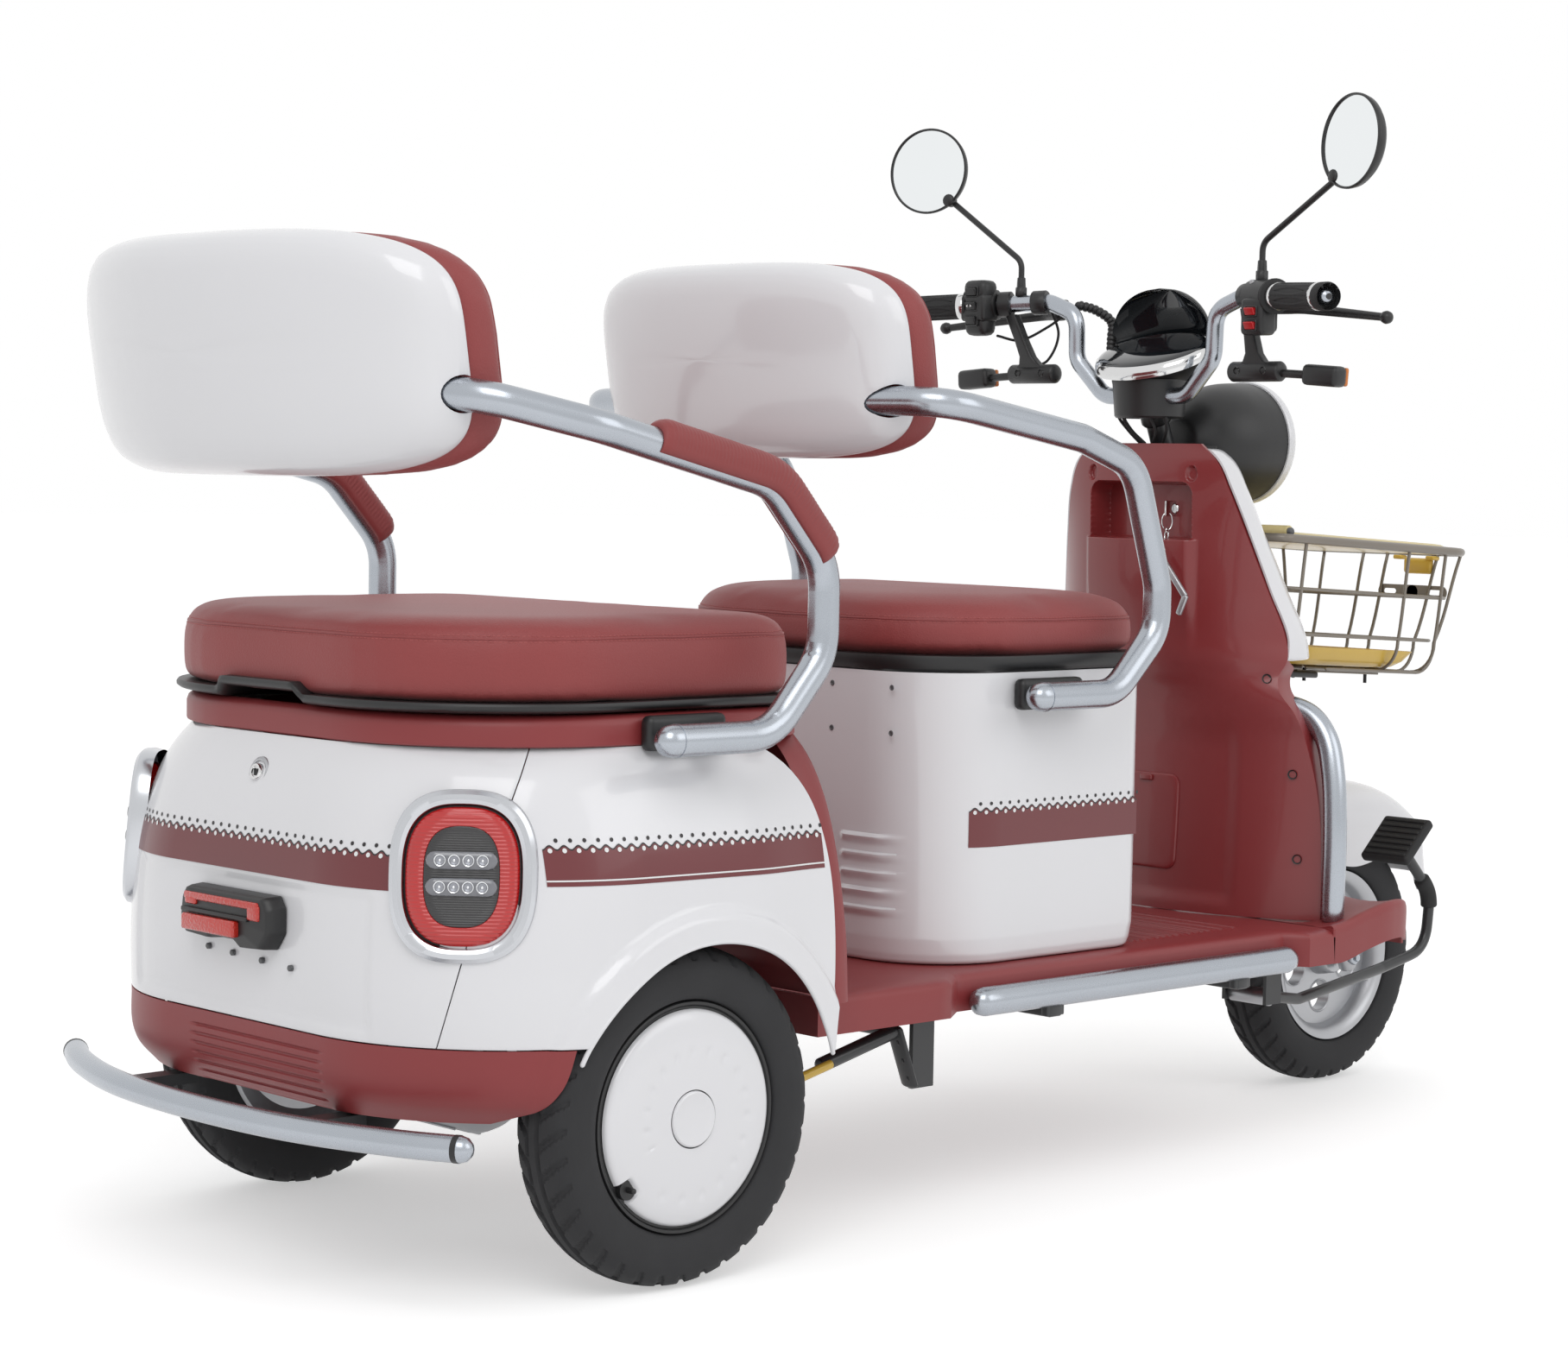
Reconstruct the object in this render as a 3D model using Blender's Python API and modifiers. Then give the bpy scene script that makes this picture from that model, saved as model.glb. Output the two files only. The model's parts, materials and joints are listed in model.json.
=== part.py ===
"""Electric tricycle with two bench seats, metres, +Z up, front towards -Y, standing on Z = 0."""

import math

import bmesh
import bpy
from mathutils import Matrix, Vector

for old in list(bpy.data.objects):
    bpy.data.objects.remove(old, do_unlink=True)

# Driving dimensions. Lengths along Y are measured from the rear axle.
GAP = 0.0003
REAR_AXLE_Y = 0.6471
WHEEL_BASE = 1.4875
HALF_TRACK = 0.320
TYRE_R = 0.176
TYRE_HALF_WIDTH = 0.039
RIM_FLANGE_R = 0.1145
BEAD_R = 0.1018
WHEEL_STEPS = 24
RAKE = math.radians(23)
STEER_TOP = (0.0, -1.110, 0.930)
TUBE_R = 0.0165
FLOOR_Z = 0.270
SKIN = 0.003
SEAM_Z = 0.262
SEAM_GAP = 0.0004
BODY_TOP_Z = 0.553
ARCH_Y = -0.020
ARCH_Z = 0.172
ARCH_R = 0.184
FLARE_BAND = 0.034
FLARE = 0.010
BOX_HALF_WIDTH = 0.250
BOX_FRONT_Y = -0.822
BOX_REAR_Y = -0.460
BOX_TOP_Z = 0.606
BATTERY_SIZE = (0.30, 0.24, 0.19)
GRIP_R = 0.0165
STEM_R = 0.0150
HEAD_R = 0.0205
BAR_R = 0.0105
MIRROR_R = 0.058
HEADLAMP_R = 0.080
REAR_SEAT_HINGE = (0.0, -0.2165, 0.5866)
FRONT_SEAT_HINGE = (0.0, -0.4545, 0.6064)
LID_HINGE = (0.0, -1.2143, 0.7485)
LEVER_ROOT = {}
MIRROR_FOOT = {}

# The tilted steering line: a height gives the point on it.
AXIS = Vector((0.0, math.sin(RAKE), math.cos(RAKE)))


def steer_point(z, ahead=0.0):
    """The point of the steering line at height z, moved forward square to the line."""
    y = STEER_TOP[1] - (STEER_TOP[2] - z) * math.tan(RAKE)
    return Vector((0.0, y, z)) + Vector((0.0, -math.cos(RAKE), math.sin(RAKE))) * ahead


# Collections, origin and materials.
body = bpy.data.collections.new("electric_tricycle")
tools = bpy.data.collections.new("cutters")
bpy.context.scene.collection.children.link(body)
bpy.context.scene.collection.children.link(tools)
tools.hide_render = True

datum = bpy.data.objects.new("rear_axle_datum", None)
datum.location = (0.0, REAR_AXLE_Y, 0.0)
body.objects.link(datum)


def material(name, colour, roughness, metallic=0.0):
    made = bpy.data.materials.new(name)
    made.use_nodes = True
    shader = made.node_tree.nodes["Principled BSDF"]
    shader.inputs["Base Color"].default_value = (*colour, 1.0)
    shader.inputs["Roughness"].default_value = roughness
    shader.inputs["Metallic"].default_value = metallic
    return made


WHITE = (0.78, 0.78, 0.79)
RED = (0.24, 0.035, 0.038)
BLACK = (0.015, 0.015, 0.016)
STEEL = (0.55, 0.54, 0.50)
YELLOW = (0.80, 0.62, 0.18)


def place(obj, name, colour, roughness=0.4, metallic=0.0, group=body):
    """Puts the object under the rear axle datum, with its own material."""
    obj.name = name
    group.objects.link(obj)
    obj.parent = datum
    if group is tools:
        obj.hide_render = True
        obj.display_type = "WIRE"
    else:
        obj.data.materials.clear()
        obj.data.materials.append(material(name, colour, roughness, metallic))
    return obj


def mesh_object(bm, name):
    bmesh.ops.recalc_face_normals(bm, faces=bm.faces)
    mesh = bpy.data.meshes.new(name)
    bm.to_mesh(mesh)
    bm.free()
    return bpy.data.objects.new(name, mesh)


def smooth(obj, angle=40):
    obj.data.shade_smooth()
    obj.data.set_sharp_from_angle(angle=math.radians(angle))
    return obj


# Shapes shared by many pieces.
def rounded(half_width, front, rear, r_front, r_rear, z, steps=4):
    """A ring in plan: a rectangle with round corners, at height z."""
    corners = (
        (half_width - r_rear, rear - r_rear, r_rear, 0),
        (-(half_width - r_rear), rear - r_rear, r_rear, 90),
        (-(half_width - r_front), front + r_front, r_front, 180),
        (half_width - r_front, front + r_front, r_front, 270),
    )
    ring = []
    for x, y, radius, start in corners:
        for i in range(steps + 1):
            a = math.radians(start + 90 * i / steps)
            ring.append((x + radius * math.cos(a), y + radius * math.sin(a), z))
    return ring


def loft(rings, closed_ends=True):
    """A skin over rings of equal count, with its first and last ring filled."""
    bm = bmesh.new()
    rows = [[bm.verts.new(p) for p in ring] for ring in rings]
    for low, high in zip(rows, rows[1:]):
        for i in range(len(low)):
            j = (i + 1) % len(low)
            bm.faces.new((low[i], low[j], high[j], high[i]))
    if closed_ends:
        bm.faces.new(rows[0][::-1])
        bm.faces.new(rows[-1])
    return bm


def sheet(rows):
    """An open skin over rows of points."""
    bm = bmesh.new()
    grid = [[bm.verts.new(p) for p in row] for row in rows]
    for low, high in zip(grid, grid[1:]):
        for i in range(len(low) - 1):
            bm.faces.new((low[i], low[i + 1], high[i + 1], high[i]))
    return bm


def solidify(obj, thickness, offset=-1.0):
    wall = obj.modifiers.new("wall", "SOLIDIFY")
    wall.thickness = thickness
    wall.offset = offset
    wall.use_even_offset = True
    return obj


def skin_wall(obj, outward):
    """Gives a skin its wall, inside the surface that looks the outward way."""
    faced = sum(f.normal.dot(Vector(outward)) * f.area for f in obj.data.polygons)
    return solidify(obj, SKIN, -1.0 if faced > 0 else 1.0)


def block(centre, size, bevel=0.0, turn=0.0):
    """A box turned about X, its edges broken by a small bevel."""
    bm = bmesh.new()
    bmesh.ops.create_cube(bm, size=1.0)
    bmesh.ops.scale(bm, vec=size, verts=bm.verts)
    if bevel:
        bmesh.ops.bevel(bm, geom=bm.edges[:], offset=bevel, segments=1, affect="EDGES")
    bmesh.ops.rotate(bm, cent=(0, 0, 0), matrix=Matrix.Rotation(turn, 3, "X"), verts=bm.verts)
    bmesh.ops.translate(bm, vec=centre, verts=bm.verts)
    return bm


def rod(start, end, radius, sides=12, end_radius=None):
    """A cylinder or cone between two points."""
    start = Vector(start)
    end = Vector(end)
    way = end - start
    bm = bmesh.new()
    last = radius if end_radius is None else end_radius
    bmesh.ops.create_cone(bm, cap_ends=True, segments=sides, radius1=radius, radius2=last, depth=way.length)
    turn = Vector((0, 0, 1)).rotation_difference(way).to_matrix()
    bmesh.ops.rotate(bm, cent=(0, 0, 0), matrix=turn, verts=bm.verts)
    bmesh.ops.translate(bm, vec=(start + end) / 2, verts=bm.verts)
    return bm


def bend(points, radius, steps=4):
    """The path through the points with each corner rounded to the radius."""
    points = [Vector(p) for p in points]
    path = [points[0]]
    for before, corner, after in zip(points, points[1:], points[2:]):
        a = (before - corner).normalized()
        b = (after - corner).normalized()
        half = a.angle(b) / 2
        shorter = min((before - corner).length, (after - corner).length)
        reach = min(radius / math.tan(half), 0.49 * shorter)
        for i in range(steps + 1):
            t = i / steps
            start = corner + a * reach
            stop = corner + b * reach
            path.append(start * (1 - t) ** 2 + corner * 2 * t * (1 - t) + stop * t * t)
    path.append(points[-1])
    kept = [path[0]]
    for point in path[1:]:
        if (point - kept[-1]).length > 0.004:
            kept.append(point)
    return kept


def tube(path, radius, name, resolution=2, domed=()):
    """A round bar along a path, as a curve. An end named in domed is rounded over."""
    curve = bpy.data.curves.new(name, "CURVE")
    curve.dimensions = "3D"
    curve.bevel_depth = radius
    curve.bevel_resolution = resolution
    curve.use_fill_caps = True
    points = [Vector(p) for p in path]
    radii = [1.0] * len(points)
    if 1 in domed:
        way = (points[-1] - points[-2]).normalized()
        points += [points[-1] + way * radius * 0.5, points[-1] + way * radius * 0.85]
        radii += [0.85, 0.45]
    if 0 in domed:
        way = (points[0] - points[1]).normalized()
        points = [points[0] + way * radius * 0.85, points[0] + way * radius * 0.5] + points
        radii = [0.45, 0.85] + radii
    line = curve.splines.new("POLY")
    line.points.add(len(points) - 1)
    for spot, point, size in zip(line.points, points, radii):
        spot.co = (*point, 1.0)
        spot.radius = size
    return bpy.data.objects.new(name, curve)


def meshed(obj):
    """A mesh object with the shape of a curve, its caps joined to its wall."""
    bpy.context.scene.collection.objects.link(obj)
    graph = bpy.context.evaluated_depsgraph_get()
    mesh = bpy.data.meshes.new_from_object(obj.evaluated_get(graph))
    name = obj.name
    bpy.data.objects.remove(obj, do_unlink=True)
    bm = bmesh.new()
    bm.from_mesh(mesh)
    bmesh.ops.remove_doubles(bm, verts=bm.verts, dist=1e-6)
    return mesh_object(bm, name)


def combine(obj, others, operation="UNION"):
    """Adds or cuts the helper shapes, one Boolean each."""
    for number, other in enumerate(others):
        if isinstance(other, bmesh.types.BMesh):
            other = mesh_object(other, "helper")
        place(other, f"{obj.name}_{operation.lower()}_{len(tools.objects)}", WHITE, group=tools)
        step = obj.modifiers.new(f"{operation.lower()}{number}", "BOOLEAN")
        step.object = other
        step.operation = operation
        step.solver = "EXACT"
    return obj


def turned(profile, centre, steps, direction=1.0):
    """A profile of (offset along X, radius) spun about a line along X, a flat of it at the bottom.

    It is a ring, or a solid disc where the profile starts and ends on the turning line.
    """
    start = math.pi / steps
    bm = bmesh.new()
    points = [bm.verts.new((direction * x, r * math.sin(start), r * math.cos(start))) for x, r in profile]
    lines = [bm.edges.new(pair) for pair in zip(points, points[1:])]
    if profile[0][1] > 0:
        lines.append(bm.edges.new((points[-1], points[0])))
    full = 2 * math.pi
    bmesh.ops.spin(bm, geom=points + lines, axis=(1, 0, 0), angle=full, steps=steps, use_merge=True)
    bmesh.ops.remove_doubles(bm, verts=bm.verts, dist=1e-6)
    bmesh.ops.translate(bm, vec=centre, verts=bm.verts)
    return bm


# Rear fairing: one outer skin, cut along its real seams.
def ease(t):
    t = min(1.0, max(0.0, t))
    return t * t * (3 - 2 * t)


def between(z, stations):
    """The value at z on straight lines between (z, value) stations."""
    if z <= stations[0][0]:
        return stations[0][1]
    for (z0, v0), (z1, v1) in zip(stations, stations[1:]):
        if z <= z1:
            return v0 + (v1 - v0) * (z - z0) / (z1 - z0)
    return stations[-1][1]


WIDTH_AT = ((0.185, 0.352), (0.205, 0.366), (0.262, 0.370), (0.36, 0.367), (0.44, 0.357), (0.50, 0.341),
            (0.53, 0.328), (0.553, 0.312))
REAR_AT = ((0.185, 0.284), (0.205, 0.297), (0.262, 0.302), (0.36, 0.304), (0.44, 0.299), (0.50, 0.287),
           (0.53, 0.275), (0.553, 0.262))
FRONT_AT = ((0.222, -0.198), (0.30, -0.206), (0.45, -0.200), (0.50, -0.184), (0.53, -0.160), (0.553, -0.128))
CORNER_R = 0.235


def flare(y, z):
    """How far the wheel arch stands proud of the side."""
    reach = math.hypot(y - ARCH_Y, z - ARCH_Z) - ARCH_R
    return FLARE * (1 - ease((reach - FLARE_BAND * 0.6) / (FLARE_BAND * 0.4)))


def skin_point(side, along, z):
    """A point of the fairing. Along is 0 at the rear middle, 1 to 2 round the corner, 3 at the front edge."""
    w = between(z, WIDTH_AT)
    rear = between(z, REAR_AT)
    if along <= 1:
        return Vector((side * (w - CORNER_R) * along, rear, z))
    if along <= 2:
        a = math.radians(90 * (along - 1))
        x = w - CORNER_R + CORNER_R * math.sin(a)
        y = rear - CORNER_R + CORNER_R * math.cos(a)
        return Vector((side * (x + flare(y, z)), y, z))
    start = rear - CORNER_R
    y = start + (between(z, FRONT_AT) - start) * (along - 2)
    inward = 0.016 * ease((along - 2.55) / 0.45)
    return Vector((side * (w - inward + flare(y, z)), y, z))


def seam_along(z):
    """Where the upright seam beside the tail lamp lies."""
    return 1.43 + 0.22 * (z - 0.30) / (0.553 - 0.30)


def skin_row(side, first, last, count, z):
    return [skin_point(side, first + (last - first) * i / count, z) for i in range(count + 1)]


def side_panel(side, name):
    heights = [0.222, 0.262, 0.30, 0.34, 0.375, 0.395, 0.44, 0.485, 0.52, BODY_TOP_Z]
    rows = []
    for z in heights:
        seam = seam_along(z) + 0.002
        corner = skin_row(side, seam, 2.0, 4, z)
        flank = skin_row(side, 2.0, 3.0, 11, z)[1:]
        rows.append(corner + flank)
    # The lower edge steps up to the skirt seam behind the wheel.
    for i, p in enumerate(rows[0]):
        if p.y > ARCH_Y:
            rows[0][i] = Vector((rows[1][i].x, rows[1][i].y, SEAM_Z + SEAM_GAP))
            rows[1][i] = rows[1][i].lerp(rows[2][i], 0.3)
    bm = sheet([[(p.x, p.y, p.z) for p in row] for row in rows])
    panel = place(smooth(mesh_object(bm, name)), name, WHITE, 0.25)
    skin_wall(panel, (side, 1, 0))
    wheel_well = rod((side * 0.26, ARCH_Y, ARCH_Z), (side * 0.42, ARCH_Y, ARCH_Z), ARCH_R, 36)
    combine(panel, [wheel_well, lamp_shape(side, -0.05, 0.05, 2 * GAP)], "DIFFERENCE")
    return panel


# Tail lamp: an upright oval that looks out from each rear corner.
LAMP_Z = 0.445
LAMP_HALF = (0.073, 0.085)
LAMP_ANGLE = math.radians(47)


def lamp_frame(side):
    """Centre, sideways and outward directions of the tail lamp."""
    a = LAMP_ANGLE
    p = skin_point(side, 1 + math.degrees(a) / 90, LAMP_Z)
    outward = Vector((side * math.sin(a), math.cos(a), 0.02)).normalized()
    across = Vector((0, 0, 1)).cross(outward).normalized()
    return p, across, outward


def lamp_shape(side, inner, outer, grow=0.0, dome=0.0, steps=22):
    """An oval prism on the lamp's line from inner to outer, with a domed front."""
    centre, across, outward = lamp_frame(side)
    up = outward.cross(across)
    rings = []
    levels = [(inner, 1.0), (outer, 1.0)]
    if dome:
        levels += [(outer + dome * 0.7, 0.93), (outer + dome, 0.80)]
    for depth, scale in levels:
        ring = []
        for i in range(steps):
            a = 2 * math.pi * i / steps
            c = math.copysign(abs(math.cos(a)) ** 0.8, math.cos(a))
            s = math.copysign(abs(math.sin(a)) ** 0.8, math.sin(a))
            spot = centre + outward * depth
            spot += across * (LAMP_HALF[0] + grow) * scale * c + up * (LAMP_HALF[1] + grow) * scale * s
            ring.append(tuple(spot))
        rings.append(ring)
    return loft(rings)


for side, hand in ((-1, "right"), (1, "left")):
    side_panel(side, f"side_panel_{hand}")
    lamp = mesh_object(lamp_shape(side, -0.022, 0.006, 0.0, 0.008), "lamp")
    place(smooth(lamp), f"tail_lamp_{hand}", (0.45, 0.02, 0.02), 0.15)

# Rear panel between the two seams.
LOCK = (0.0, 0.281, 0.514)
LOCK_R = 0.0095
rows = []
for z in (SEAM_Z + SEAM_GAP, 0.32, 0.40, 0.46, 0.51, BODY_TOP_Z):
    seam = seam_along(z) - 0.002
    half = [skin_point(-1, seam + (1 - seam) * i / 4, z) for i in range(5)]
    half += [skin_point(-1, 1 - i / 2, z) for i in range(1, 3)]
    other = [Vector((-p.x, p.y, p.z)) for p in half[:-1]][::-1]
    rows.append([tuple(p) for p in half + other])
rear_panel = place(smooth(mesh_object(sheet(rows), "rear")), "rear_panel", WHITE, 0.25)
skin_wall(rear_panel, (0, 1, 0))
lock_hole = rod((0, 0.24, LOCK[2]), (0, 0.32, LOCK[2]), LOCK_R + GAP, 16)
lamp_holes = [lamp_shape(side, -0.05, 0.05, 2 * GAP) for side in (-1, 1)]
combine(rear_panel, lamp_holes + [lock_hole], "DIFFERENCE")

# Seat lock: a barrel in the rear panel that turns with its key slot.
lock = mesh_object(rod((0, LOCK[1] - 0.030, LOCK[2]), (0, LOCK[1] + 0.004, LOCK[2]), LOCK_R, 16), "lock")
place(lock, "seat_lock", STEEL, 0.3, 1.0)
lock_slot = block((0, LOCK[1] + 0.004, LOCK[2]), (0.0016, 0.006, 0.010))
combine(lock, [lock_slot], "DIFFERENCE")

# Skirt: the lower band round the tail, its ends swept up beside the wheels.
SKIRT_END = ((0.185, 0.205), (0.20, 0.180), (0.22, 0.166), (0.24, 0.158), (0.262, 0.152))
rows = []
for z in (0.185, 0.195, 0.215, 0.24, SEAM_Z - SEAM_GAP):
    start = between(z, REAR_AT) - CORNER_R
    end_y = between(z, SKIRT_END)
    angle = math.degrees(math.acos(min(1.0, max(-1.0, (end_y - start) / CORNER_R)))) / 90
    stop = 1 + angle
    half = [skin_point(-1, stop + (1 - stop) * i / 8, z) for i in range(9)]
    half += [skin_point(-1, 1 - i / 2, z) for i in range(1, 3)]
    other = [Vector((-p.x, p.y, p.z)) for p in half[:-1]][::-1]
    rows.append([tuple(p) for p in half + other])
skirt = place(smooth(mesh_object(sheet(rows), "skirt")), "rear_skirt", RED, 0.45)
skin_wall(skirt, (0, 1, 0))

# Inner body: the collar under the seat, the storage tub and the footwell wall.
COLLAR = (0.3132, -0.222, 0.262)
TUB = (0.215, -0.150, 0.195)


def collar_ring(inset, z):
    w, front, rear = COLLAR
    return rounded(w - inset, front + inset, rear - inset, 0.075 - inset, 0.215 - inset, z)


def tub_ring(inset, z):
    w, front, rear = TUB
    return rounded(w - inset, front + inset, rear - inset, 0.05 - inset, 0.06 - inset, z)


tub_rings = [
    tub_ring(0.0035, 0.3635), tub_ring(0.0035, 0.574), collar_ring(0.030, 0.580), collar_ring(0.012, 0.586),
    collar_ring(0.004, 0.5835), collar_ring(0.0, 0.574), collar_ring(0.0, BODY_TOP_Z + GAP),
    collar_ring(0.004, BODY_TOP_Z + GAP), collar_ring(0.004, 0.572),
    tub_ring(0.0, 0.570), tub_ring(0.0, 0.360),
]
inner_body = place(smooth(mesh_object(loft(tub_rings), "tub")), "rear_inner_body", RED, 0.45)
FOOT_WALL = (
    # height, half width, front face
    (0.2705, 0.348, -0.238), (0.35, 0.346, -0.234), (0.45, 0.333, -0.226), (0.50, 0.320, -0.219),
    (0.535, 0.302, -0.213), (0.572, 0.262, -0.207),
)
wall_rows = [rounded(w, y, y + 0.028, 0.012, 0.012, z, 2) for z, w, y in FOOT_WALL]
combine(inner_body, [loft(wall_rows)])

# Rear seat: a pan that lifts with its cushion.
pan_rings = [
    rounded(0.300, -0.205, 0.258, 0.06, 0.20, 0.5865),
    rounded(0.311, -0.214, 0.270, 0.07, 0.21, 0.594),
    rounded(0.313, -0.216, 0.272, 0.07, 0.21, 0.6085),
]
pan = place(smooth(mesh_object(loft(pan_rings), "pan")), "rear_seat_pan", BLACK, 0.5)
handle = block((0.022, 0.262, 0.5945), (0.120, 0.030, 0.020), 0.002)
combine(pan, [handle], "DIFFERENCE")


def cushion_rings(w, front, rear, r_front, r_rear, low, top, crown):
    """A seat pad: a waist at its foot, full sides, a rolled edge and a crowned top."""
    parts = (
        (0.006, low), (0.0, low + 0.008), (0.0, low + (top - low) * 0.55), (0.004, top - 0.018),
        (0.014, top - 0.007), (0.032, top - 0.001), (0.075, top + crown * 0.6), (0.13, top + crown),
    )
    rings = []
    for d, z in parts:
        near = max(0.012, r_front - d * 0.8)
        far = max(0.012, r_rear - d * 0.8)
        rings.append(rounded(w - d, front + d, rear - d, near, far, z))
    return rings


rings = cushion_rings(0.312, -0.215, 0.271, 0.065, 0.205, 0.6088, 0.695, 0.010)
place(smooth(mesh_object(loft(rings), "pad")), "rear_seat_cushion", RED, 0.6)

# Driver's box with the battery inside, and the seat over it.
box_rings = []
for inset, z in ((0.012, FLOOR_Z + 0.0003), (0.003, FLOOR_Z + 0.006), (0.0, 0.30), (0.0, BOX_TOP_Z),
                 (0.0045, BOX_TOP_Z), (0.0045, 0.30), (0.010, FLOOR_Z + 0.008)):
    ring = rounded(BOX_HALF_WIDTH - inset, BOX_FRONT_Y + inset, BOX_REAR_Y - inset, 0.030 - inset * 0.5,
                   0.110 - inset, z)
    box_rings.append(ring)
place(smooth(mesh_object(loft(box_rings), "box")), "battery_box", WHITE, 0.25)
battery_y = (BOX_FRONT_Y + BOX_REAR_Y) / 2
battery = block((0.0, battery_y, FLOOR_Z + 0.0085 + BATTERY_SIZE[2] / 2), BATTERY_SIZE, 0.006)
place(mesh_object(battery, "battery"), "battery", (0.03, 0.05, 0.10), 0.5)

pan_rings = [
    rounded(0.2495, -0.8215, -0.4605, 0.03, 0.110, BOX_TOP_Z + GAP),
    rounded(0.2535, -0.826, -0.456, 0.05, 0.135, BOX_TOP_Z + 0.008),
    rounded(0.2555, -0.828, -0.454, 0.05, 0.137, BOX_TOP_Z + 0.019),
]
place(smooth(mesh_object(loft(pan_rings), "pan")), "front_seat_pan", BLACK, 0.5)
rings = cushion_rings(0.257, -0.830, -0.452, 0.055, 0.150, BOX_TOP_Z + 0.0193, 0.684, 0.008)
place(smooth(mesh_object(loft(rings), "pad")), "front_seat_cushion", RED, 0.6)


# Backrests: a hard shell behind, a pad in front, an arm bar through the hollow between them.
def upright(half_width, low, high, radius, y, tilt, steps=5):
    """A ring on end: a rectangle with round corners, leaning back."""
    radius = min(radius, 0.9 * (high - low) / 2)
    flat = rounded(half_width, low, high, radius, radius, 0.0, steps)
    middle = (low + high) / 2
    return [(x, y + (z - middle) * tilt, z) for x, z, _ in flat]


# A backrest's outline, seen from behind, is a superellipse: this power of the cosine and the sine.
BACKREST_POWER = 0.455
BACKREST_STEPS = 36
# How far a backrest leans back for its height, and how far its ends curve forward at BOW_AT.
LEAN = math.tan(math.radians(9))
BOW = 0.080
BOW_AT = 0.300


def bowed(x, z):
    """How far back a backrest lies at x from the middle and z above its own middle height."""
    return z * LEAN - BOW * (x / BOW_AT) ** 2


def back_ring(half_width, half_height, middle, y):
    """A superellipse on end that leans back and curves forward at its ends."""
    ring = []
    for k in range(BACKREST_STEPS):
        a = 2 * math.pi * (k + 0.5) / BACKREST_STEPS
        x = half_width * math.copysign(abs(math.cos(a)) ** BACKREST_POWER, math.cos(a))
        z = half_height * math.copysign(abs(math.sin(a)) ** BACKREST_POWER, math.sin(a))
        ring.append((x, y + bowed(x, z), middle + z))
    return ring


def backrest(prefix, w, h, middle, y, arm_path):
    """Shell, pad and arm bar. W and h are half sizes, and y is the shell's rim at its middle."""
    inside = ((0.10, 0.0425), (0.043, 0.0395), (0.022, 0.033), (0.0095, 0.022), (0.0045, 0.008),
              (0.0065, 0.0))
    outside = ((0.004, 0.0), (0.0, 0.008), (0.005, 0.024), (0.016, 0.036), (0.038, 0.0430), (0.10, 0.0470))
    shell = []
    for inset, depth in inside + outside:
        shell.append(back_ring(w - inset, h - inset, middle, y + depth))
    shell_obj = place(smooth(mesh_object(loft(shell), "shell")), f"{prefix}_backrest_shell", WHITE, 0.25)
    padding = ((0.010, -GAP), (0.004, -0.010), (0.002, -0.030), (0.010, -0.051), (0.026, -0.063),
               (0.060, -0.070), (0.10, -0.073))
    pad_w = w + 0.003
    pad_h = h + 0.008
    pad = []
    for inset, depth in padding:
        pad.append(back_ring(pad_w - inset, pad_h - inset, middle, y + depth))
    place(smooth(mesh_object(loft(pad), "pad")), f"{prefix}_backrest_cushion", RED, 0.6)
    bar = meshed(tube(arm_path, TUBE_R, f"{prefix}_armrest", 2, (0, 1)))
    place(smooth(bar), f"{prefix}_armrest", STEEL, 0.3, 1.0)
    cutter = meshed(tube(arm_path, TUBE_R + 2 * GAP, "cutter", 2))
    combine(shell_obj, [cutter], "DIFFERENCE")
    return shell_obj


def both_sides(path):
    """A path from its right half, which ends on the middle plane."""
    return [Vector(p) for p in path] + [Vector((-p[0], p[1], p[2])) for p in path[::-1][1:]]


REAR_BACK_Y = 0.335
FRONT_BACK_Y = -0.363
# How far behind the rim the bar runs through a shell.
BAR_BEHIND = 0.0120


def across_back(back_y, across):
    """The right half of the run through a shell, which follows the shell's own curve."""
    return [(-x, back_y + BAR_BEHIND + bowed(x, 0.0)) for x in across]


# How far from the middle the rear bar's uprights stand.
REAR_BAR_X = 0.379
rear_corners = [(-REAR_BAR_X, 0.053, 0.563), (-REAR_BAR_X, -0.082, 0.563), (-REAR_BAR_X, -0.155, 0.644),
                (-REAR_BAR_X, -0.155, 0.737), (-REAR_BAR_X, -0.079, 0.820), (-REAR_BAR_X, 0.150, 0.8725),
                (-0.338, 0.268, 0.901)]
rear_corners += [(x, y, 0.9025) for x, y in across_back(REAR_BACK_Y, (0.255, 0.17, 0.085))]
rear_half = bend(rear_corners, 0.070, 3)
rear_path = both_sides(rear_half + [Vector((0, REAR_BACK_Y + BAR_BEHIND, 0.9025))])
front_corners = [(-0.2800, -0.598, 0.579), (-0.2800, -0.725, 0.579), (-0.2800, -0.800, 0.650),
                 (-0.2800, -0.800, 0.705), (-0.2800, -0.752, 0.845), (-0.2800, -0.660, 0.876),
                 (-0.2800, -0.410, 0.9115)]
front_corners += [(x, y, 0.9115) for x, y in across_back(FRONT_BACK_Y, (0.200, 0.13, 0.065))]
front_half = bend(front_corners, 0.060, 3)
front_path = both_sides(front_half + [Vector((0, FRONT_BACK_Y + BAR_BEHIND, 0.9115))])
backrest("rear", 0.305, 0.121, 0.9393, REAR_BACK_Y, rear_path)
backrest("front", 0.245, 0.110, 0.9564, FRONT_BACK_Y, front_path)
for prefix, x, y, z, wide in (("front", 0.2655, -0.655, 0.579, 0.0304), ("rear", 0.3430, -0.015, 0.5660, 0.0590)):
    lugs = []
    for side in (-1, 1):
        lugs.append(block((side * x, y, z), (wide, 0.090, 0.022), 0.002))
    combine(bpy.data.objects[f"{prefix}_armrest"], lugs)

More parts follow.
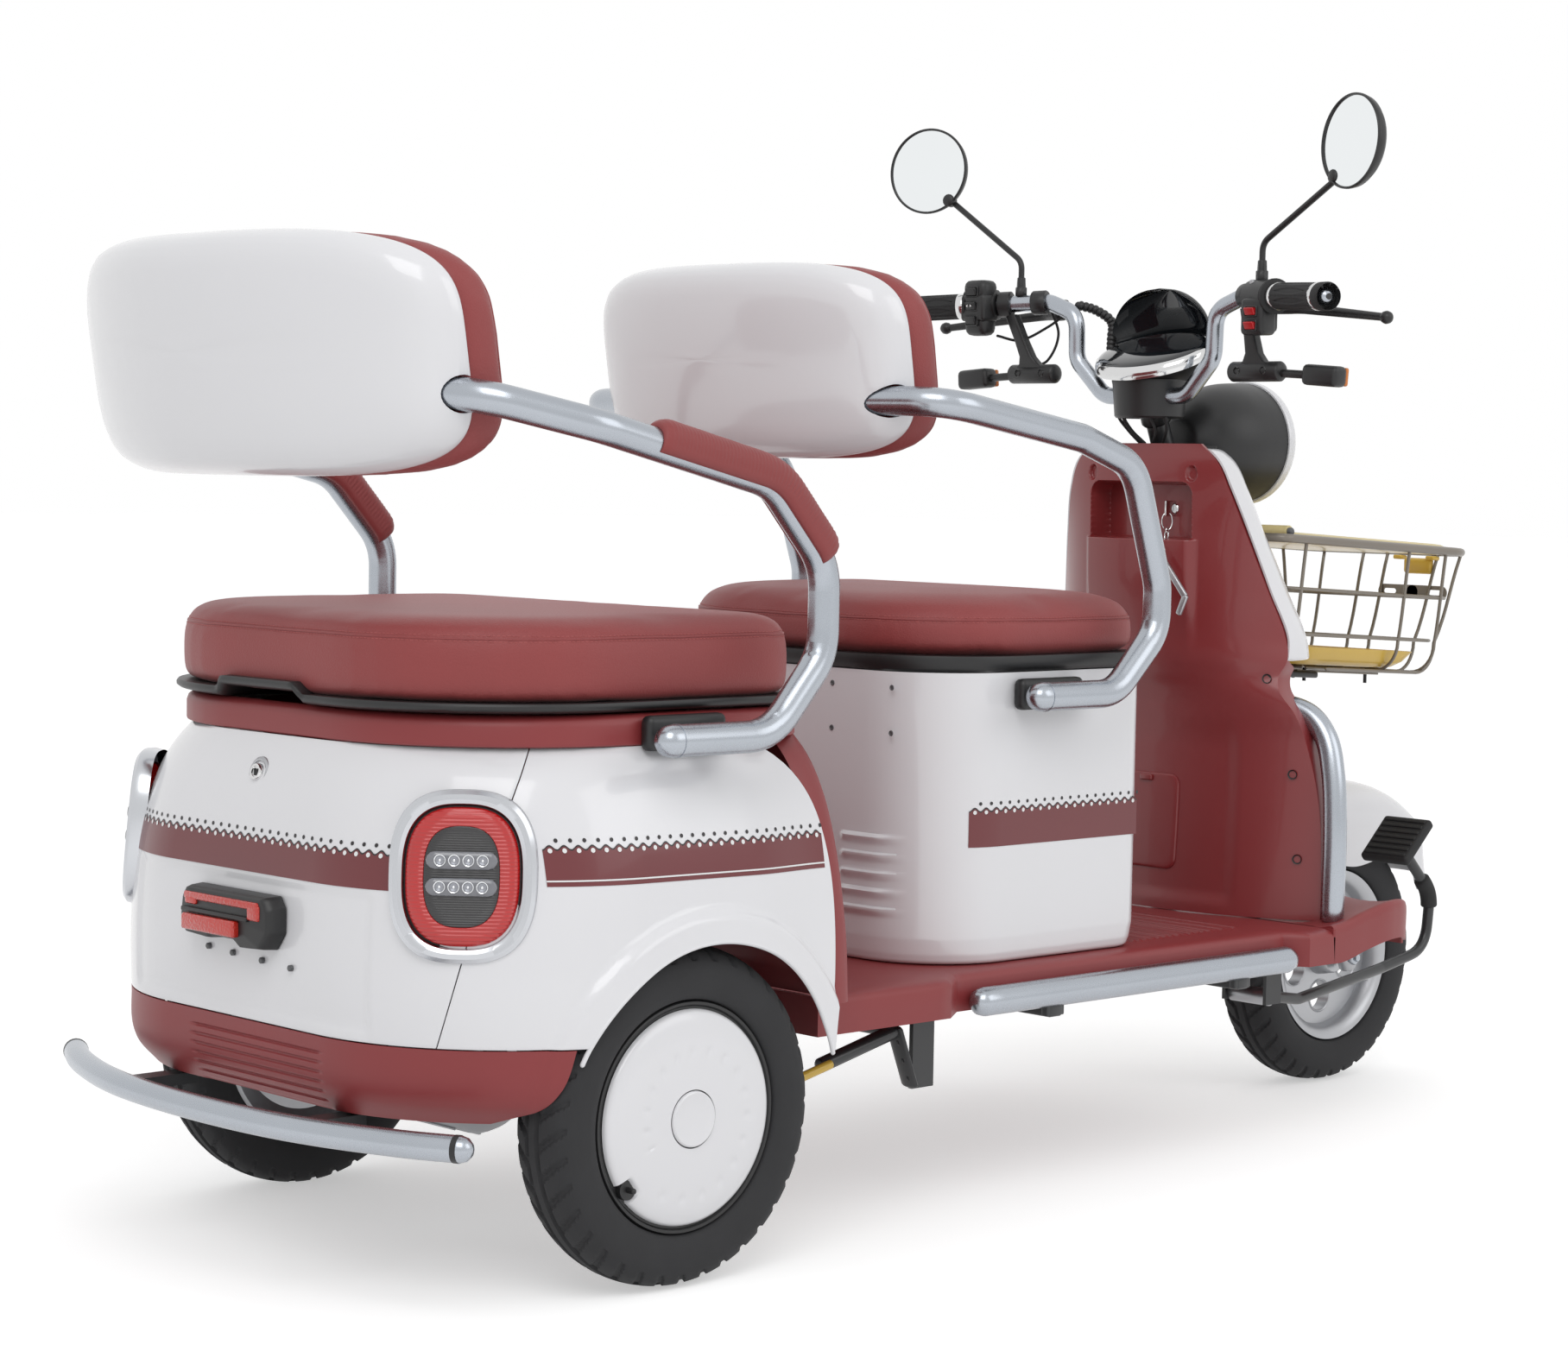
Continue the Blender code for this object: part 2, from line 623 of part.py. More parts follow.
# Arm pads: sleeves on the upper bends of the rear arm bar.
for side, hand in ((-1, "right"), (1, "left")):
    held = [p for p in rear_half if p.y < 0.063 and p.z > 0.700] + [Vector((-REAR_BAR_X, 0.083, 0.8571))]
    held = [Vector((side * REAR_BAR_X, p.y, p.z)) for p in held]
    sleeve = meshed(tube(held, 0.0235, "sleeve", 2))
    place(smooth(sleeve), f"rear_arm_pad_{hand}", RED, 0.7)
    way = (held[0] - held[1]).normalized() * 0.01
    after = (held[-1] - held[-2]).normalized() * 0.01
    bore = meshed(tube([held[0] + way] + held + [held[-1] + after], TUBE_R + GAP, "bore", 2))
    combine(sleeve, [bore], "DIFFERENCE")

# Footboard with its two toe wings, and the frame below it.
FOOT_HALF = 0.2730


def slab(stations, low):
    """A board along Y from stations of (y, left, right, top height)."""
    edge = 0.010
    wall = 0.006
    floor = 0.014
    rings = []
    for y, left, right, top in stations:
        way = math.copysign(1.0, left - right)
        across_and_height = (
            (left, top - edge), (left - way * edge * 0.7, top),
            (right + way * edge * 0.7, top), (right, top - edge),
            (right, low(y)), (right + way * wall, low(y)), (right + way * wall, top - floor),
            (left - way * wall, top - floor), (left - way * wall, low(y)), (left, low(y)),
        )
        rings.append([(x, y, z) for x, z in across_and_height])
    return loft(rings)


main_stations = [(-0.238, 0.300, -0.300, FLOOR_Z), (-0.44, 0.300, -0.300, FLOOR_Z),
                 (-0.478, FOOT_HALF, -FOOT_HALF, FLOOR_Z), (-1.066, FOOT_HALF, -FOOT_HALF, FLOOR_Z),
                 (-1.085, 0.300, -0.300, FLOOR_Z), (-1.136, 0.300, -0.300, FLOOR_Z)]
board = place(mesh_object(slab(main_stations, lambda y: 0.226), "board"), "footboard", RED, 0.5)
WING = (
    # along Y, outer edge, inner edge, height of the top
    (-1.132, 0.2995, 0.170, 0.2702), (-1.20, 0.299, 0.170, 0.283), (-1.265, 0.296, 0.170, 0.293),
    (-1.305, 0.284, 0.172, 0.288), (-1.330, 0.262, 0.175, 0.272),
)
wings = []
for side in (-1, 1):
    stations = [(y, side * outer, side * inner, top) for y, outer, inner, top in WING]
    wings.append(slab(stations, lambda y: 0.2262 + 0.014 * ease((-1.14 - y) / 0.19)))
combine(board, wings)

# Side guards: a bar along each edge of the footboard, tied under the floor.
guard_parts = []
for side in (-1, 1):
    path = [(side * 0.2905, -0.503, 0.238), (side * 0.2905, -1.048, 0.238)]
    guard_parts.append(meshed(tube(path, TUBE_R, "bar", 2, (0, 1))))
guard = place(guard_parts[0], "side_guard", STEEL, 0.3, 1.0)
ties = [guard_parts[1]]
for y in (-0.62, -0.96):
    ties.append(block((0, y, 0.2172), (0.592, 0.022, 0.016), 0.002))
    for side in (-1, 1):
        ties.append(block((side * 0.2905, y, 0.222), (0.008, 0.030, 0.024), 0.001))
combine(guard, ties)

# Main frame: two rails, cross members, neck and hangers.
RAIL_X = 0.150
RAIL_Z = 0.2407


def rail(side):
    rings = []
    for y, z in ((-1.170, RAIL_Z), (-0.185, RAIL_Z), (-0.105, 0.300), (0.150, 0.300), (0.262, 0.280)):
        half = 0.015
        rings.append([(side * RAIL_X - half, y, z - half), (side * RAIL_X + half, y, z - half),
                      (side * RAIL_X + half, y, z + half), (side * RAIL_X - half, y, z + half)])
    return loft(rings)


frame = place(mesh_object(rail(-1), "rail"), "main_frame", (0.05, 0.05, 0.055), 0.5, 0.3)
head_low = steer_point(0.600)
head_high = steer_point(0.715)
parts = [rail(1), rod(head_low, head_high, HEAD_R, 18)]
for y, z in ((-1.158, RAIL_Z), (-0.80, RAIL_Z), (-0.46, RAIL_Z), (0.0, 0.300), (0.245, 0.2825)):
    parts.append(block((0, y, z), (2 * RAIL_X + 0.01, 0.024, 0.024)))
neck_path = bend([(0, -1.159, 0.238), (0, -1.165, 0.470), (0, -1.2175, 0.675)], 0.08, 3)
parts.append(meshed(tube(neck_path, 0.017, "neck", 2)))
for side in (-1, 1):
    parts.append(block((side * 0.150, 0.263, 0.2310), (0.026, 0.006, 0.122)))
    parts.append(block((side * 0.150, 0.2969, 0.176), (0.026, 0.0738, 0.012)))
    parts.append(block((side * 0.208, -0.46, RAIL_Z), (0.100, 0.022, 0.022)))
    for y in (-0.05, 0.12):
        parts.append(block((side * RAIL_X, y, 0.3370), (0.022, 0.022, 0.0452)))
    parts.append(block((side * 0.248, -0.448, 0.195), (0.006, 0.034, 0.108)))
# Bracket for the foot brake, open below.
parts.append(block((-0.205, -1.078, 0.2235), (0.096, 0.030, 0.006)))
for x in (-0.2478, -0.1822):
    parts.append(block((x, -1.078, 0.199), (0.005, 0.030, 0.050)))
combine(frame, parts)
bore = rod(steer_point(0.56), steer_point(0.78), STEM_R + 0.0010, 14)
combine(frame, [bore], "DIFFERENCE")

# Rear bumper: a bowed bar with dark end caps, held on the two rear brackets.
bumper_path = [(-0.345, 0.283, 0.178), (-0.300, 0.306, 0.178), (-0.250, 0.325, 0.178), (-0.190, 0.343, 0.178),
               (-0.120, 0.356, 0.178), (0.0, 0.3625, 0.178)]
bumper = tube(both_sides(bumper_path), 0.0135, "bumper", 2, (0, 1))
place(bumper, "rear_bumper", STEEL, 0.3, 1.0)

# Plate bracket below the lamps.
bracket = [
    upright(0.098, 0.334, 0.398, 0.012, 0.3038, 0.0, 3), upright(0.104, 0.328, 0.404, 0.014, 0.322, 0.0, 3),
    upright(0.100, 0.332, 0.401, 0.012, 0.336, 0.0, 3),
]
place(mesh_object(loft(bracket), "bracket"), "plate_bracket", BLACK, 0.4)

# Rear axle with its motor, and the wheels.
axle = mesh_object(rod((-0.268, 0, TYRE_R), (0.268, 0, TYRE_R), 0.021, 16), "axle")
place(axle, "rear_axle", (0.05, 0.05, 0.055), 0.5, 0.5)
axle_parts = [
    turned([(-0.058, 0), (-0.058, 0.050), (-0.045, 0.068), (0.045, 0.068), (0.058, 0.050), (0.058, 0)],
           (0.02, 0.0, TYRE_R), 20),
]
for side in (-1, 1):
    axle_parts.append(rod((side * 0.2305, 0, TYRE_R), (side * 0.2690, 0, TYRE_R), 0.062, 20))
    axle_parts.append(block((side * RAIL_X, 0.0, 0.2385), (0.026, 0.05, 0.092)))
combine(axle, axle_parts)

# Facets of the tread, not their corners, lie at the tyre's radius, so each tyre stands on a flat.
FACET = 1 / math.cos(math.pi / WHEEL_STEPS)
TYRE_PROFILE = (
    (-0.0248, 0.1024), (-0.0248, 0.1152), (-0.0345, 0.1195), (-TYRE_HALF_WIDTH, 0.142), (-0.0325, 0.1675),
    (-0.0190, TYRE_R * FACET), (0.0190, TYRE_R * FACET), (0.0325, 0.1675), (TYRE_HALF_WIDTH, 0.142),
    (0.0345, 0.1195), (0.0248, 0.1152), (0.0248, 0.1024), (0.0178, 0.1024), (0.0290, 0.143), (0.0, 0.166),
    (-0.0290, 0.143), (-0.0178, 0.1024),
)
# The rear rim's outer face is closed by a smooth cover.
REAR_RIM_PROFILE = (
    (-0.0490, 0), (-0.0490, 0.030), (-0.0120, 0.034), (-0.0120, 0.070), (-0.0310, 0.1145),
    (-0.0252, 0.1145), (-0.0252, BEAD_R), (0.0252, BEAD_R), (0.0252, 0.1145), (0.0310, 0.1145),
    (0.0395, 0.085), (0.0440, 0),
)
FRONT_RIM_PROFILE = (
    (-0.0340, 0.0083), (-0.0340, 0.024), (-0.0080, 0.028), (-0.0080, 0.090), (-0.0310, 0.1005),
    (-0.0310, 0.1145), (-0.0252, 0.1145), (-0.0252, BEAD_R),
    (0.0252, BEAD_R), (0.0252, 0.1145), (0.0310, 0.1145), (0.0310, 0.1005),
    (0.0080, 0.090), (0.0080, 0.028), (0.0340, 0.024), (0.0340, 0.0083),
)
for side, hand in ((-1, "right"), (1, "left")):
    hub = (side * HALF_TRACK, 0.0, TYRE_R)
    tyre = mesh_object(turned(TYRE_PROFILE, hub, WHEEL_STEPS), "tyre")
    place(smooth(tyre), f"rear_tyre_{hand}", BLACK, 0.8)
    rim = mesh_object(turned(REAR_RIM_PROFILE, hub, WHEEL_STEPS, side), "rim")
    place(smooth(rim), f"rear_rim_{hand}", WHITE, 0.3)
front_hub = (0.0, -WHEEL_BASE, TYRE_R)
place(smooth(mesh_object(turned(TYRE_PROFILE, front_hub, WHEEL_STEPS), "tyre")), "front_tyre", BLACK, 0.8)
rim = mesh_object(turned(FRONT_RIM_PROFILE, front_hub, WHEEL_STEPS), "rim")
place(smooth(rim), "front_rim", (0.6, 0.6, 0.62), 0.35, 0.9)
windows = []
for k in range(5):
    a = 2 * math.pi * (k + 0.5) / 5
    mid = Vector(front_hub) + Vector((0, math.sin(a), math.cos(a))) * 0.060
    windows.append(rod(mid - Vector((0.03, 0, 0)), mid + Vector((0.03, 0, 0)), 0.021, 10))
combine(rim, windows, "DIFFERENCE")

# Front end that turns with the bars: fork, mudguard, handlebar and what it carries.
LEG_X = 0.0515
LEG_R = 0.0085
axle_point = Vector(front_hub)
crown = axle_point + AXIS * 0.292
BACK = Vector((0.0, math.cos(RAKE), -math.sin(RAKE)))
OFFSET = (Vector(STEER_TOP) - axle_point).dot(BACK)
fork = mesh_object(rod(crown + BACK * OFFSET, steer_point(0.905), STEM_R, 14), "fork")
place(fork, "fork", (0.08, 0.08, 0.085), 0.45, 0.6)
fork_parts = [block(crown + BACK * OFFSET / 2, (2 * LEG_X + 0.024, OFFSET + 0.046, 0.026), 0.003, -RAKE),
              rod(axle_point - Vector((LEG_X, 0, 0)), axle_point + Vector((LEG_X, 0, 0)), 0.0080, 12)]
for side in (-1, 1):
    foot = axle_point + Vector((side * LEG_X, 0, 0))
    fork_parts.append(rod(foot - AXIS * 0.016, foot + AXIS * 0.292, LEG_R, 12))
combine(fork, fork_parts)

# Mudguard: a hood over the wheel with deep sides.
rows = []
FENDER_HALF = 0.066
for k in range(13):
    a = math.radians(-58 + 118 * k / 12)
    out = Vector((0, -math.sin(a), math.cos(a)))
    crown_r = 0.243 - 0.032 * ease((math.degrees(a) - 38) / 22)
    drop = 0.075 * math.cos(a * 1.35) ** 2 + 0.012
    half = [(FENDER_HALF, 0.030 + drop), (FENDER_HALF, 0.030), (0.058, 0.012), (0.038, 0.002)]
    row = []
    for x, sunk in [(-x, sunk) for x, sunk in half] + [(0.0, 0.0)] + half[::-1]:
        p = axle_point + out * (crown_r - sunk)
        row.append((x, p.y, p.z))
    rows.append(row)
fender = place(smooth(mesh_object(sheet(rows), "fender")), "front_fender", WHITE, 0.25)
skin_wall(fender, (0, 0, 1))
holes = []
for side in (-1, 1):
    foot = axle_point + Vector((side * LEG_X, 0, 0))
    holes.append(rod(foot + AXIS * 0.17, foot + AXIS * 0.36, LEG_R + 0.0006, 12))
combine(fender, holes, "DIFFERENCE")

# Handlebar, risen from a clamp and swept back at the grips.
SWEEP = math.radians(22)
GRIP_Z = 1.062
PERCH_X = 0.1765


def bar_point(reach, side, drop=0.0):
    """A point on the swept part of the bar, reach metres from the middle plane."""
    back = (reach - 0.165) * math.tan(SWEEP)
    return Vector((side * reach, -1.090 + back, GRIP_Z - (reach - 0.165) * 0.045 - drop))


half_bar = bend([bar_point(0.347, -1), (-0.165, -1.090, GRIP_Z), (-0.118, -1.092, 1.045),
                 (-0.116, -1.092, 0.985), (-0.070, -1.096, 0.938), (-0.02, -1.096, 0.936)], 0.030, 4)
bar = meshed(tube(both_sides(half_bar + [Vector((0, -1.096, 0.936))]), BAR_R, "bar", 2))
place(smooth(bar), "handlebar", STEEL, 0.3, 1.0)
clamp = rod(steer_point(0.9055), steer_point(0.952), 0.020, 16)
perches = []
for side in (-1, 1):
    perches.append(block((side * PERCH_X, -1.108, 1.0615), (0.018, 0.052, 0.012), 0.002))
combine(bar, [clamp, block((0, -1.098, 0.929), (0.050, 0.034, 0.022), 0.003)] + perches)

# Display: a cup over the clamp, an oval face and a small screen in front.
cup_rings = []
CUP = ((0.043, 0.958, -1.100), (0.048, 0.975, -1.098), (0.070, 0.990, -1.096), (0.074, 1.000, -1.095))
for radius, z, y in CUP:
    ring = []
    for i in range(24):
        a = 2 * math.pi * i / 24
        ring.append((radius * math.cos(a), y + radius * 0.72 * math.sin(a), z - 0.16 * radius * math.sin(a)))
    cup_rings.append(ring)
display = place(smooth(mesh_object(loft(cup_rings), "display")), "display", BLACK, 0.3)
screen_rows = []
for k in range(5):
    z = 0.992 + 0.083 * k / 4
    half = 0.064 * math.sqrt(max(0.05, 1 - (k / 4.4) ** 2.6))
    row = []
    for i in range(9):
        t = -1 + i / 4
        row.append((half * t, -1.140 + 0.016 * t * t - 0.014 * k / 4, z))
    screen_rows.append(row)
screen = mesh_object(sheet(screen_rows), "screen")
solidify(screen, 0.004, 0.0)
combine(display, [screen, rod(steer_point(0.9526), steer_point(0.976), 0.020, 16)])


# Grips, switch housings, levers, lamps and mirrors on the bar.
def along_bar(side, first, last, radius, sides=16):
    return rod(bar_point(first, side), bar_point(last, side), radius, sides)


grip = mesh_object(along_bar(-1, 0.2375, 0.356, GRIP_R), "grip")
throttle = place(smooth(grip), "throttle_grip", BLACK, 0.7)
combine(throttle, [along_bar(-1, 0.22, 0.3485, BAR_R + GAP)], "DIFFERENCE")
for side, hand, first, last in ((-1, "right", 0.187, 0.2365), (1, "left", 0.232, 0.268)):
    middle = bar_point((first + last) / 2, side)
    shape = mesh_object(along_bar(side, first, last, 0.0205, 14), "housing")
    place(shape, f"switch_housing_{hand}", BLACK, 0.45)
    pod = block(middle + Vector((0, 0.012, -0.026)), (last - first - 0.014, 0.030, 0.042), 0.004)
    if side > 0:
        pod = block(middle + Vector((0, 0.012, -0.002)), (last - first + 0.006, 0.030, 0.066), 0.004)
    combine(shape, [pod])
    combine(shape, [along_bar(side, first - 0.02, last + 0.02, BAR_R + GAP)], "DIFFERENCE")


def push_button(housing, name, centre, size, colour):
    """A button that slides 2 mm into a pocket of its housing."""
    width, height = size
    travel = 0.002
    depth = 0.007
    room = 0.0004
    body_at = centre + Vector((0, 0.0005, 0))
    button = mesh_object(block(body_at, (width, depth, height), 0.0008), name)
    place(button, name, colour, 0.4)
    pocket_at = centre + Vector((0, 0.0007 - travel, 0))
    pocket_size = (width + 2 * room, depth + 0.0014 + travel, height + 2 * room)
    combine(bpy.data.objects[housing], [block(pocket_at, pocket_size)], "DIFFERENCE")


right_mid = bar_point((0.187 + 0.2365) / 2, -1)
left_mid = bar_point((0.232 + 0.268) / 2, 1)
face_y = 0.012 + 0.015
BRIGHT_RED = (0.6, 0.02, 0.02)
DARK_GREY = (0.08, 0.08, 0.08)
for name, height in (("start_button", -0.020), ("speed_button", -0.0375)):
    at = right_mid + Vector((0.0, face_y, height))
    push_button("switch_housing_right", name, at, (0.016, 0.010), BRIGHT_RED)
for name, height in (("lamp_button", 0.017), ("turn_button", -0.002), ("horn_button", -0.021)):
    at = left_mid + Vector((0.0, face_y, height))
    push_button("switch_housing_left", name, at, (0.018, 0.011), DARK_GREY)

for side, hand in ((-1, "right"), (1, "left")):
    # Brake lever: a blade ahead of the grip, pivoted in the perch.
    root = Vector((side * PERCH_X, -1.125, 1.0492))
    LEVER_ROOT[side] = root
    elbow = Vector((side * 0.215, -1.140, 1.0480))
    tip = Vector((side * 0.372, -1.108, 1.0320))
    lever = meshed(tube(bend([root, elbow, tip], 0.03, 3), 0.0055, "lever", 1))
    place(smooth(lever), f"brake_lever_{hand}", BLACK, 0.4, 0.3)
    bm = bmesh.new()
    bmesh.ops.create_icosphere(bm, subdivisions=2, radius=0.0085, matrix=Matrix.Translation(tip))
    combine(lever, [bm, rod(root - Vector((0, 0, 0.006)), root + Vector((0, 0, 0.006)), 0.009, 12)])

    # Indicator: an arm that hangs from the bar, a stalk and the lamp block.
    arm_x = 0.174 if side < 0 else 0.214
    top = bar_point(arm_x, side)
    lamp_middle = Vector((side * 0.294, -1.089, 0.961))
    lamp = mesh_object(block(lamp_middle, (0.054, 0.034, 0.026), 0.005), "indicator")
    place(lamp, f"indicator_{hand}", BLACK, 0.4)
    hang_top = top + Vector((0, 0.0, -BAR_R - GAP))
    hang = bend([hang_top, (top.x, top.y, 0.985), (top.x, -1.089, 0.967)], 0.01, 2)
    pieces = [meshed(tube(hang, 0.0065, "arm", 1)),
              rod((side * 0.152, -1.089, 0.967), (side * 0.226, -1.089, 0.967), 0.0125, 12),
              rod((side * 0.22, -1.089, 0.965), (side * 0.275, -1.089, 0.962), 0.0050, 8)]
    combine(lamp, pieces)

    # Mirror: a bent stem and a round head that turn about the foot of the stem.
    foot = bar_point(0.203 if side > 0 else 0.205, side) + Vector((0, 0, BAR_R + GAP))
    if side < 0:
        foot += Vector((0, 0, 0.010))
    MIRROR_FOOT[side] = foot
    centre = Vector((side * 0.357, -1.054, 1.242))
    facing = Vector((side * -0.10, 0.98, 0.05)).normalized()
    near = centre + Vector((side * -0.034, 0.0, -0.040)) - facing * 0.010
    stem = bend([foot, foot + Vector((0, 0.0, 0.045)), near], 0.02, 4)
    mirror = meshed(tube(stem, 0.0045, "stem", 1))
    place(smooth(mirror), f"mirror_{hand}", BLACK, 0.3)
    head = rod(centre - facing * 0.011, centre + facing * 0.003, MIRROR_R * 0.86, 28, MIRROR_R)
    rim_part = rod(centre + facing * 0.0029, centre + facing * 0.007, MIRROR_R, 28)
    combine(mirror, [head, rim_part])

# Leg shield in red, front cover in white, with the wheel space open below.
SHIELD = (
    # height, half width, middle y, edge y
    (0.2710, 0.246, -1.104, -1.174), (0.32, 0.246, -1.110, -1.174), (0.42, 0.242, -1.116, -1.170),
    (0.50, 0.226, -1.116, -1.160), (0.535, 0.215, -1.113, -1.150), (0.562, 0.194, -1.105, -1.145),
    (0.580, 0.188, -1.097, -1.150), (0.600, 0.199, -1.090, -1.165), (0.63, 0.196, -1.087, -1.170),
    (0.69, 0.179, -1.085, -1.152), (0.76, 0.159, -1.084, -1.132), (0.82, 0.140, -1.085, -1.114),
    (0.855, 0.122, -1.088, -1.106), (0.876, 0.096, -1.094, -1.102),
)


def shield_row(w, mid, edge, z, power=2.6, columns=12):
    """Across the shield: nearly flat in the middle, rolled forward at both edges."""
    row = []
    for i in range(columns + 1):
        t = -1 + 2 * i / columns
        s = math.sin(t * math.pi / 2)
        row.append((w * s, mid + (edge - mid) * abs(s) ** power, z))
    return row


def wing_top(y):
    """Height of the toe wings' top face."""
    return between(-y, [(-at, top) for at, _, _, top in WING])


rows = [shield_row(w, m, e, z) for z, w, m, e in SHIELD]
rows[0] = [(x, y, wing_top(y) + 0.0010) for x, y, _ in rows[0]]
apron = place(smooth(mesh_object(sheet(rows), "apron")), "apron", RED, 0.5)
skin_wall(apron, (0, 1, 0))
POCKET = (0.086, 0.700, 0.826)
pocket_mid = (POCKET[1] + POCKET[2]) / 2
pocket_high = POCKET[2] - POCKET[1]
pocket_box = block((0, -1.1105, pocket_mid), (2 * POCKET[0] + 0.005, 0.0440, pocket_high))
combine(apron, [pocket_box])
hollow = block((0, -1.1100, pocket_mid), (2 * POCKET[0], 0.0380, pocket_high - 0.005))
mouth = block((0, -1.095, 0.7875), (2 * POCKET[0], 0.060, 0.070))
combine(apron, [hollow, mouth], "DIFFERENCE")

# Ignition lock on the back wall of the pocket, with its key.
key_at = Vector((-0.034, -1.1287, 0.792))
key = mesh_object(rod(key_at, key_at + Vector((0, 0.010, 0)), 0.0125, 16), "key")
place(key, "ignition_key", STEEL, 0.3, 0.9)
combine(key, [block(key_at + Vector((0, 0.021, 0)), (0.0025, 0.024, 0.008)),
              rod(key_at + Vector((-0.0012, 0.042, 0)), key_at + Vector((0.0022, 0.042, 0)), 0.0115, 12)])

# Front cover.
COVER = (
    # height, half width, rear edge, middle of the front
    (0.600, 0.196, -1.1688, -1.2770), (0.630, 0.193, -1.1738, -1.2641), (0.690, 0.176, -1.1558, -1.2387),
    (0.720, 0.168, -1.1472, -1.2260), (0.760, 0.157, -1.1357, -1.2075), (0.820, 0.138, -1.1177, -1.1900),
    (0.855, 0.121, -1.1097, -1.1780), (0.870, 0.104, -1.1075, -1.1650),
)
rows = []
for z, w, edge, front in COVER:
    row = []
    for i in range(15):
        a = math.pi * i / 14
        c = math.copysign(abs(math.cos(a)) ** 0.75, math.cos(a))
        row.append((w * c, edge + (front - edge) * math.sin(a) ** 0.75, z))
    rows.append(row)
cover = place(smooth(mesh_object(sheet(rows), "cover")), "front_cover", WHITE, 0.25)
skin_wall(cover, (0, -1, 0))

# Headlamp bowl, let into the front of the cover.
LAMP_Y = -1.300
LAMP_HEIGHT = 0.880


def lamp_bowl(grow):
    """The bowl's solid of rotation about Y, its outline moved out by grow."""
    outline = ((0.135, 0.0), (0.130, 0.034), (0.108, 0.058), (0.060, 0.077), (0.0, HEADLAMP_R),
               (-0.008, 0.078), (-0.014, 0.0))
    points = [(y + (grow if y > 0.1 else 0.0), r + (grow if r else 0.0)) for y, r in outline]
    bm = turned(points, (0, 0, 0), 20)
    bmesh.ops.rotate(bm, cent=(0, 0, 0), matrix=Matrix.Rotation(math.pi / 2, 3, "Z"), verts=bm.verts)
    bmesh.ops.translate(bm, vec=(0, LAMP_Y, LAMP_HEIGHT), verts=bm.verts)
    return bm


place(smooth(mesh_object(lamp_bowl(0.0), "headlamp")), "headlamp", BLACK, 0.3)
combine(cover, [lamp_bowl(0.0006)], "DIFFERENCE")

# Leg guard: one hoop through the shield, down both of its edges.
guard_half = [(-0.2635, -1.176, 0.2818), (-0.2640, -1.176, 0.400), (-0.256, -1.180, 0.460),
              (-0.240, -1.184, 0.505), (-0.212, -1.182, 0.533), (-0.165, -1.168, 0.544),
              (-0.090, -1.152, 0.546)]
hoop = tube(both_sides([Vector(p) for p in guard_half] + [Vector((0, -1.1513, 0.546))]), 0.0150, "hoop", 2)
place(hoop, "leg_guard", STEEL, 0.3, 1.0)

# Basket on the front of the cover, and its lid.
BASKET_TILT = math.radians(3.0)


def basket_ring(w, front, rear, r_front, z, grow=0.0, steps=3):
    """A plan ring of the basket, tipped down towards the front. The rear follows the cover."""
    ring = []
    for x, y, _ in rounded(w + grow, front - grow, rear + grow, r_front, 0.014, 0.0, steps):
        ring.append((x, y, z + (y + 1.21) * math.tan(BASKET_TILT)))
    return ring


basket_rings = [
    basket_ring(0.110, -1.555, -1.2888, 0.04, 0.5760), basket_ring(0.116, -1.572, -1.2853, 0.05, 0.5900),
    basket_ring(0.140, -1.636, -1.2143, 0.05, 0.7480),
    basket_ring(0.140, -1.636, -1.2143, 0.05, 0.7480, -0.004),
    basket_ring(0.116, -1.572, -1.2853, 0.05, 0.5920, -0.004),
    basket_ring(0.110, -1.555, -1.2888, 0.04, 0.5800, -0.004),
]
place(mesh_object(loft(basket_rings), "basket"), "basket", (0.28, 0.25, 0.22), 0.4, 0.8)
lid_rings = [basket_ring(0.139, -1.606, -1.2143, 0.05, 0.7486),
             basket_ring(0.137, -1.603, -1.2163, 0.05, 0.7580)]
place(mesh_object(loft(lid_rings), "lid"), "basket_lid", YELLOW, 0.4)

# Brake pedal on the right foot side: pivot, bent arm and pad.
PIVOT = Vector((-0.215, -1.078, 0.182))
PAD_AT = Vector((-0.175, -1.430, 0.352))
PAD_SLOPE = math.radians(-43)
pedal_path = bend([PIVOT, (-0.202, -1.19, 0.164), (-0.176, -1.400, 0.182), (-0.175, -1.500, 0.200),
                   (-0.175, -1.508, 0.275), PAD_AT], 0.045, 4)
pedal = meshed(tube(pedal_path, 0.0068, "pedal", 2))
place(smooth(pedal), "brake_pedal", BLACK, 0.5)
combine(pedal, [block(PAD_AT, (0.076, 0.076, 0.014), 0.003, PAD_SLOPE),
                rod(PIVOT - Vector((0.030, 0, 0)), PIVOT + Vector((0.030, 0, 0)), 0.0105, 14)])


# Each moving piece hangs from an empty on its joint's line.
def pivot(name, spot, pieces, parent=datum):
    """An empty at the spot, which carries the pieces without moving them."""
    empty = bpy.data.objects.new(name, None)
    empty.empty_display_size = 0.05
    empty.parent = parent
    origin = Vector(parent.get("spot", (0.0, 0.0, 0.0)))
    empty.location = Vector(spot) - origin
    empty["spot"] = tuple(spot)
    body.objects.link(empty)
    for piece in pieces:
        obj = bpy.data.objects[piece]
        obj.parent = empty
        obj.location = -Vector(spot)
    return empty


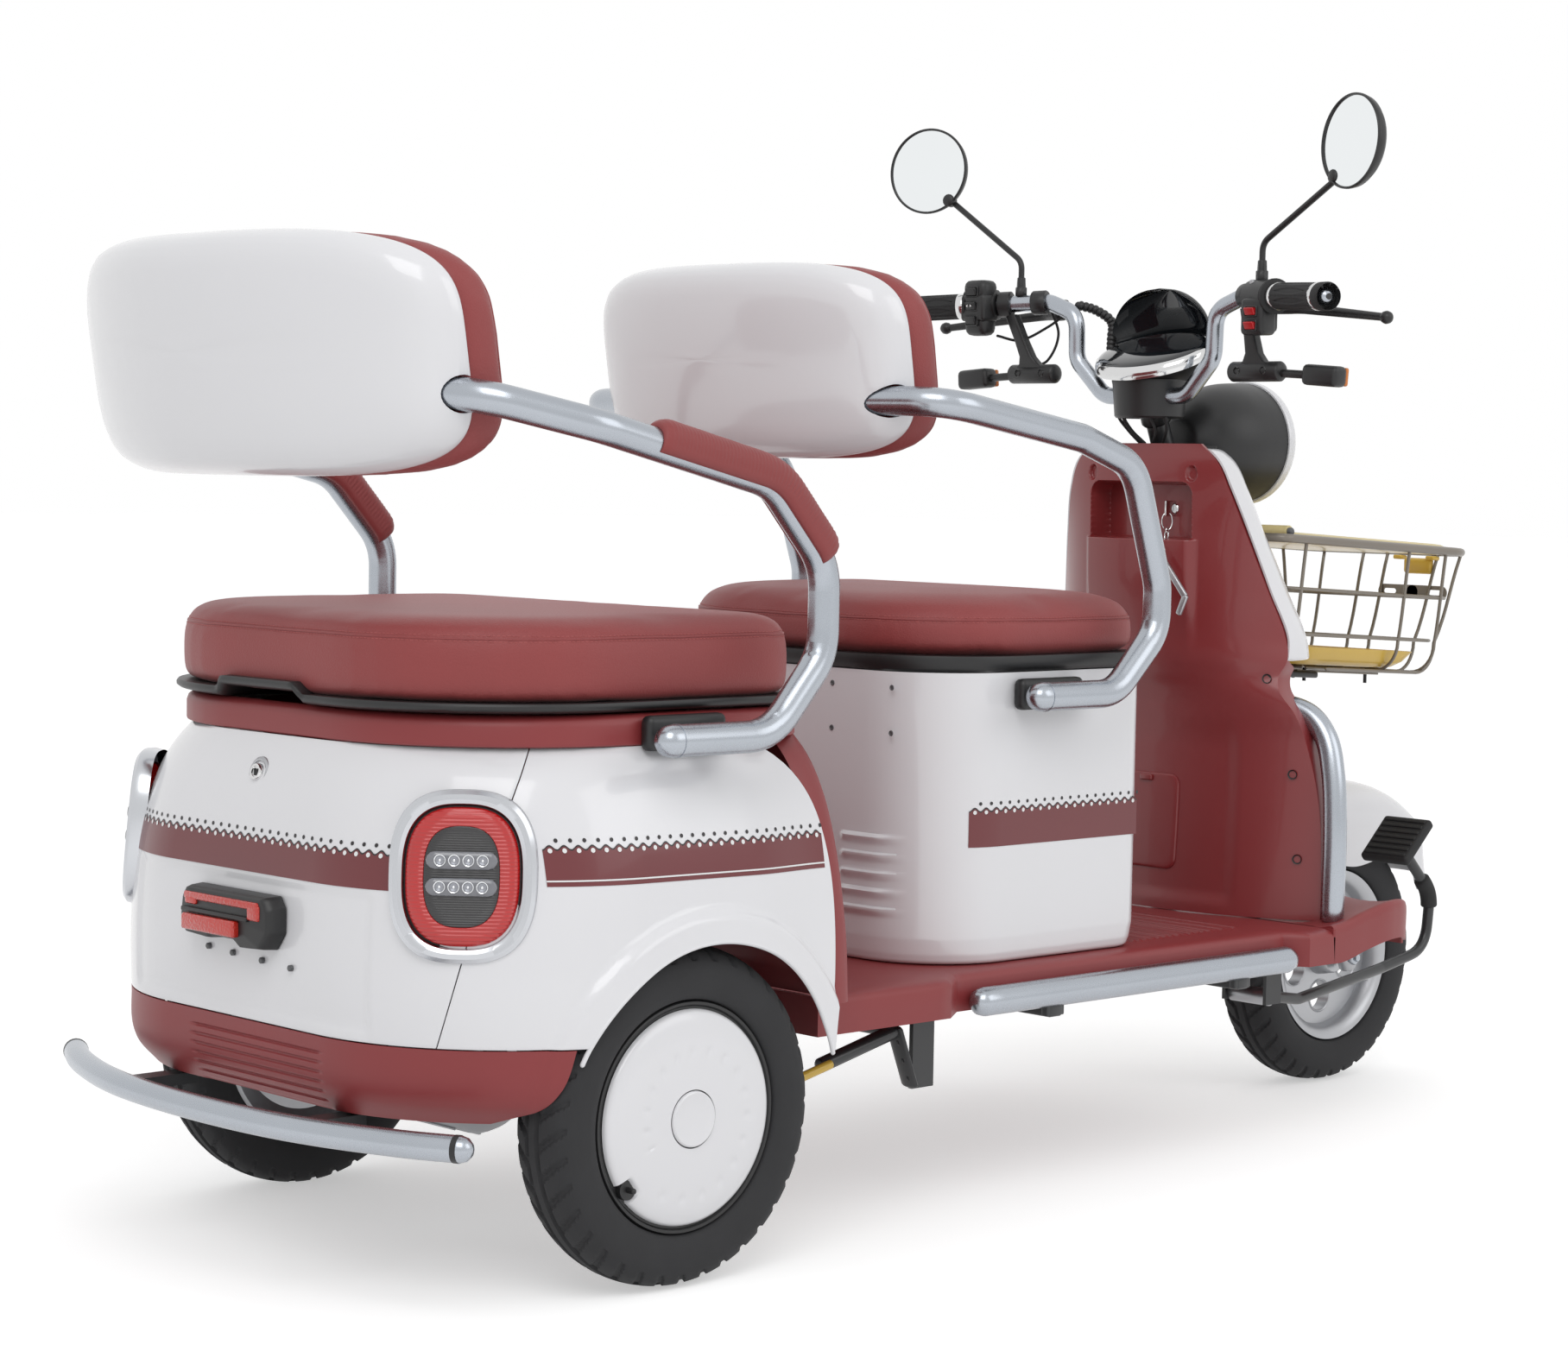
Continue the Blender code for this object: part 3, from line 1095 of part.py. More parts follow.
steering = pivot("steering_pivot", STEER_TOP, [
    "fork", "front_fender", "handlebar", "display", "switch_housing_right", "switch_housing_left",
    "indicator_right", "indicator_left"])
pivot("front_wheel_pivot", front_hub, ["front_tyre", "front_rim"], steering)
pivot("throttle_pivot", bar_point(0.30, -1), ["throttle_grip"], steering)
for side, hand in ((-1, "right"), (1, "left")):
    wheel_pieces = [f"rear_tyre_{hand}", f"rear_rim_{hand}"]
    pivot(f"rear_wheel_pivot_{hand}", (side * HALF_TRACK, 0.0, TYRE_R), wheel_pieces)
    pivot(f"brake_lever_pivot_{hand}", LEVER_ROOT[side], [f"brake_lever_{hand}"], steering)
    pivot(f"mirror_pivot_{hand}", MIRROR_FOOT[side], [f"mirror_{hand}"], steering)
for name in ("start_button", "speed_button", "lamp_button", "turn_button", "horn_button"):
    corners = [Vector(c) for c in bpy.data.objects[name].bound_box]
    pivot(f"{name}_pivot", sum(corners, Vector()) / 8, [name], steering)
pivot("rear_seat_pivot", REAR_SEAT_HINGE, ["rear_seat_pan", "rear_seat_cushion"])
pivot("front_seat_pivot", FRONT_SEAT_HINGE, ["front_seat_pan", "front_seat_cushion"])
pivot("brake_pedal_pivot", PIVOT, ["brake_pedal"])
pivot("ignition_pivot", key_at, ["ignition_key"])
pivot("seat_lock_pivot", LOCK, ["seat_lock"])
pivot("basket_lid_pivot", LID_HINGE, ["basket_lid"])
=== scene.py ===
# %% [markdown]
# # An electric tricycle, piece by piece
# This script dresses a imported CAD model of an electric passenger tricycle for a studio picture.
# The CAD solids say where everything is. Most of what shows is built again here as finer surfaces,
# each one worked out with numpy as a grid of points, because a grid keeps its curves smooth and its
# formula can be read. Lengths are metres. Along Y they are measured from the rear axle, as on the
# real vehicle's drawing, and the whole is moved into the CAD frame in one place.

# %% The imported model
import json
import math

import bmesh
import bpy
import numpy as np
from mathutils import Matrix, Vector

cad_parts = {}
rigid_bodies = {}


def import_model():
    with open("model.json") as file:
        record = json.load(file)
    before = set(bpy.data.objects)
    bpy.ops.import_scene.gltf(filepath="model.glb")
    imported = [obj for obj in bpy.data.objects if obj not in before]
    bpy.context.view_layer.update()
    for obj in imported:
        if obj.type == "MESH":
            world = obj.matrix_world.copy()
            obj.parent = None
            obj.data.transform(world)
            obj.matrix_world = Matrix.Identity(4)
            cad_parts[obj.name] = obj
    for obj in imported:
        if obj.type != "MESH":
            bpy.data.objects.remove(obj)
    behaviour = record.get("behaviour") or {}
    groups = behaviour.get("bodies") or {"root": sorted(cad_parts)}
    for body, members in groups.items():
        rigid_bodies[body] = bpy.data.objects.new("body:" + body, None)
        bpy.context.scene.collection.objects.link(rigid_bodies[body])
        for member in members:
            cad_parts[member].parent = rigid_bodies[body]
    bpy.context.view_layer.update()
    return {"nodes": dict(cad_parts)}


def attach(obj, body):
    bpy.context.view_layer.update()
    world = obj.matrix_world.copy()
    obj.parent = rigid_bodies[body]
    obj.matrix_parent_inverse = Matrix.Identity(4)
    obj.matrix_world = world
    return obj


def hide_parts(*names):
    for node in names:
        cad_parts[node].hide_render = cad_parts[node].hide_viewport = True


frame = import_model()
REAR_AXLE_Y = 0.6471
ORIGIN = np.array([0.0, REAR_AXLE_Y, 0.0])
NODES = frame["nodes"]
SIDES = ((-1, "right"), (1, "left"))
TO_LEFT = (1, 0, 0)
TO_REAR = (0, 1, 0)
UPWARD = (0, 0, 1)
print("CAD nodes:", len(NODES))

# %% [markdown]
# ## Camera
# The photograph was taken from behind the right rear wheel, at about the height of the seats, with a
# long lens. Its place and turn were solved from the wheels, the bar ends and the seats, and are kept
# here as four plain measures: a point, a heading, a pitch and a slight roll.

# %% Camera
CAMERA_AT = Vector((-2.8697, 2.2571 + REAR_AXLE_Y, 0.8344))
CAMERA_HEADING = math.radians(46.576)
CAMERA_PITCH = math.radians(-3.513)
CAMERA_ROLL = math.radians(1.024)
CAMERA_LENS = 77.29


def place_camera():
    """Turns the camera so that it looks along its heading, then rolls it about its own line of sight."""
    look = Vector((math.sin(CAMERA_HEADING) * math.cos(CAMERA_PITCH),
                   -math.cos(CAMERA_HEADING) * math.cos(CAMERA_PITCH), math.sin(CAMERA_PITCH)))
    right = look.cross(Vector(UPWARD)).normalized()
    up = right.cross(look)
    rolled_right = right * math.cos(CAMERA_ROLL) + up * math.sin(CAMERA_ROLL)
    rolled_up = up * math.cos(CAMERA_ROLL) - right * math.sin(CAMERA_ROLL)
    camera = bpy.data.objects.new("camera", bpy.data.cameras.new("camera"))
    camera.data.sensor_width = 36
    camera.data.sensor_fit = "HORIZONTAL"
    camera.data.lens = CAMERA_LENS
    turn = Matrix((rolled_right, rolled_up, -look)).transposed().to_4x4()
    camera.matrix_world = Matrix.Translation(CAMERA_AT) @ turn
    bpy.context.scene.collection.objects.link(camera)
    bpy.context.scene.camera = camera


place_camera()
bpy.context.scene.view_settings.view_transform = "Standard"
print("camera stands", round(CAMERA_AT.length, 2), "m from the middle of the floor")

# %% [markdown]
# ## Surfaces from numbers
# Every new piece is one or more grids of points. A grid has rows and columns, and either may close on
# itself, as the rows of a ring do. A few helpers make the grids: a line that flows through given
# points, a section carried along a line, a profile turned about an axis, and a stack of plan rings.

# %% Numbers that flow
def ease(t):
    """0 below 0, 1 above 1, and the smooth step 3t^2 - 2t^3 between."""
    t = np.clip(t, 0.0, 1.0)
    return t * t * (3 - 2 * t)


def flowing(at, knots, values):
    """A cubic through the knots: between two knots, the Hermite blend of both values and both slopes.

    The slope at a knot is the mean of the two chords that meet there.
    """
    knots = np.asarray(knots, float)
    values = np.asarray(values, float)
    at = np.clip(np.asarray(at, float), knots[0], knots[-1])
    step = np.diff(knots)
    chord = np.diff(values, axis=0) / step.reshape(-1, *[1] * (values.ndim - 1))
    slope = np.concatenate([chord[:1], (chord[:-1] + chord[1:]) / 2, chord[-1:]])
    i = np.clip(np.searchsorted(knots, at, side="right") - 1, 0, len(knots) - 2)
    h = step[i]
    t = (at - knots[i]) / h
    if values.ndim > 1:
        h = h[..., None]
        t = t[..., None]
    start = (1 + 2 * t) * (1 - t) ** 2 * values[i] + t * (1 - t) ** 2 * h * slope[i]
    return start + t * t * (3 - 2 * t) * values[i + 1] + t * t * (t - 1) * h * slope[i + 1]


def read_off(table, at, column=1):
    """A column of a table as a smooth line, read off at a value of the table's first column."""
    return flowing(at, table[:, 0], table[:, column])


def within(value, low, high, edge):
    """1 between low and high and 0 outside, with a smooth step of the given width inside each end."""
    return ease((value - low) / edge) * ease((high - value) / edge)


def squarer(wave, power):
    """A sine or cosine with its size raised to a power. Below one, the power makes an oval squarer."""
    return np.sign(wave) * np.abs(wave) ** power


def around(count):
    """So many angles, evenly spaced once round."""
    return np.linspace(0, 2 * np.pi, count, endpoint=False)


def way_along(points):
    """The distance from a line's first point to each of its points, as the sum of the steps between."""
    return np.concatenate([[0], np.cumsum(np.linalg.norm(np.diff(points, axis=0), axis=1))])


def points_at(path, way):
    """The points of a line at the given distances along it."""
    far = way_along(path)
    return np.stack([np.interp(way, far, path[:, k]) for k in range(3)], -1)


def looped(ring):
    """A ring of points with its first point again at the end."""
    return np.concatenate([ring, ring[:1]])


def through(points, count):
    """A smooth line of count points through the given ones, evenly spaced by their straight distances."""
    points = np.asarray(points, float)
    far = way_along(points)
    return flowing(np.linspace(0, far[-1], count), far, points)


def bend(points, radius, steps=7):
    """Straight runs joined by arcs: each corner is replaced by the parabola that touches both runs."""
    points = [np.asarray(p, float) for p in points]
    path = [points[0]]
    for before, corner, after in zip(points, points[1:], points[2:]):
        run_in = np.linalg.norm(before - corner)
        run_out = np.linalg.norm(after - corner)
        a = (before - corner) / run_in
        b = (after - corner) / run_out
        half = math.acos(np.clip(a @ b, -1, 1)) / 2
        reach = min(radius / math.tan(half), 0.49 * min(run_in, run_out))
        t = np.linspace(0, 1, steps)[:, None]
        start = (corner + a * reach) * (1 - t) ** 2
        path.extend(start + corner * 2 * t * (1 - t) + (corner + b * reach) * t * t)
    path.append(points[-1])
    path = np.array(path)
    keep = np.concatenate([[True], np.linalg.norm(np.diff(path, axis=0), axis=1) > 1e-5])
    return path[keep]


def mirrored(path):
    """The right half of a line and its mirror image, joined on the middle plane."""
    path = np.asarray(path, float)
    return np.concatenate([path, path[::-1][1:] * [-1, 1, 1]])


# %% [markdown]
# These helpers give the shapes that most parts of a vehicle are made of: a bent tube, a turned profile,
# a rounded plate and a soft-edged block. Blender has ready shapes for some of them, but a grid of
# points lets every one follow the same rules for its ends, its material and its UV map.

# %% Grids of points
def grid(points, rows_close=False, columns_close=False, paint=0, caps=""):
    """One surface: points by row and column, what closes on itself, its material's number and filled ends.

    A filled end adds a row whose points all lie at the middle of the first or last row.
    """
    points = np.asarray(points, float)
    if "first" in caps:
        middle = np.broadcast_to(points[:1].mean(1, keepdims=True), points[:1].shape)
        points = np.concatenate([middle, points])
    if "last" in caps:
        middle = np.broadcast_to(points[-1:].mean(1, keepdims=True), points[:1].shape)
        points = np.concatenate([points, middle])
    return {"points": points, "rows": rows_close, "columns": columns_close, "paint": paint}


def frames_along(path):
    """The way of each step of the path, and two directions square to it that turn as little as they can."""
    tangent = np.gradient(path, axis=0)
    tangent /= np.linalg.norm(tangent, axis=1)[:, None]
    start = np.array([0, 0, 1.0]) if abs(tangent[0, 2]) < 0.8 else np.array([1.0, 0, 0])
    sides = []
    for direction in tangent:
        start = start - direction * (start @ direction)
        start = start / np.linalg.norm(start)
        sides.append(start)
    across = np.array(sides)
    return tangent, across, np.cross(tangent, across)


def tube(path, radius, sides=16, ends="round", paint=0, closed=False, wide=1.0):
    """A round bar: at each step of the path, a circle of the radius, its second axis stretched by wide.

    A round end adds three smaller circles that follow a quarter circle past the last point.
    """
    path = np.asarray(path, float)
    radius = np.broadcast_to(np.asarray(radius, float), len(path)).copy()
    if closed:
        path = np.concatenate([path, path[:1]])
        radius = np.concatenate([radius, radius[:1]])
    tangent, across, second = frames_along(path)
    if ends in ("round", "soft") and not closed:
        reach = 1.0 if ends == "round" else 0.35
        quarter = np.radians([30, 60, 84])
        head = path[0] - tangent[0] * (radius[0] * reach * np.sin(quarter))[::-1, None]
        tail = path[-1] + tangent[-1] * (radius[-1] * reach * np.sin(quarter))[:, None]
        path = np.concatenate([head, path, tail])
        radius = np.concatenate([radius[0] * np.cos(quarter)[::-1], radius, radius[-1] * np.cos(quarter)])
        across = np.concatenate([np.repeat(across[:1], 3, 0), across, np.repeat(across[-1:], 3, 0)])
        second = np.concatenate([np.repeat(second[:1], 3, 0), second, np.repeat(second[-1:], 3, 0)])
    a = around(sides)
    ring = np.cos(a)[None, :, None] * across[:, None] + np.sin(a)[None, :, None] * second[:, None] * wide
    points = path[:, None] + ring * radius[:, None, None]
    if closed:
        return grid(points[:-1], rows_close=True, columns_close=True, paint=paint)
    return grid(points, columns_close=True, paint=paint, caps="" if ends == "open" else "first last")


def square_to(axis):
    """The axis as a direction, and two directions square to it and to each other."""
    axis = np.asarray(axis, float) / np.linalg.norm(axis)
    helper = np.array([0, 0, 1.0]) if abs(axis[2]) < 0.9 else np.array([0, 1.0, 0])
    first = np.cross(axis, helper)
    first /= np.linalg.norm(first)
    return axis, first, np.cross(first, axis)


def turned(profile, centre, axis, steps=48, paint=0):
    """A profile of (way along the axis, radius) turned once round the axis through the centre."""
    profile = np.asarray(profile, float)
    axis, first, up = square_to(axis)
    a = around(steps)
    round_it = np.sin(a)[:, None] * first + np.cos(a)[:, None] * up
    along = profile[:, 0][:, None, None]
    radius = profile[:, 1][:, None, None]
    return grid(np.asarray(centre) + along * axis + radius * round_it, columns_close=True, paint=paint)


def plan_ring(half_width, front, rear, r_front, r_rear, z, corner_steps=10, run_steps=8):
    """A rectangle with round corners, seen from above, at height z. It starts at the left rear corner."""
    corners = ((half_width - r_rear, rear - r_rear, r_rear, 0),
               (r_rear - half_width, rear - r_rear, r_rear, 90),
               (r_front - half_width, front + r_front, r_front, 180),
               (half_width - r_front, front + r_front, r_front, 270))
    arcs = []
    for x, y, radius, start in corners:
        a = np.radians(start + 90 * np.linspace(0, 1, corner_steps + 1))
        arcs.append(np.stack([x + radius * np.cos(a), y + radius * np.sin(a)], -1))
    t = np.arange(1, run_steps)[:, None] / run_steps
    runs = [arc[-1] * (1 - t) + after[0] * t for arc, after in zip(arcs, arcs[1:] + arcs[:1])]
    flat = np.concatenate([part for pair in zip(arcs, runs) for part in pair])
    return np.column_stack([flat, np.full(len(flat), z)])


def soft_box(centre, size, edge, turn=None, paint=0):
    """A block with rounded edges: plan rings that draw in along a quarter circle at its foot and its head."""
    half = np.asarray(size, float) / 2
    edge = min(edge, 0.95 * half.min())
    quarter = np.linspace(0, np.pi / 2, 4)
    inset = np.concatenate([edge * (1 - np.sin(quarter)), (edge * (1 - np.cos(quarter)))])
    height = np.concatenate([-half[2] + edge * (1 - np.cos(quarter)), half[2] - edge * (1 - np.sin(quarter))])
    rings = []
    for d, z in zip(inset, height):
        corner = max(edge - d, 0.25 * edge)
        rings.append(plan_ring(half[0] - d, -half[1] + d, half[1] - d, corner, corner, z, 3, 2))
    points = np.array(rings)
    if turn is not None:
        points = points @ np.array(turn).T
    return grid(points + np.asarray(centre), columns_close=True, paint=paint, caps="first last")


def turn_about(axis, degrees):
    """The matrix that turns a point about one of the three axes."""
    return np.array(Matrix.Rotation(math.radians(degrees), 3, axis))


# %% [markdown]
# A piece is one mesh made of several grids. It could be built with many small objects that are joined
# later, but one mesh per piece keeps each name next to its finishes, its body and the CAD solid it
# stands for. Thickness, cuts and bevels are modifiers that are applied at once.

# %% From grids to pieces
def faces_of(surface):
    """The quads between neighbouring points of a grid."""
    rows, columns = surface["points"].shape[:2]
    r = np.arange(rows if surface["rows"] else rows - 1)[:, None]
    c = np.arange(columns if surface["columns"] else columns - 1)[None, :]
    r_next = (r + 1) % rows
    c_next = (c + 1) % columns
    quads = [r * columns + c, r * columns + c_next, r_next * columns + c_next, r_next * columns + c]
    return np.stack(np.broadcast_arrays(*quads), -1).reshape(-1, 4)


def mesh_of(name, surfaces):
    """One mesh from all the grids, with a UV map that runs 0 to 1 along rows and columns."""
    vertices = []
    faces = []
    paints = []
    uv = []
    start = 0
    for surface in surfaces:
        points = surface["points"]
        rows, columns = points.shape[:2]
        quads = faces_of(surface)
        vertices.append(points.reshape(-1, 3))
        faces.append(quads + start)
        paints.append(np.full(len(quads), surface["paint"]))
        u = (quads % columns) / max(columns - 1, 1)
        v = (quads // columns) / max(rows - 1, 1)
        uv.append(np.stack([u, v], -1).reshape(-1, 2))
        start += rows * columns
    mesh = bpy.data.meshes.new(name)
    mesh.from_pydata((np.concatenate(vertices) + ORIGIN).tolist(), [], np.concatenate(faces).tolist())
    mesh.polygons.foreach_set("material_index", np.concatenate(paints).astype(np.int32))
    layer = mesh.uv_layers.new(name="surface")
    layer.data.foreach_set("uv", np.concatenate(uv).astype(np.float32).ravel())
    return mesh


def tidy_mesh(mesh):
    """Merges points that coincide, drops faces without area and turns the faces outwards."""
    bm = bmesh.new()
    bm.from_mesh(mesh)
    bmesh.ops.remove_doubles(bm, verts=bm.verts, dist=2e-6)
    bmesh.ops.dissolve_degenerate(bm, edges=bm.edges, dist=1e-7)
    bmesh.ops.recalc_face_normals(bm, faces=bm.faces)
    bm.to_mesh(mesh)
    bm.free()


def bake(obj):
    """Applies the modifiers by reading the evaluated mesh back."""
    bpy.context.view_layer.update()
    graph = bpy.context.evaluated_depsgraph_get()
    solid = bpy.data.meshes.new_from_object(obj.evaluated_get(graph))
    obj.modifiers.clear()
    obj.data = solid


made_pieces = []


def settle(obj, body, finishes, replaces=(), sharp=32):
    """Bakes the piece's modifiers into its mesh, smooths it, and hands it to the frame."""
    if obj.modifiers:
        bake(obj)
    for material in finishes:
        obj.data.materials.append(material)
    obj.data.shade_smooth()
    obj.data.set_sharp_from_angle(angle=math.radians(sharp))
    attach(obj, body)
    if replaces:
        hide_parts(*replaces)
    made_pieces.append(obj.name)
    return obj


def piece(name, surfaces, body, finishes, replaces=(), wall=0.0, outward=UPWARD, bevel=0.0, sharp=32, cut=()):
    """A finished piece. With a wall, the grids are an open skin that is thickened inwards, before any cut."""
    if isinstance(surfaces, dict):
        surfaces = [surfaces]
    mesh = mesh_of(name, surfaces)
    tidy_mesh(mesh)
    obj = bpy.data.objects.new(name, mesh)
    bpy.context.scene.collection.objects.link(obj)
    if wall:
        normals = np.empty(len(mesh.polygons) * 3, np.float32)
        areas = np.empty(len(mesh.polygons), np.float32)
        mesh.polygons.foreach_get("normal", normals)
        mesh.polygons.foreach_get("area", areas)
        faced = (normals.reshape(-1, 3) * areas[:, None]).sum(0) @ np.array(outward, float)
        solid = obj.modifiers.new("wall", "SOLIDIFY")
        solid.thickness = wall
        solid.offset = -1.0 if faced > 0 else 1.0
    if cut:
        bake(obj)
    for cutter in cut:
        carve(obj, cutter)
    if bevel:
        edge = obj.modifiers.new("edge", "BEVEL")
        edge.width = bevel
        edge.segments = 2
        edge.limit_method = "ANGLE"
        edge.angle_limit = math.radians(50)
    return settle(obj, body, finishes, replaces, sharp)


def carve(obj, surfaces):
    """Cuts the closed grids out of the piece, and removes the cutter."""
    mesh = mesh_of("cutter", surfaces if isinstance(surfaces, list) else [surfaces])
    tidy_mesh(mesh)
    cutter = bpy.data.objects.new("cutter", mesh)
    bpy.context.scene.collection.objects.link(cutter)
    cut = obj.modifiers.new("cut", "BOOLEAN")
    cut.object = cutter
    cut.operation = "DIFFERENCE"
    cut.solver = "EXACT"
    bake(obj)
    bpy.data.objects.remove(cutter, do_unlink=True)


def repaint(node, material):
    """Gives a CAD solid that keeps its own shape a finish."""
    NODES[node].data.materials.clear()
    NODES[node].data.materials.append(material)


print("helpers ready")

# %% [markdown]
# ## Finishes
# A painted or moulded surface is never one flat colour: it has a broad, faint mottle, and a fine grain
# that breaks up its reflections. One shared group of shader nodes gives both, from Object coordinates,
# so the grain has its real size on every piece. Each finish then sets its own colour, gloss and depth
# of grain, and those with a pattern of their own, such as leather or a ribbed lens, add it on top.

# %% Shader helpers
def colour_of(red, green, blue):
    """A screen colour from 0 to 255 as the linear values that a shader takes."""
    c = np.array([red, green, blue]) / 255.0
    return tuple(np.where(c <= 0.04045, c / 12.92, ((c + 0.055) / 1.055) ** 2.4))


def new_node(tree, kind, **settings):
    """A shader node with its settings."""
    made = tree.nodes.new(kind)
    for key, value in settings.items():
        setattr(made, key, value)
    return made


def wired(tree, node, socket, source):
    """Sets an input to a value, or links it to another node's output."""
    if isinstance(source, bpy.types.NodeSocket):
        tree.links.new(source, node.inputs[socket])
    else:
        node.inputs[socket].default_value = source


def sums(tree, operation, first, second):
    """One Math node: its result of the two values."""
    made = new_node(tree, "ShaderNodeMath", operation=operation)
    wired(tree, made, 0, first)
    wired(tree, made, 1, second)
    return made.outputs[0]


def shader_of(made):
    """The node that turns a material's values into a look."""
    return made.node_tree.nodes["Principled BSDF"]


def grain_group():
    """Broad and fine noise from a position, and the normal that the fine noise gives."""
    group = bpy.data.node_groups.new("surface_grain", "ShaderNodeTree")
    face = group.interface
    face.new_socket("Position", in_out="INPUT", socket_type="NodeSocketVector")
    for name in ("Broad Scale", "Fine Scale", "Depth"):
        face.new_socket(name, in_out="INPUT", socket_type="NodeSocketFloat")
    face.new_socket("Broad", in_out="OUTPUT", socket_type="NodeSocketFloat")
    face.new_socket("Fine", in_out="OUTPUT", socket_type="NodeSocketFloat")
    face.new_socket("Normal", in_out="OUTPUT", socket_type="NodeSocketVector")
    taken = new_node(group, "NodeGroupInput")
    given = new_node(group, "NodeGroupOutput")
    broad = new_node(group, "ShaderNodeTexNoise")
    fine = new_node(group, "ShaderNodeTexNoise")
    for noise, scale, detail in ((broad, "Broad Scale", 3.0), (fine, "Fine Scale", 2.0)):
        wired(group, noise, "Vector", taken.outputs["Position"])
        wired(group, noise, "Scale", taken.outputs[scale])
        wired(group, noise, "Detail", detail)
    bump = new_node(group, "ShaderNodeBump")
    wired(group, bump, "Strength", 1.0)
    wired(group, bump, "Distance", taken.outputs["Depth"])
    wired(group, bump, "Height", fine.outputs["Fac"])
    wired(group, given, "Broad", broad.outputs["Fac"])
    wired(group, given, "Fine", fine.outputs["Fac"])
    wired(group, given, "Normal", bump.outputs["Normal"])
    return group


GRAIN = grain_group()


def finish(name, colour, roughness, metallic=0.0, broad=8.0, mottle=0.05, fine=1400.0, depth=0.00002,
           gloss_spread=0.04, coat=0.0, sheen=0.0):
    """A finish with the shared grain. Mottle is how far the colour strays, depth the grain's height."""
    made = bpy.data.materials.new(name)
    made.use_nodes = True
    tree = made.node_tree
    shader = shader_of(made)
    place = new_node(tree, "ShaderNodeTexCoord")
    grain = new_node(tree, "ShaderNodeGroup", node_tree=GRAIN)
    wired(tree, grain, "Position", place.outputs["Object"])
    wired(tree, grain, "Broad Scale", broad)
    wired(tree, grain, "Fine Scale", fine)
    wired(tree, grain, "Depth", depth)
    mixed = new_node(tree, "ShaderNodeMix", data_type="RGBA")
    wired(tree, mixed, "Factor", grain.outputs["Broad"])
    wired(tree, mixed, 6, (*[c * (1 - mottle) for c in colour], 1))
    wired(tree, mixed, 7, (*[min(1, c * (1 + mottle)) for c in colour], 1))
    tree.links.new(mixed.outputs[2], shader.inputs["Base Color"])
    spread = new_node(tree, "ShaderNodeMapRange")
    wired(tree, spread, "Value", grain.outputs["Fine"])
    wired(tree, spread, "To Min", max(0.02, roughness - gloss_spread))
    wired(tree, spread, "To Max", min(1.0, roughness + gloss_spread))
    tree.links.new(spread.outputs[0], shader.inputs["Roughness"])
    tree.links.new(grain.outputs["Normal"], shader.inputs["Normal"])
    shader.inputs["Metallic"].default_value = metallic
    shader.inputs["Coat Weight"].default_value = coat
    shader.inputs["Coat Roughness"].default_value = 0.06
    shader.inputs["Sheen Weight"].default_value = sheen
    return made


def relief(made, height, depth):
    """Adds a pattern of heights over a finish's own grain. Depth is the pattern's height in metres."""
    tree = made.node_tree
    shader = shader_of(made)
    bump = new_node(tree, "ShaderNodeBump")
    wired(tree, bump, "Strength", 1.0)
    wired(tree, bump, "Distance", depth)
    wired(tree, bump, "Height", height)
    old = shader.inputs["Normal"].links[0].from_socket
    tree.links.new(old, bump.inputs["Normal"])
    tree.links.new(bump.outputs["Normal"], shader.inputs["Normal"])
    return made


def object_place(made):
    """The position that a finish's own patterns read."""
    return next(n for n in made.node_tree.nodes if n.bl_idname == "ShaderNodeTexCoord").outputs["Object"]


# %% [markdown]
# The body is white lacquer and brick red plastic, and the rest is black plastic, rubber, satin steel
# and cast alloy. Each finish is one call with its colour, its gloss and its grain, so that two finishes
# can be compared at a glance.

# %% Lacquer, plastic, rubber and metal
white = finish("white_lacquer", colour_of(232, 232, 235), 0.20, mottle=0.012, fine=260, depth=0.000006,
               gloss_spread=0.03, coat=0.5)
brick = finish("brick_plastic", colour_of(138, 52, 54), 0.42, mottle=0.05, fine=2600, depth=0.00005,
               gloss_spread=0.06)
brick_smooth = finish("brick_lacquer", colour_of(136, 48, 50), 0.32, mottle=0.04, fine=900, depth=0.00001,
                      coat=0.25)
black = finish("black_plastic", colour_of(30, 30, 31), 0.42, mottle=0.12, fine=2200, depth=0.00004)
black_gloss = finish("black_gloss", colour_of(18, 18, 19), 0.12, mottle=0.08, fine=400, depth=0.000004,
                     coat=0.6)
rubber = finish("rubber", colour_of(34, 34, 35), 0.72, mottle=0.14, fine=1500, depth=0.00006)
tyre_rubber = finish("tyre_rubber", colour_of(40, 40, 42), 0.78, broad=22, mottle=0.22, fine=1200,
                     depth=0.00008)
frame_paint = finish("frame_paint", colour_of(40, 41, 43), 0.38, mottle=0.15, fine=700, depth=0.00003,
                     coat=0.2)
steel = finish("satin_steel", colour_of(172, 177, 184), 0.27, metallic=1.0, mottle=0.05, fine=900,
               depth=0.000006, gloss_spread=0.07)
bright = finish("bright_metal", colour_of(214, 214, 214), 0.12, metallic=1.0, mottle=0.03, fine=500,
                depth=0.000004)
alloy = finish("cast_alloy", colour_of(176, 177, 180), 0.38, metallic=0.9, mottle=0.08, fine=1700,
               depth=0.00003)
wire_paint = finish("wire_paint", colour_of(128, 120, 110), 0.36, metallic=0.25, mottle=0.10, fine=900,
                    depth=0.00002, coat=0.2)
yellow = finish("yellow_tray", colour_of(222, 184, 74), 0.36, mottle=0.07, fine=700, depth=0.00002, coat=0.2)
pale_yellow = finish("pale_yellow_lid", colour_of(226, 208, 150), 0.34, mottle=0.05, fine=700,
                     depth=0.00002, coat=0.2)
copper = finish("dark_copper", colour_of(128, 84, 64), 0.36, metallic=0.8, mottle=0.12)
maroon = finish("maroon_film", colour_of(112, 44, 48), 0.30, mottle=0.06, fine=500, depth=0.000004, coat=0.2)
ink = finish("black_film", colour_of(38, 34, 36), 0.32, mottle=0.08, fine=500, depth=0.000004)
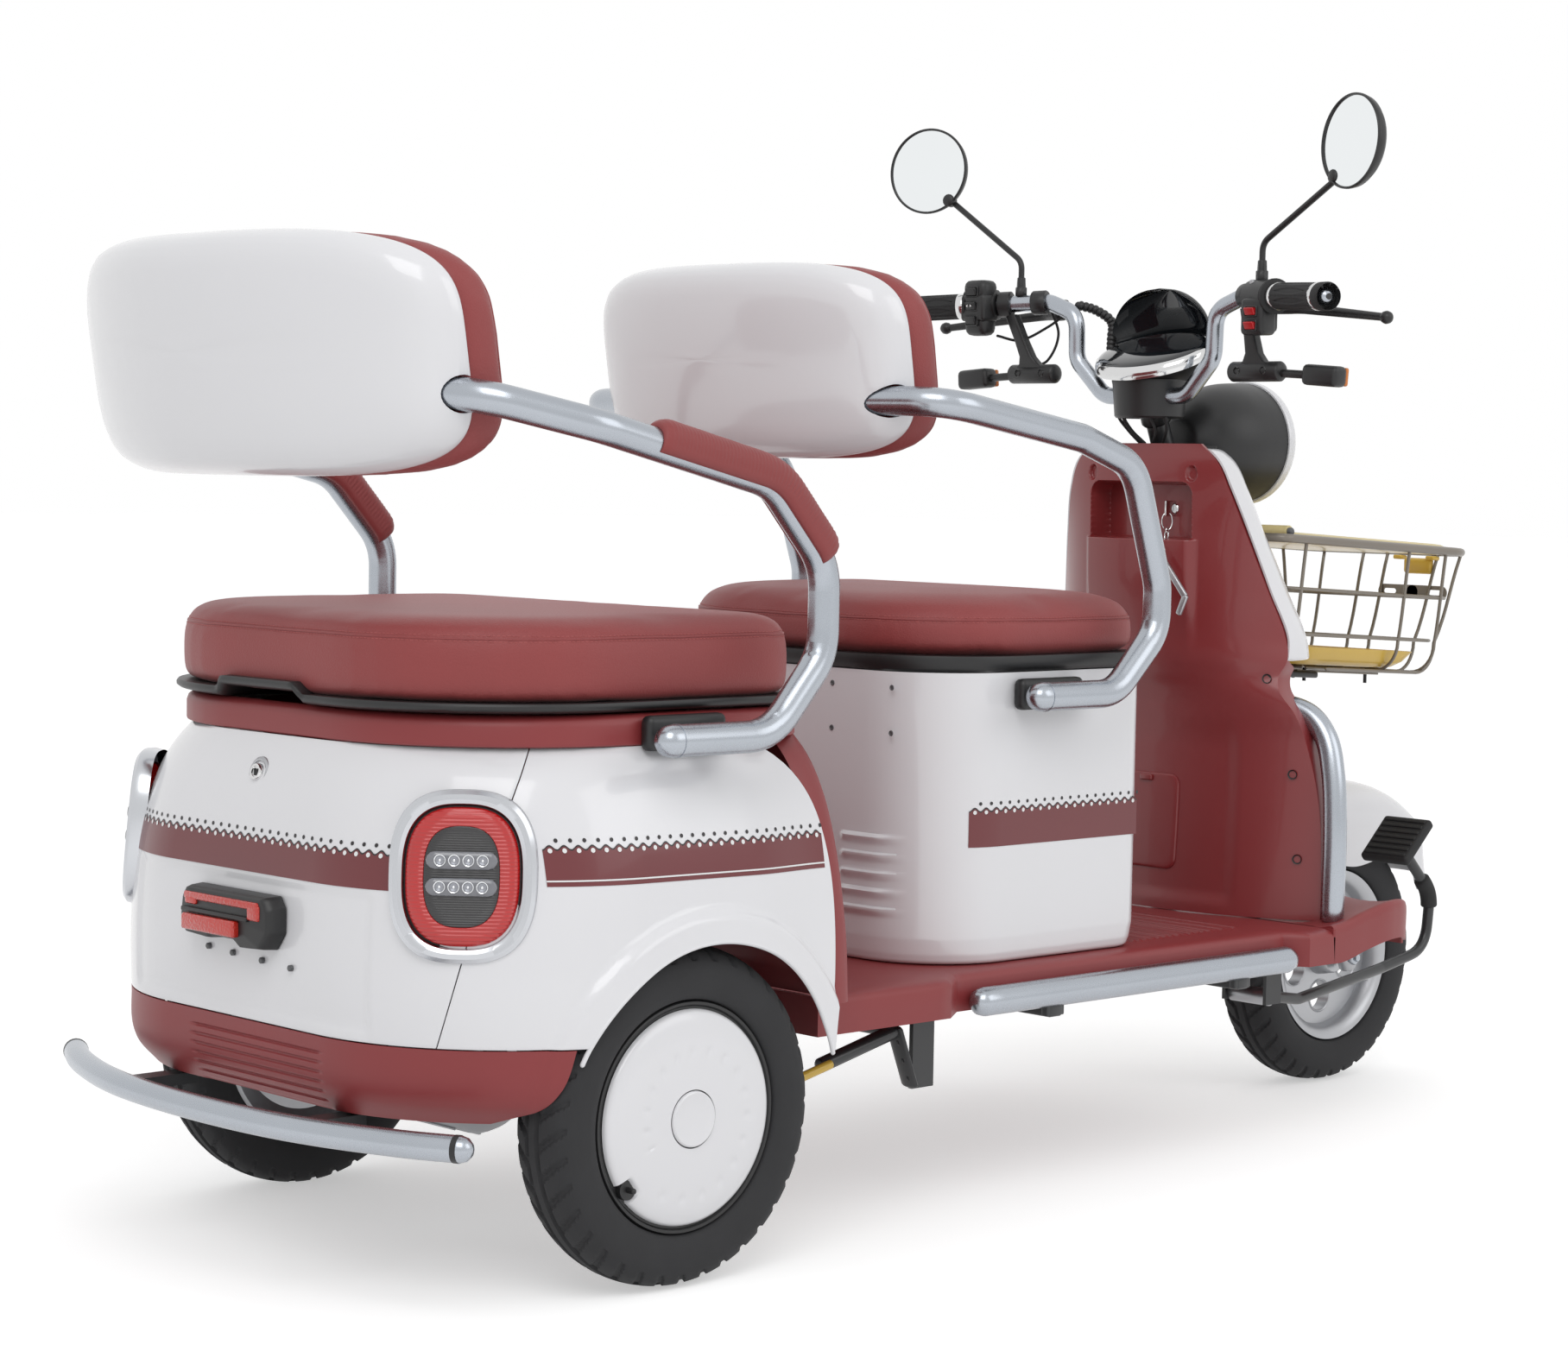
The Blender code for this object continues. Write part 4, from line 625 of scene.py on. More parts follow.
white_film = finish("white_film", colour_of(236, 236, 236), 0.30, mottle=0.02, fine=500, depth=0.000004)
signal_red = finish("signal_red", colour_of(186, 30, 34), 0.34, mottle=0.06, fine=900, depth=0.00001)
grey_plastic = finish("grey_plastic", colour_of(92, 93, 95), 0.42, mottle=0.08, fine=1800, depth=0.00003)
amber = finish("amber_lens", colour_of(214, 120, 30), 0.14, mottle=0.05, fine=400, depth=0.00001, coat=0.5)
battery_paint = finish("battery_case", colour_of(44, 58, 84), 0.45, mottle=0.1)
reflector_silver = finish("reflector_silver", colour_of(226, 228, 230), 0.08, metallic=1.0, mottle=0.02)
mirror_glass = finish("mirror_glass", colour_of(236, 239, 240), 0.03, metallic=1.0, mottle=0.01, fine=60,
                      depth=0.0000004, gloss_spread=0.0)
glass = finish("clear_lens", colour_of(240, 244, 246), 0.04, mottle=0.01, fine=120, depth=0.000002,
               gloss_spread=0.01)
shader_of(glass).inputs["Transmission Weight"].default_value = 0.92
screen_glass = finish("screen_glass", colour_of(24, 28, 32), 0.06, mottle=0.05, fine=60, depth=0.000001,
                      coat=0.6)

# %% [markdown]
# The leather has round pores about a millimetre across, softened by creases. Voronoi cells give the
# pores and a second noise gives the creases. The tail lamps have fine prisms moulded into the lens, and a
# reflector has pyramids. All are heights, so they move only the light on the surface.

# %% Leather, lenses and ribs
leather = finish("brick_leather", colour_of(144, 60, 60), 0.52, broad=11, mottle=0.07, fine=420,
                 depth=0.00012, gloss_spread=0.08, sheen=0.12)


def pores(made, scale, depth):
    """Cells of the given count a metre: the height is the distance to the nearest cell's middle."""
    tree = made.node_tree
    cells = new_node(tree, "ShaderNodeTexVoronoi", feature="SMOOTH_F1")
    wired(tree, cells, "Vector", object_place(made))
    wired(tree, cells, "Scale", scale)
    return relief(made, cells.outputs["Distance"], depth)


pores(leather, 620, 0.00022)


def waves(made, direction, count, depth):
    """Parallel ribs: the height is a sine along one axis, so many ribs a metre."""
    tree = made.node_tree
    ribs = new_node(tree, "ShaderNodeTexWave", wave_type="BANDS", bands_direction=direction)
    wired(tree, ribs, "Vector", object_place(made))
    wired(tree, ribs, "Scale", count * 2 * math.pi / 20)
    return relief(made, ribs.outputs["Fac"], depth)


tail_red = finish("tail_lens", colour_of(190, 24, 24), 0.10, broad=18, mottle=0.18, fine=300,
                  depth=0.00001, coat=0.6)
waves(tail_red, "Z", 260, 0.0006)
shader_of(tail_red).inputs["Emission Color"].default_value = (*colour_of(196, 24, 22), 1)
shader_of(tail_red).inputs["Emission Strength"].default_value = 0.06
reflex_red = finish("reflex_red", colour_of(196, 44, 32), 0.12, mottle=0.15, coat=0.5)
pores(reflex_red, 420, 0.0008)
pad_leather = finish("pad_leather", colour_of(138, 56, 56), 0.55, mottle=0.06, fine=600, depth=0.0001,
                     sheen=0.1)
print("finishes:", len(bpy.data.materials))

# %% [markdown]
# ## Studio
# The floor is one pale sheet that looks almost white to the camera and still takes a shadow. The world
# behind it is white to the camera and to reflections, but a plain soft grey as a light. Two large soft
# lamps give the object its shape.

# %% Studio
def seen_only(tree):
    """1 for what the camera sees, straight, in a gloss or through a lens, and 0 for what only lights."""
    seen = new_node(tree, "ShaderNodeLightPath")
    shown = sums(tree, "MAXIMUM", seen.outputs["Is Camera Ray"], seen.outputs["Is Glossy Ray"])
    return sums(tree, "MAXIMUM", shown, seen.outputs["Is Transmission Ray"])


def studio():
    """A floor, a white backdrop seen only by the camera and by gloss, and two soft lamps."""
    mesh = bpy.data.meshes.new("floor")
    reach = 40.0
    mesh.from_pydata([(-reach, -reach, 0), (reach, -reach, 0), (reach, reach, 0), (-reach, reach, 0)], [],
                     [(0, 1, 2, 3)])
    floor = bpy.data.objects.new("floor", mesh)
    bpy.context.scene.collection.objects.link(floor)
    pale = bpy.data.materials.new("pale_floor")
    pale.use_nodes = True
    shader = shader_of(pale)
    shader.inputs["Base Color"].default_value = (0.86, 0.86, 0.86, 1)
    shader.inputs["Roughness"].default_value = 0.9
    shader.inputs["Emission Color"].default_value = (1, 1, 1, 1)
    lift = sums(pale.node_tree, "MULTIPLY", seen_only(pale.node_tree), FLOOR_LIFT)
    pale.node_tree.links.new(lift, shader.inputs["Emission Strength"])
    mesh.materials.append(pale)
    world = bpy.data.worlds.new("studio")
    bpy.context.scene.world = world
    world.use_nodes = True
    tree = world.node_tree
    level = new_node(tree, "ShaderNodeMapRange")
    wired(tree, level, "Value", seen_only(tree))
    wired(tree, level, "To Min", WORLD_LIGHT)
    wired(tree, level, "To Max", 1.0)
    back = tree.nodes["Background"]
    back.inputs["Color"].default_value = (1, 1, 1, 1)
    tree.links.new(level.outputs[0], back.inputs["Strength"])
    for name, at, size, power in LAMPS:
        lamp = bpy.data.objects.new(name, bpy.data.lights.new(name, "AREA"))
        lamp.data.size = size
        lamp.data.energy = power
        lamp.location = at
        lamp.rotation_mode = "QUATERNION"
        lamp.rotation_quaternion = (Vector((0, 0, 0.5)) - Vector(at)).to_track_quat("-Z", "Y")
        bpy.context.scene.collection.objects.link(lamp)


WORLD_LIGHT = 0.62
# How much whiter the floor looks to the camera and in reflections than its own paint. It lights nothing.
FLOOR_LIFT = 0.45
LAMPS = (("key_lamp", (-3.2, 3.6, 5.0), 3.6, 106), ("fill_lamp", (-5.0, -2.0, 3.4), 3.6, 48))
studio()
print("lamps:", len(LAMPS))

# %% [markdown]
# ## Wheels
# A tyre is one profile turned about the axle. Its tread blocks are cut by slanted grooves: the radius
# drops where a repeating wave along the angle passes a threshold. The rear wheels wear smooth, dished
# covers over their rims, and the front wheel is a cast disc with five windows.

# %% Tyres
TYRE_R = 0.176
HALF_TRACK = 0.320
WHEEL_BASE = 1.4875
TREAD_HALF = 0.034
TREAD_BLOCKS = 36
FRONT_HUB = np.array([0.0, -WHEEL_BASE, TYRE_R])
# across, radius, from the inner bead over the tread to the outer bead
TYRE_SECTION = np.array([(-0.0235, 0.1150), (-0.0262, 0.1190), (-0.0335, 0.1215), (-0.0375, 0.1290),
                         (-0.0392, 0.1400), (-0.0388, 0.1500), (-0.0368, 0.1590), (-0.0335, 0.1650),
                         (-0.0300, 0.1690), (-0.0235, 0.1722), (-0.0160, 0.1744), (-0.0080, 0.1756),
                         (0.0, 0.1760)])


def tyre(hub):
    """The section turned once. In the tread, the radius drops by the groove's depth.

    A groove is where the saw wave of (angle times the count, plus a slant times the way across) is low.
    """
    half = through(TYRE_SECTION, 44)
    section = np.concatenate([half, half[::-1][1:] * [-1, 1]])
    a = around(432)
    across, radius = section[:, 0][:, None], section[:, 1][:, None]
    share = across / TREAD_HALF
    pattern = np.mod(a[None, :] * TREAD_BLOCKS / (2 * np.pi) + 0.9 * np.abs(share) + 0.25
                     * np.sign(share), 1.0)
    slant = ease((0.16 - np.abs(pattern - 0.5)) / 0.05) * (np.abs(share) > 0.22)
    ring = ease((0.0024 - np.abs(np.abs(across) - 0.0080)) / 0.0010)
    shoulder = ease((np.abs(radius) - 0.1600) / 0.004)
    depth = 0.0034 * shoulder * np.maximum(slant, ring)
    swell = 0.0004 * ease((0.0012 - np.abs(radius - 0.1545)) / 0.0008) * (np.abs(across) > 0.03)
    r = radius - depth + swell
    points = np.stack([np.broadcast_to(across, r.shape), r * np.sin(a), r * np.cos(a)], -1) + hub
    inner = turned([(0.0235, 0.1150), (0.0240, 0.1100), (-0.0240, 0.1100), (-0.0235, 0.1150)], hub,
                   TO_LEFT, 96)
    return [grid(points, columns_close=True), inner]


for side, hand in SIDES:
    hub = np.array([side * HALF_TRACK, 0.0, TYRE_R])
    piece(f"tyre_{hand}", tyre(hub), f"rear_wheel_{hand}", [tyre_rubber], [f"rear_tyre_{hand}"])
piece("tyre_front", tyre(FRONT_HUB), "front_wheel", [tyre_rubber], ["front_tyre"])
print("tyres:", 3, "radius", TYRE_R)

# %% [markdown]
# The real wheel is a pressed rim under a white dished cover, with its valve in a notch. A cover could
# be a cone with a bevel, but a turned section shows how the dish rolls over at its edge, and the
# dimples and the notch are then small bumps subtracted from it.

# %% Rear rims and their covers
# out from the wheel's middle, radius: the cover's rolled edge and its dish
COVER_SECTION = np.array([(0.0310, 0.1108), (0.0338, 0.1100), (0.0362, 0.1080), (0.0392, 0.1000),
                          (0.0412, 0.0880), (0.0424, 0.0700), (0.0430, 0.0480), (0.0432, 0.0300)])
FLANGE_SECTION = [(0.0255, 0.1150), (0.0268, 0.1180), (0.0300, 0.1192), (0.0325, 0.1180),
                  (0.0322, 0.1150), (0.0300, 0.1132), (0.0302, 0.1080)]
BOSS_SECTION = [(0.0430, 0.0290), (0.0450, 0.0282), (0.0458, 0.0268), (0.0452, 0.0225), (0.0446, 0.0150),
                (0.0446, 0.0)]


def wheel_cover(hub, side):
    """The cover's section turned once, with a winding ring of shallow dimples and a valve notch."""
    line = through(COVER_SECTION, 60)
    a = around(240)
    out, radius = line[:, 0][:, None], line[:, 1][:, None]
    turn = np.mod(a - 2.0, 2 * np.pi)
    path = 0.086 - 0.026 * turn[None, :] / (2 * np.pi)
    dots = 0.5 + 0.5 * np.cos(turn[None, :] * 19)
    dimple = 0.0012 * np.exp(-((radius - path) / 0.0055) ** 2) * dots ** 3 * (turn[None, :] > 0.5)
    notch = 0.009 * ease((0.11 - np.abs(a - VALVE_ANGLE)) / 0.03)[None, :] * ease((radius - 0.092) / 0.010)
    notch = notch * (radius < 0.112)
    r = np.broadcast_to(radius, dimple.shape)
    points = np.stack([side * (out - dimple - notch), r * np.sin(a), r * np.cos(a)], -1) + hub
    return grid(points, columns_close=True)


VALVE_ANGLE = math.radians(128)
VALVE_R = 0.1020


def rear_rim(hub, side):
    """Cover and boss, dished back, barrel between the beads, dark flange, and the valve in its well."""
    way = (side, 0, 0)
    back = turned([(-0.0255, 0.1150), (-0.0300, 0.1190), (-0.0322, 0.1150), (-0.0300, 0.1120),
                   (-0.0200, 0.1000), (-0.0130, 0.0900), (-0.0120, 0.0340), (-0.0480, 0.0300),
                   (-0.0485, 0.0180)], hub, way, 96, 1)
    barrel = turned([(-0.0256, 0.1148), (0.0256, 0.1148)], hub, way, 96, 1)
    boss = turned(BOSS_SECTION, hub, way, 96, 0)
    valve_foot = hub + [side * 0.0330, VALVE_R * math.sin(VALVE_ANGLE), VALVE_R * math.cos(VALVE_ANGLE)]
    valve = tube([valve_foot, valve_foot + [side * 0.012, 0, 0]], 0.0032, 10, paint=2)
    flange = turned(FLANGE_SECTION, hub, way, 96, 2)
    well = turned([(-0.004, 0.0110), (0.0036, 0.0105), (0.0040, 0.0090), (0.0040, 0.0)], valve_foot, way,
                  24, 2)
    return [wheel_cover(hub, side), boss, back, barrel, valve, flange, well]


for side, hand in SIDES:
    hub = np.array([side * HALF_TRACK, 0.0, TYRE_R])
    piece(f"rim_{hand}", rear_rim(hub, side), f"rear_wheel_{hand}", [white, alloy, black],
          [f"rear_rim_{hand}"])
print("rear rims with covers:", 2)

# %% [markdown]
# The front wheel is cast in one piece. Its windows could be cut with a Boolean, but a web that grows
# from each round window to its own fifth of the disc keeps the faces clean, because every row of the
# grid runs round the window.

# %% Front rim
WINDOW_AT = 0.060
WINDOW_R = 0.0225


def front_rim():
    """A cast disc: rim lips, a web with five round windows, and a hub. The web's rows run inside a flange."""
    surfaces = []
    for side in (-1, 1):
        lip = [(0.0256, 0.1148), (0.0290, 0.1185), (0.0318, 0.1175), (0.0312, 0.1130), (0.0290, 0.1080),
               (0.0230, 0.1020), (0.0100, 0.0985), (0.0, 0.0980)]
        surfaces.append(turned([(side * x, r) for x, r in lip], FRONT_HUB, TO_LEFT, 96))
        hub_line = [(0.0085, 0.0300), (0.0200, 0.0280), (0.0330, 0.0250), (0.0345, 0.0235), (0.0345, 0.0100)]
        surfaces.append(turned([(side * x, r) for x, r in hub_line], FRONT_HUB, TO_LEFT, 64))
    for k in range(5):
        angle = 2 * math.pi * (k + 0.5) / 5
        surfaces += [window_sector(angle, side) for side in (-1, 1)]
        middle = FRONT_HUB + WINDOW_AT * np.array([0, math.sin(angle), math.cos(angle)])
        rolled = [(-0.0090, 0.0235), (-0.0100, 0.0220), (-0.0090, 0.0208), (0.0090, 0.0208),
                  (0.0100, 0.0220), (0.0090, 0.0235)]
        surfaces.append(turned(rolled, middle, TO_LEFT, 40))
    return surfaces


def window_sector(angle, side):
    """A fifth of the web: rows grow from the window's circle to the sector's own outline."""
    share = np.linspace(0, 2 * np.pi, 60)
    window = np.stack([WINDOW_R * np.sin(share), WINDOW_AT + WINDOW_R * np.cos(share)], -1)
    spread = math.pi / 5
    bearing = np.arctan2(np.sin(share), np.cos(share))
    side_way = np.clip(1.6 * np.sin(bearing), -1, 1) * spread
    radial = 0.0640 + 0.0345 * np.clip(1.6 * np.cos(bearing), -1, 1)
    outline = np.stack([radial * np.sin(side_way), radial * np.cos(side_way)], -1)
    t = np.linspace(0, 1, 5)[:, None, None]
    flat = window * (1 - t) + outline * t
    across = flat[..., 0] * math.cos(angle) + flat[..., 1] * math.sin(angle)
    along = -flat[..., 0] * math.sin(angle) + flat[..., 1] * math.cos(angle)
    return grid(np.stack([np.full(across.shape, side * 0.0085), across, along], -1) + FRONT_HUB)


piece("rim_front", front_rim(), "front_wheel", [alloy], ["front_rim"])
print("front rim with windows:", 5)

# %% [markdown]
# ## Rear fairing
# The rear body is one rounded shell in plan, cut into a rear panel, two side panels and a red skirt.
# Its outline at each height is a flat back, two quarter circles and two straight flanks, so one
# function of (way along the outline, height) gives every point, and each panel is a patch of it.

# %% The fairing's own surface
WIDTH_AT = np.array([(0.185, 0.352), (0.205, 0.366), (0.262, 0.370), (0.36, 0.367), (0.44, 0.357),
                     (0.50, 0.341), (0.53, 0.328), (0.553, 0.312)])
REAR_AT = np.array([(0.185, 0.284), (0.205, 0.297), (0.262, 0.302), (0.36, 0.304), (0.44, 0.299),
                    (0.50, 0.287), (0.53, 0.275), (0.553, 0.262)])
FRONT_AT = np.array([(0.222, -0.198), (0.30, -0.206), (0.45, -0.200), (0.50, -0.184), (0.53, -0.160),
                     (0.553, -0.128)])
CORNER_R = 0.235
ARCH_Y = -0.020
ARCH_Z = 0.172
ARCH_R = 0.184
SEAM_Z = 0.262
SEAM_GAP = 0.0006
BODY_TOP_Z = 0.553


def corner_start(z):
    """Where, along Y, the flank ends and the rear corner begins."""
    return read_off(REAR_AT, z) - CORNER_R


def fairing(side, y_flat, z, proud=0.0):
    """A point of the shell. Y_flat is the flank's Y, which unrolls round the corner and along the back.

    Past the corner's start, the extra length over the radius is the angle turned round the corner.
    Past a quarter turn, the rest is the way along the flat back towards the middle.
    """
    y_flat, z = np.broadcast_arrays(np.asarray(y_flat, float), np.asarray(z, float))
    width = read_off(WIDTH_AT, z)
    start = corner_start(z)
    extra = np.maximum(y_flat - start, 0)
    angle = np.minimum(extra / CORNER_R, np.pi / 2)
    on_back = np.maximum(extra - CORNER_R * np.pi / 2, 0)
    front = read_off(FRONT_AT, z)
    inward = 0.016 * ease((start - y_flat) / np.maximum(start - front, 0.05) * 2.2 - 1.2)
    reach = np.hypot(y_flat - ARCH_Y, z - ARCH_Z) - ARCH_R
    flare = 0.010 * (1 - ease((reach - 0.024) / 0.012))
    out = proud + np.where(y_flat < start, flare - inward, flare * (1 - ease(angle)))
    x = width - CORNER_R + (CORNER_R + out) * np.cos(angle) - on_back
    y = np.where(y_flat < start, y_flat, start + (CORNER_R + proud) * np.sin(angle))
    return np.stack([side * x, y, z], -1)


def back_middle(z):
    """The unrolled Y of the middle of the back: past the whole corner, and the flat half of the back."""
    return corner_start(z) + CORNER_R * np.pi / 2 + read_off(WIDTH_AT, z) - CORNER_R


def seam_at(z):
    """The unrolled Y of the upright seam beside the tail lamp."""
    turn = 90 - 90 * (0.43 + 0.22 * (np.asarray(z) - 0.30) / 0.253)
    return corner_start(z) + np.radians(turn) * CORNER_R


def coons(bottom, top, left, right):
    """A patch from its four edges: the two ruled sheets between opposite edges, less the corners' sheet."""
    u = np.linspace(0, 1, len(bottom))[None, :, None]
    v = np.linspace(0, 1, len(left))[:, None, None]
    ruled = bottom[None] * (1 - v) + top[None] * v + left[:, None] * (1 - u) + right[:, None] * u
    low = (1 - u) * bottom[0] + u * bottom[-1]
    high = (1 - u) * top[0] + u * top[-1]
    return ruled - (low * (1 - v) + high * v)


def arch_line(first, last, count):
    """The wheel arch from one angle to another, measured from straight up, positive to the rear."""
    a = np.radians(np.linspace(first, last, count))
    return np.stack([ARCH_Y + ARCH_R * np.sin(a), ARCH_Z + ARCH_R * np.cos(a)], -1)


def side_panel(side):
    """The flank and half the corner: its lower edge is the skirt seam, then the wheel arch."""
    low = SEAM_Z + SEAM_GAP
    arch_end = math.degrees(math.acos((low - ARCH_Z) / ARCH_R))
    seam_low = float(seam_at(low)) - SEAM_GAP
    arch = arch_line(arch_end, -74.2, 96)
    run = np.linspace(seam_low, arch[0, 0], 36)[:-1]
    bottom = np.concatenate([np.stack([run, np.full(35, low)], -1), arch])
    heights = low + (BODY_TOP_Z - low) * np.linspace(0, 1, 44) ** 1.15
    left = np.stack([seam_at(heights) - SEAM_GAP, heights], -1)
    up = arch[-1, 1] + (BODY_TOP_Z - arch[-1, 1]) * np.linspace(0, 1, 44) ** 1.15
    right = np.stack([read_off(FRONT_AT, up), up], -1)
    right[0] = arch[-1]
    spaced = np.concatenate([np.linspace(0, 0.42, 36)[:-1], np.linspace(0.42, 1, 96)])
    top = np.stack([left[-1, 0] + (right[-1, 0] - left[-1, 0]) * spaced,
                    np.full(len(spaced), BODY_TOP_Z)], -1)
    flat = coons(bottom, top, left, right)
    return grid(fairing(side, flat[..., 0], flat[..., 1]))


for side, hand in SIDES:
    piece(f"flank_{hand}", side_panel(side), "chassis", [white], [f"side_panel_{hand}"], wall=0.0026,
          outward=(side, 0.6, 0), bevel=0.0007, sharp=60)
    lip = arch_line(66, -74, 90)
    rim = fairing(side, lip[:, 0], lip[:, 1], -0.0022)
    piece(f"arch_lip_{hand}", tube(rim, 0.0026, 10), "chassis", [white])
print("side panels:", 2)


def rear_panel():
    """The back between the two seams, from the skirt to the collar, with a shallow pressed frame."""
    z = np.linspace(SEAM_Z + SEAM_GAP, BODY_TOP_Z, 60)
    share = np.linspace(-1, 1, 150)
    middle = back_middle(z)
    length = middle - seam_at(z) - SEAM_GAP
    way = np.abs(share)[None, :] * length[:, None]
    y_flat = middle[:, None] - way
    zz = np.broadcast_to(z[:, None], way.shape)
    inside = ease((0.212 - way) / 0.010) * ease((zz - 0.268) / 0.008) * ease((0.415 - zz) / 0.012)
    points = fairing(1, y_flat, zz, -0.0035 * inside)
    points[..., 0] *= np.sign(share)[None, :]
    return grid(points)


piece("tail_panel", rear_panel(), "chassis", [white], ["rear_panel"], wall=0.0026, outward=TO_REAR,
      bevel=0.0007, sharp=60)
print("rear panel built")

# %% [markdown]
# The skirt is moulded in one piece with the grooves in its back. It uses the shell's own surface, so it
# meets the panels above along the seam, and the grooves are dips of a cosine in height.

# %% Skirt
SKIRT_END = np.array([(0.185, 0.205), (0.20, 0.180), (0.22, 0.166), (0.24, 0.158), (0.262, 0.152)])
SKIRT_LOW = 0.185
RIB_X = (-0.145, 0.092)
RIB_PITCH = 0.0098


def skirt():
    """The red band under the seam: its ends sweep up beside the wheels, and grooves cross its back.

    A groove is a dip of a cosine in height, faded out at the ends of the grooved stretch.
    """
    z = np.linspace(SKIRT_LOW, SEAM_Z - 0.0008, 110)
    share = np.linspace(-1, 1, 220)
    start = corner_start(z)
    middle = back_middle(z)
    end = read_off(SKIRT_END, z)
    turn = np.arcsin(np.clip((end - start) / CORNER_R, -1, 1)) * CORNER_R + start
    way = np.abs(share)[None, :] * (middle - turn)[:, None]
    zz = np.broadcast_to(z[:, None], way.shape)
    x = way * np.sign(share)[None, :]
    ribbed = within(x, *RIB_X, 0.012) * ease((0.250 - zz) / 0.006)
    dip = 0.0022 * ribbed * ease((np.cos(zz / RIB_PITCH * 2 * np.pi) - 0.35) / 0.5)
    points = fairing(1, middle[:, None] - way, zz, -dip)
    points[..., 0] *= np.sign(share)[None, :]
    return grid(points)


piece("skirt", skirt(), "chassis", [brick], ["rear_skirt"], wall=0.003, outward=TO_REAR, bevel=0.0006,
      sharp=50)
print("skirt built")

# %% [markdown]
# ## Tail lamps
# Each rear corner carries an upright oval lamp in a broad satin bezel. The oval is a superellipse: the
# cosine and sine of a circle raised to a power below one, so its sides are straighter. The black core
# is ribbed and holds two clear pills with four small lamps each.

# %% Tail lamps
LAMP_Z = 0.4315
LAMP_HALF = np.array([0.073, 0.085])
LAMP_ANGLE = math.radians(43)
LAMP_FACING = math.radians(45)
LAMP_POWER = 0.74


def lamp_axes(side):
    """The lamp's middle on the shell, and its across, up and outward directions."""
    start = float(corner_start(LAMP_Z))
    middle = fairing(side, start + CORNER_R * (math.pi / 2 - LAMP_ANGLE), LAMP_Z)
    out = np.array([side * math.sin(LAMP_FACING), math.cos(LAMP_FACING), 0.085])
    out /= np.linalg.norm(out)
    across = np.cross([0, 0, 1.0], out)
    across /= np.linalg.norm(across)
    return middle, across, np.cross(out, across), out


def oval(side, half, out):
    """A superellipse on the lamp's axes: half its width and height, and its distance out from the shell."""
    middle, across, up, outward = lamp_axes(side)
    a = around(96)
    c = squarer(np.cos(a), LAMP_POWER)
    s = squarer(np.sin(a), LAMP_POWER)
    bow = -0.26 * (half[0] * c) ** 2 / CORNER_R
    spot = middle + across * (half[0] * c)[:, None] + up * (half[1] * s)[:, None]
    return spot + outward * (out + bow)[:, None]


def oval_rings(side, rows, paint=0, caps=""):
    """Ovals from (shrink of the full size, out) rows."""
    rings = [oval(side, LAMP_HALF - shrink, out) for shrink, out in rows]
    return grid(rings, columns_close=True, paint=paint, caps=caps)


def led_pill(side, height):
    """A clear capsule with four bowls behind it."""
    middle, across, up, outward = lamp_axes(side)
    base = middle + up * height + outward * 0.0092
    half = np.linspace(-0.0265, 0.0265, 30)[:, None]
    shell = tube(base + across * half, 0.0088, 20, paint=4)
    flat = shell["points"] - base
    depth = flat @ outward
    shell["points"] = shell["points"] - outward * (0.62 * depth)[..., None]
    bowls = []
    for k in range(4):
        spot = base + across * (-0.021 + 0.014 * k) + outward * 0.0006
        bowls.append(turned([(0.0034, 0.0058), (0.0030, 0.0050), (0.0012, 0.0040), (0.0008, 0.0018),
                             (0.0026, 0.0014), (0.0032, 0.0)], spot, outward, 20, paint=5))
    return [shell] + bowls


def tail_lamp(side):
    """Bezel, a groove, the red lens ring with its rolled edge, the black ribbed core and its pills."""
    bezel = oval_rings(side, [(0.001, -0.012), (-0.0005, -0.002), (0.0005, 0.005), (0.0045, 0.0085),
                              (0.0095, 0.0088), (0.0135, 0.0065), (0.0150, 0.0030), (0.0152, -0.004)])
    groove = oval_rings(side, [(0.0150, 0.0020), (0.0160, 0.0012), (0.0172, 0.0012)], 2)
    lens = oval_rings(side, [(0.0168, -0.002), (0.0170, 0.0040), (0.0185, 0.0072), (0.0215, 0.0092),
                             (0.0270, 0.0102), (0.0330, 0.0104), (0.0352, 0.0100), (0.0358, 0.0088)], 1)
    core = oval_rings(side, [(0.0356, 0.0086), (0.0358, 0.0096), (0.0366, 0.0100), (0.0450, 0.0101)], 3,
                      "last")
    return [bezel, groove, lens, core] + led_pill(side, 0.016) + led_pill(side, -0.010)


bezel_satin = finish("lamp_bezel", colour_of(196, 198, 202), 0.22, metallic=1.0, mottle=0.04, fine=600,
                     depth=0.000005)
core_ribbed = waves(finish("lamp_core", colour_of(28, 27, 29), 0.22, mottle=0.1, coat=0.5), "Z", 420, 0.0005)
pill_clear = finish("pill_clear", colour_of(176, 178, 186), 0.10, mottle=0.05, coat=0.5)
shader_of(pill_clear).inputs["Transmission Weight"].default_value = 0.55
for side, hand in SIDES:
    piece(f"lamp_{hand}", tail_lamp(side), "chassis",
          [bezel_satin, tail_red, black, core_ribbed, pill_clear, reflector_silver], [f"tail_lamp_{hand}"])
print("tail lamps:", 2)

# %% [markdown]
# ## Trim stripe
# A maroon film with a scalloped upper edge, white spots inside the scallops and black spots above them
# runs round the rear, the flanks and the battery box. The film is a thin patch of the very surface it
# lies on, pushed out by a few tenths of a millimetre. Its lettering on the real vehicle is left off.

# %% Stripe
FILM = 0.0004


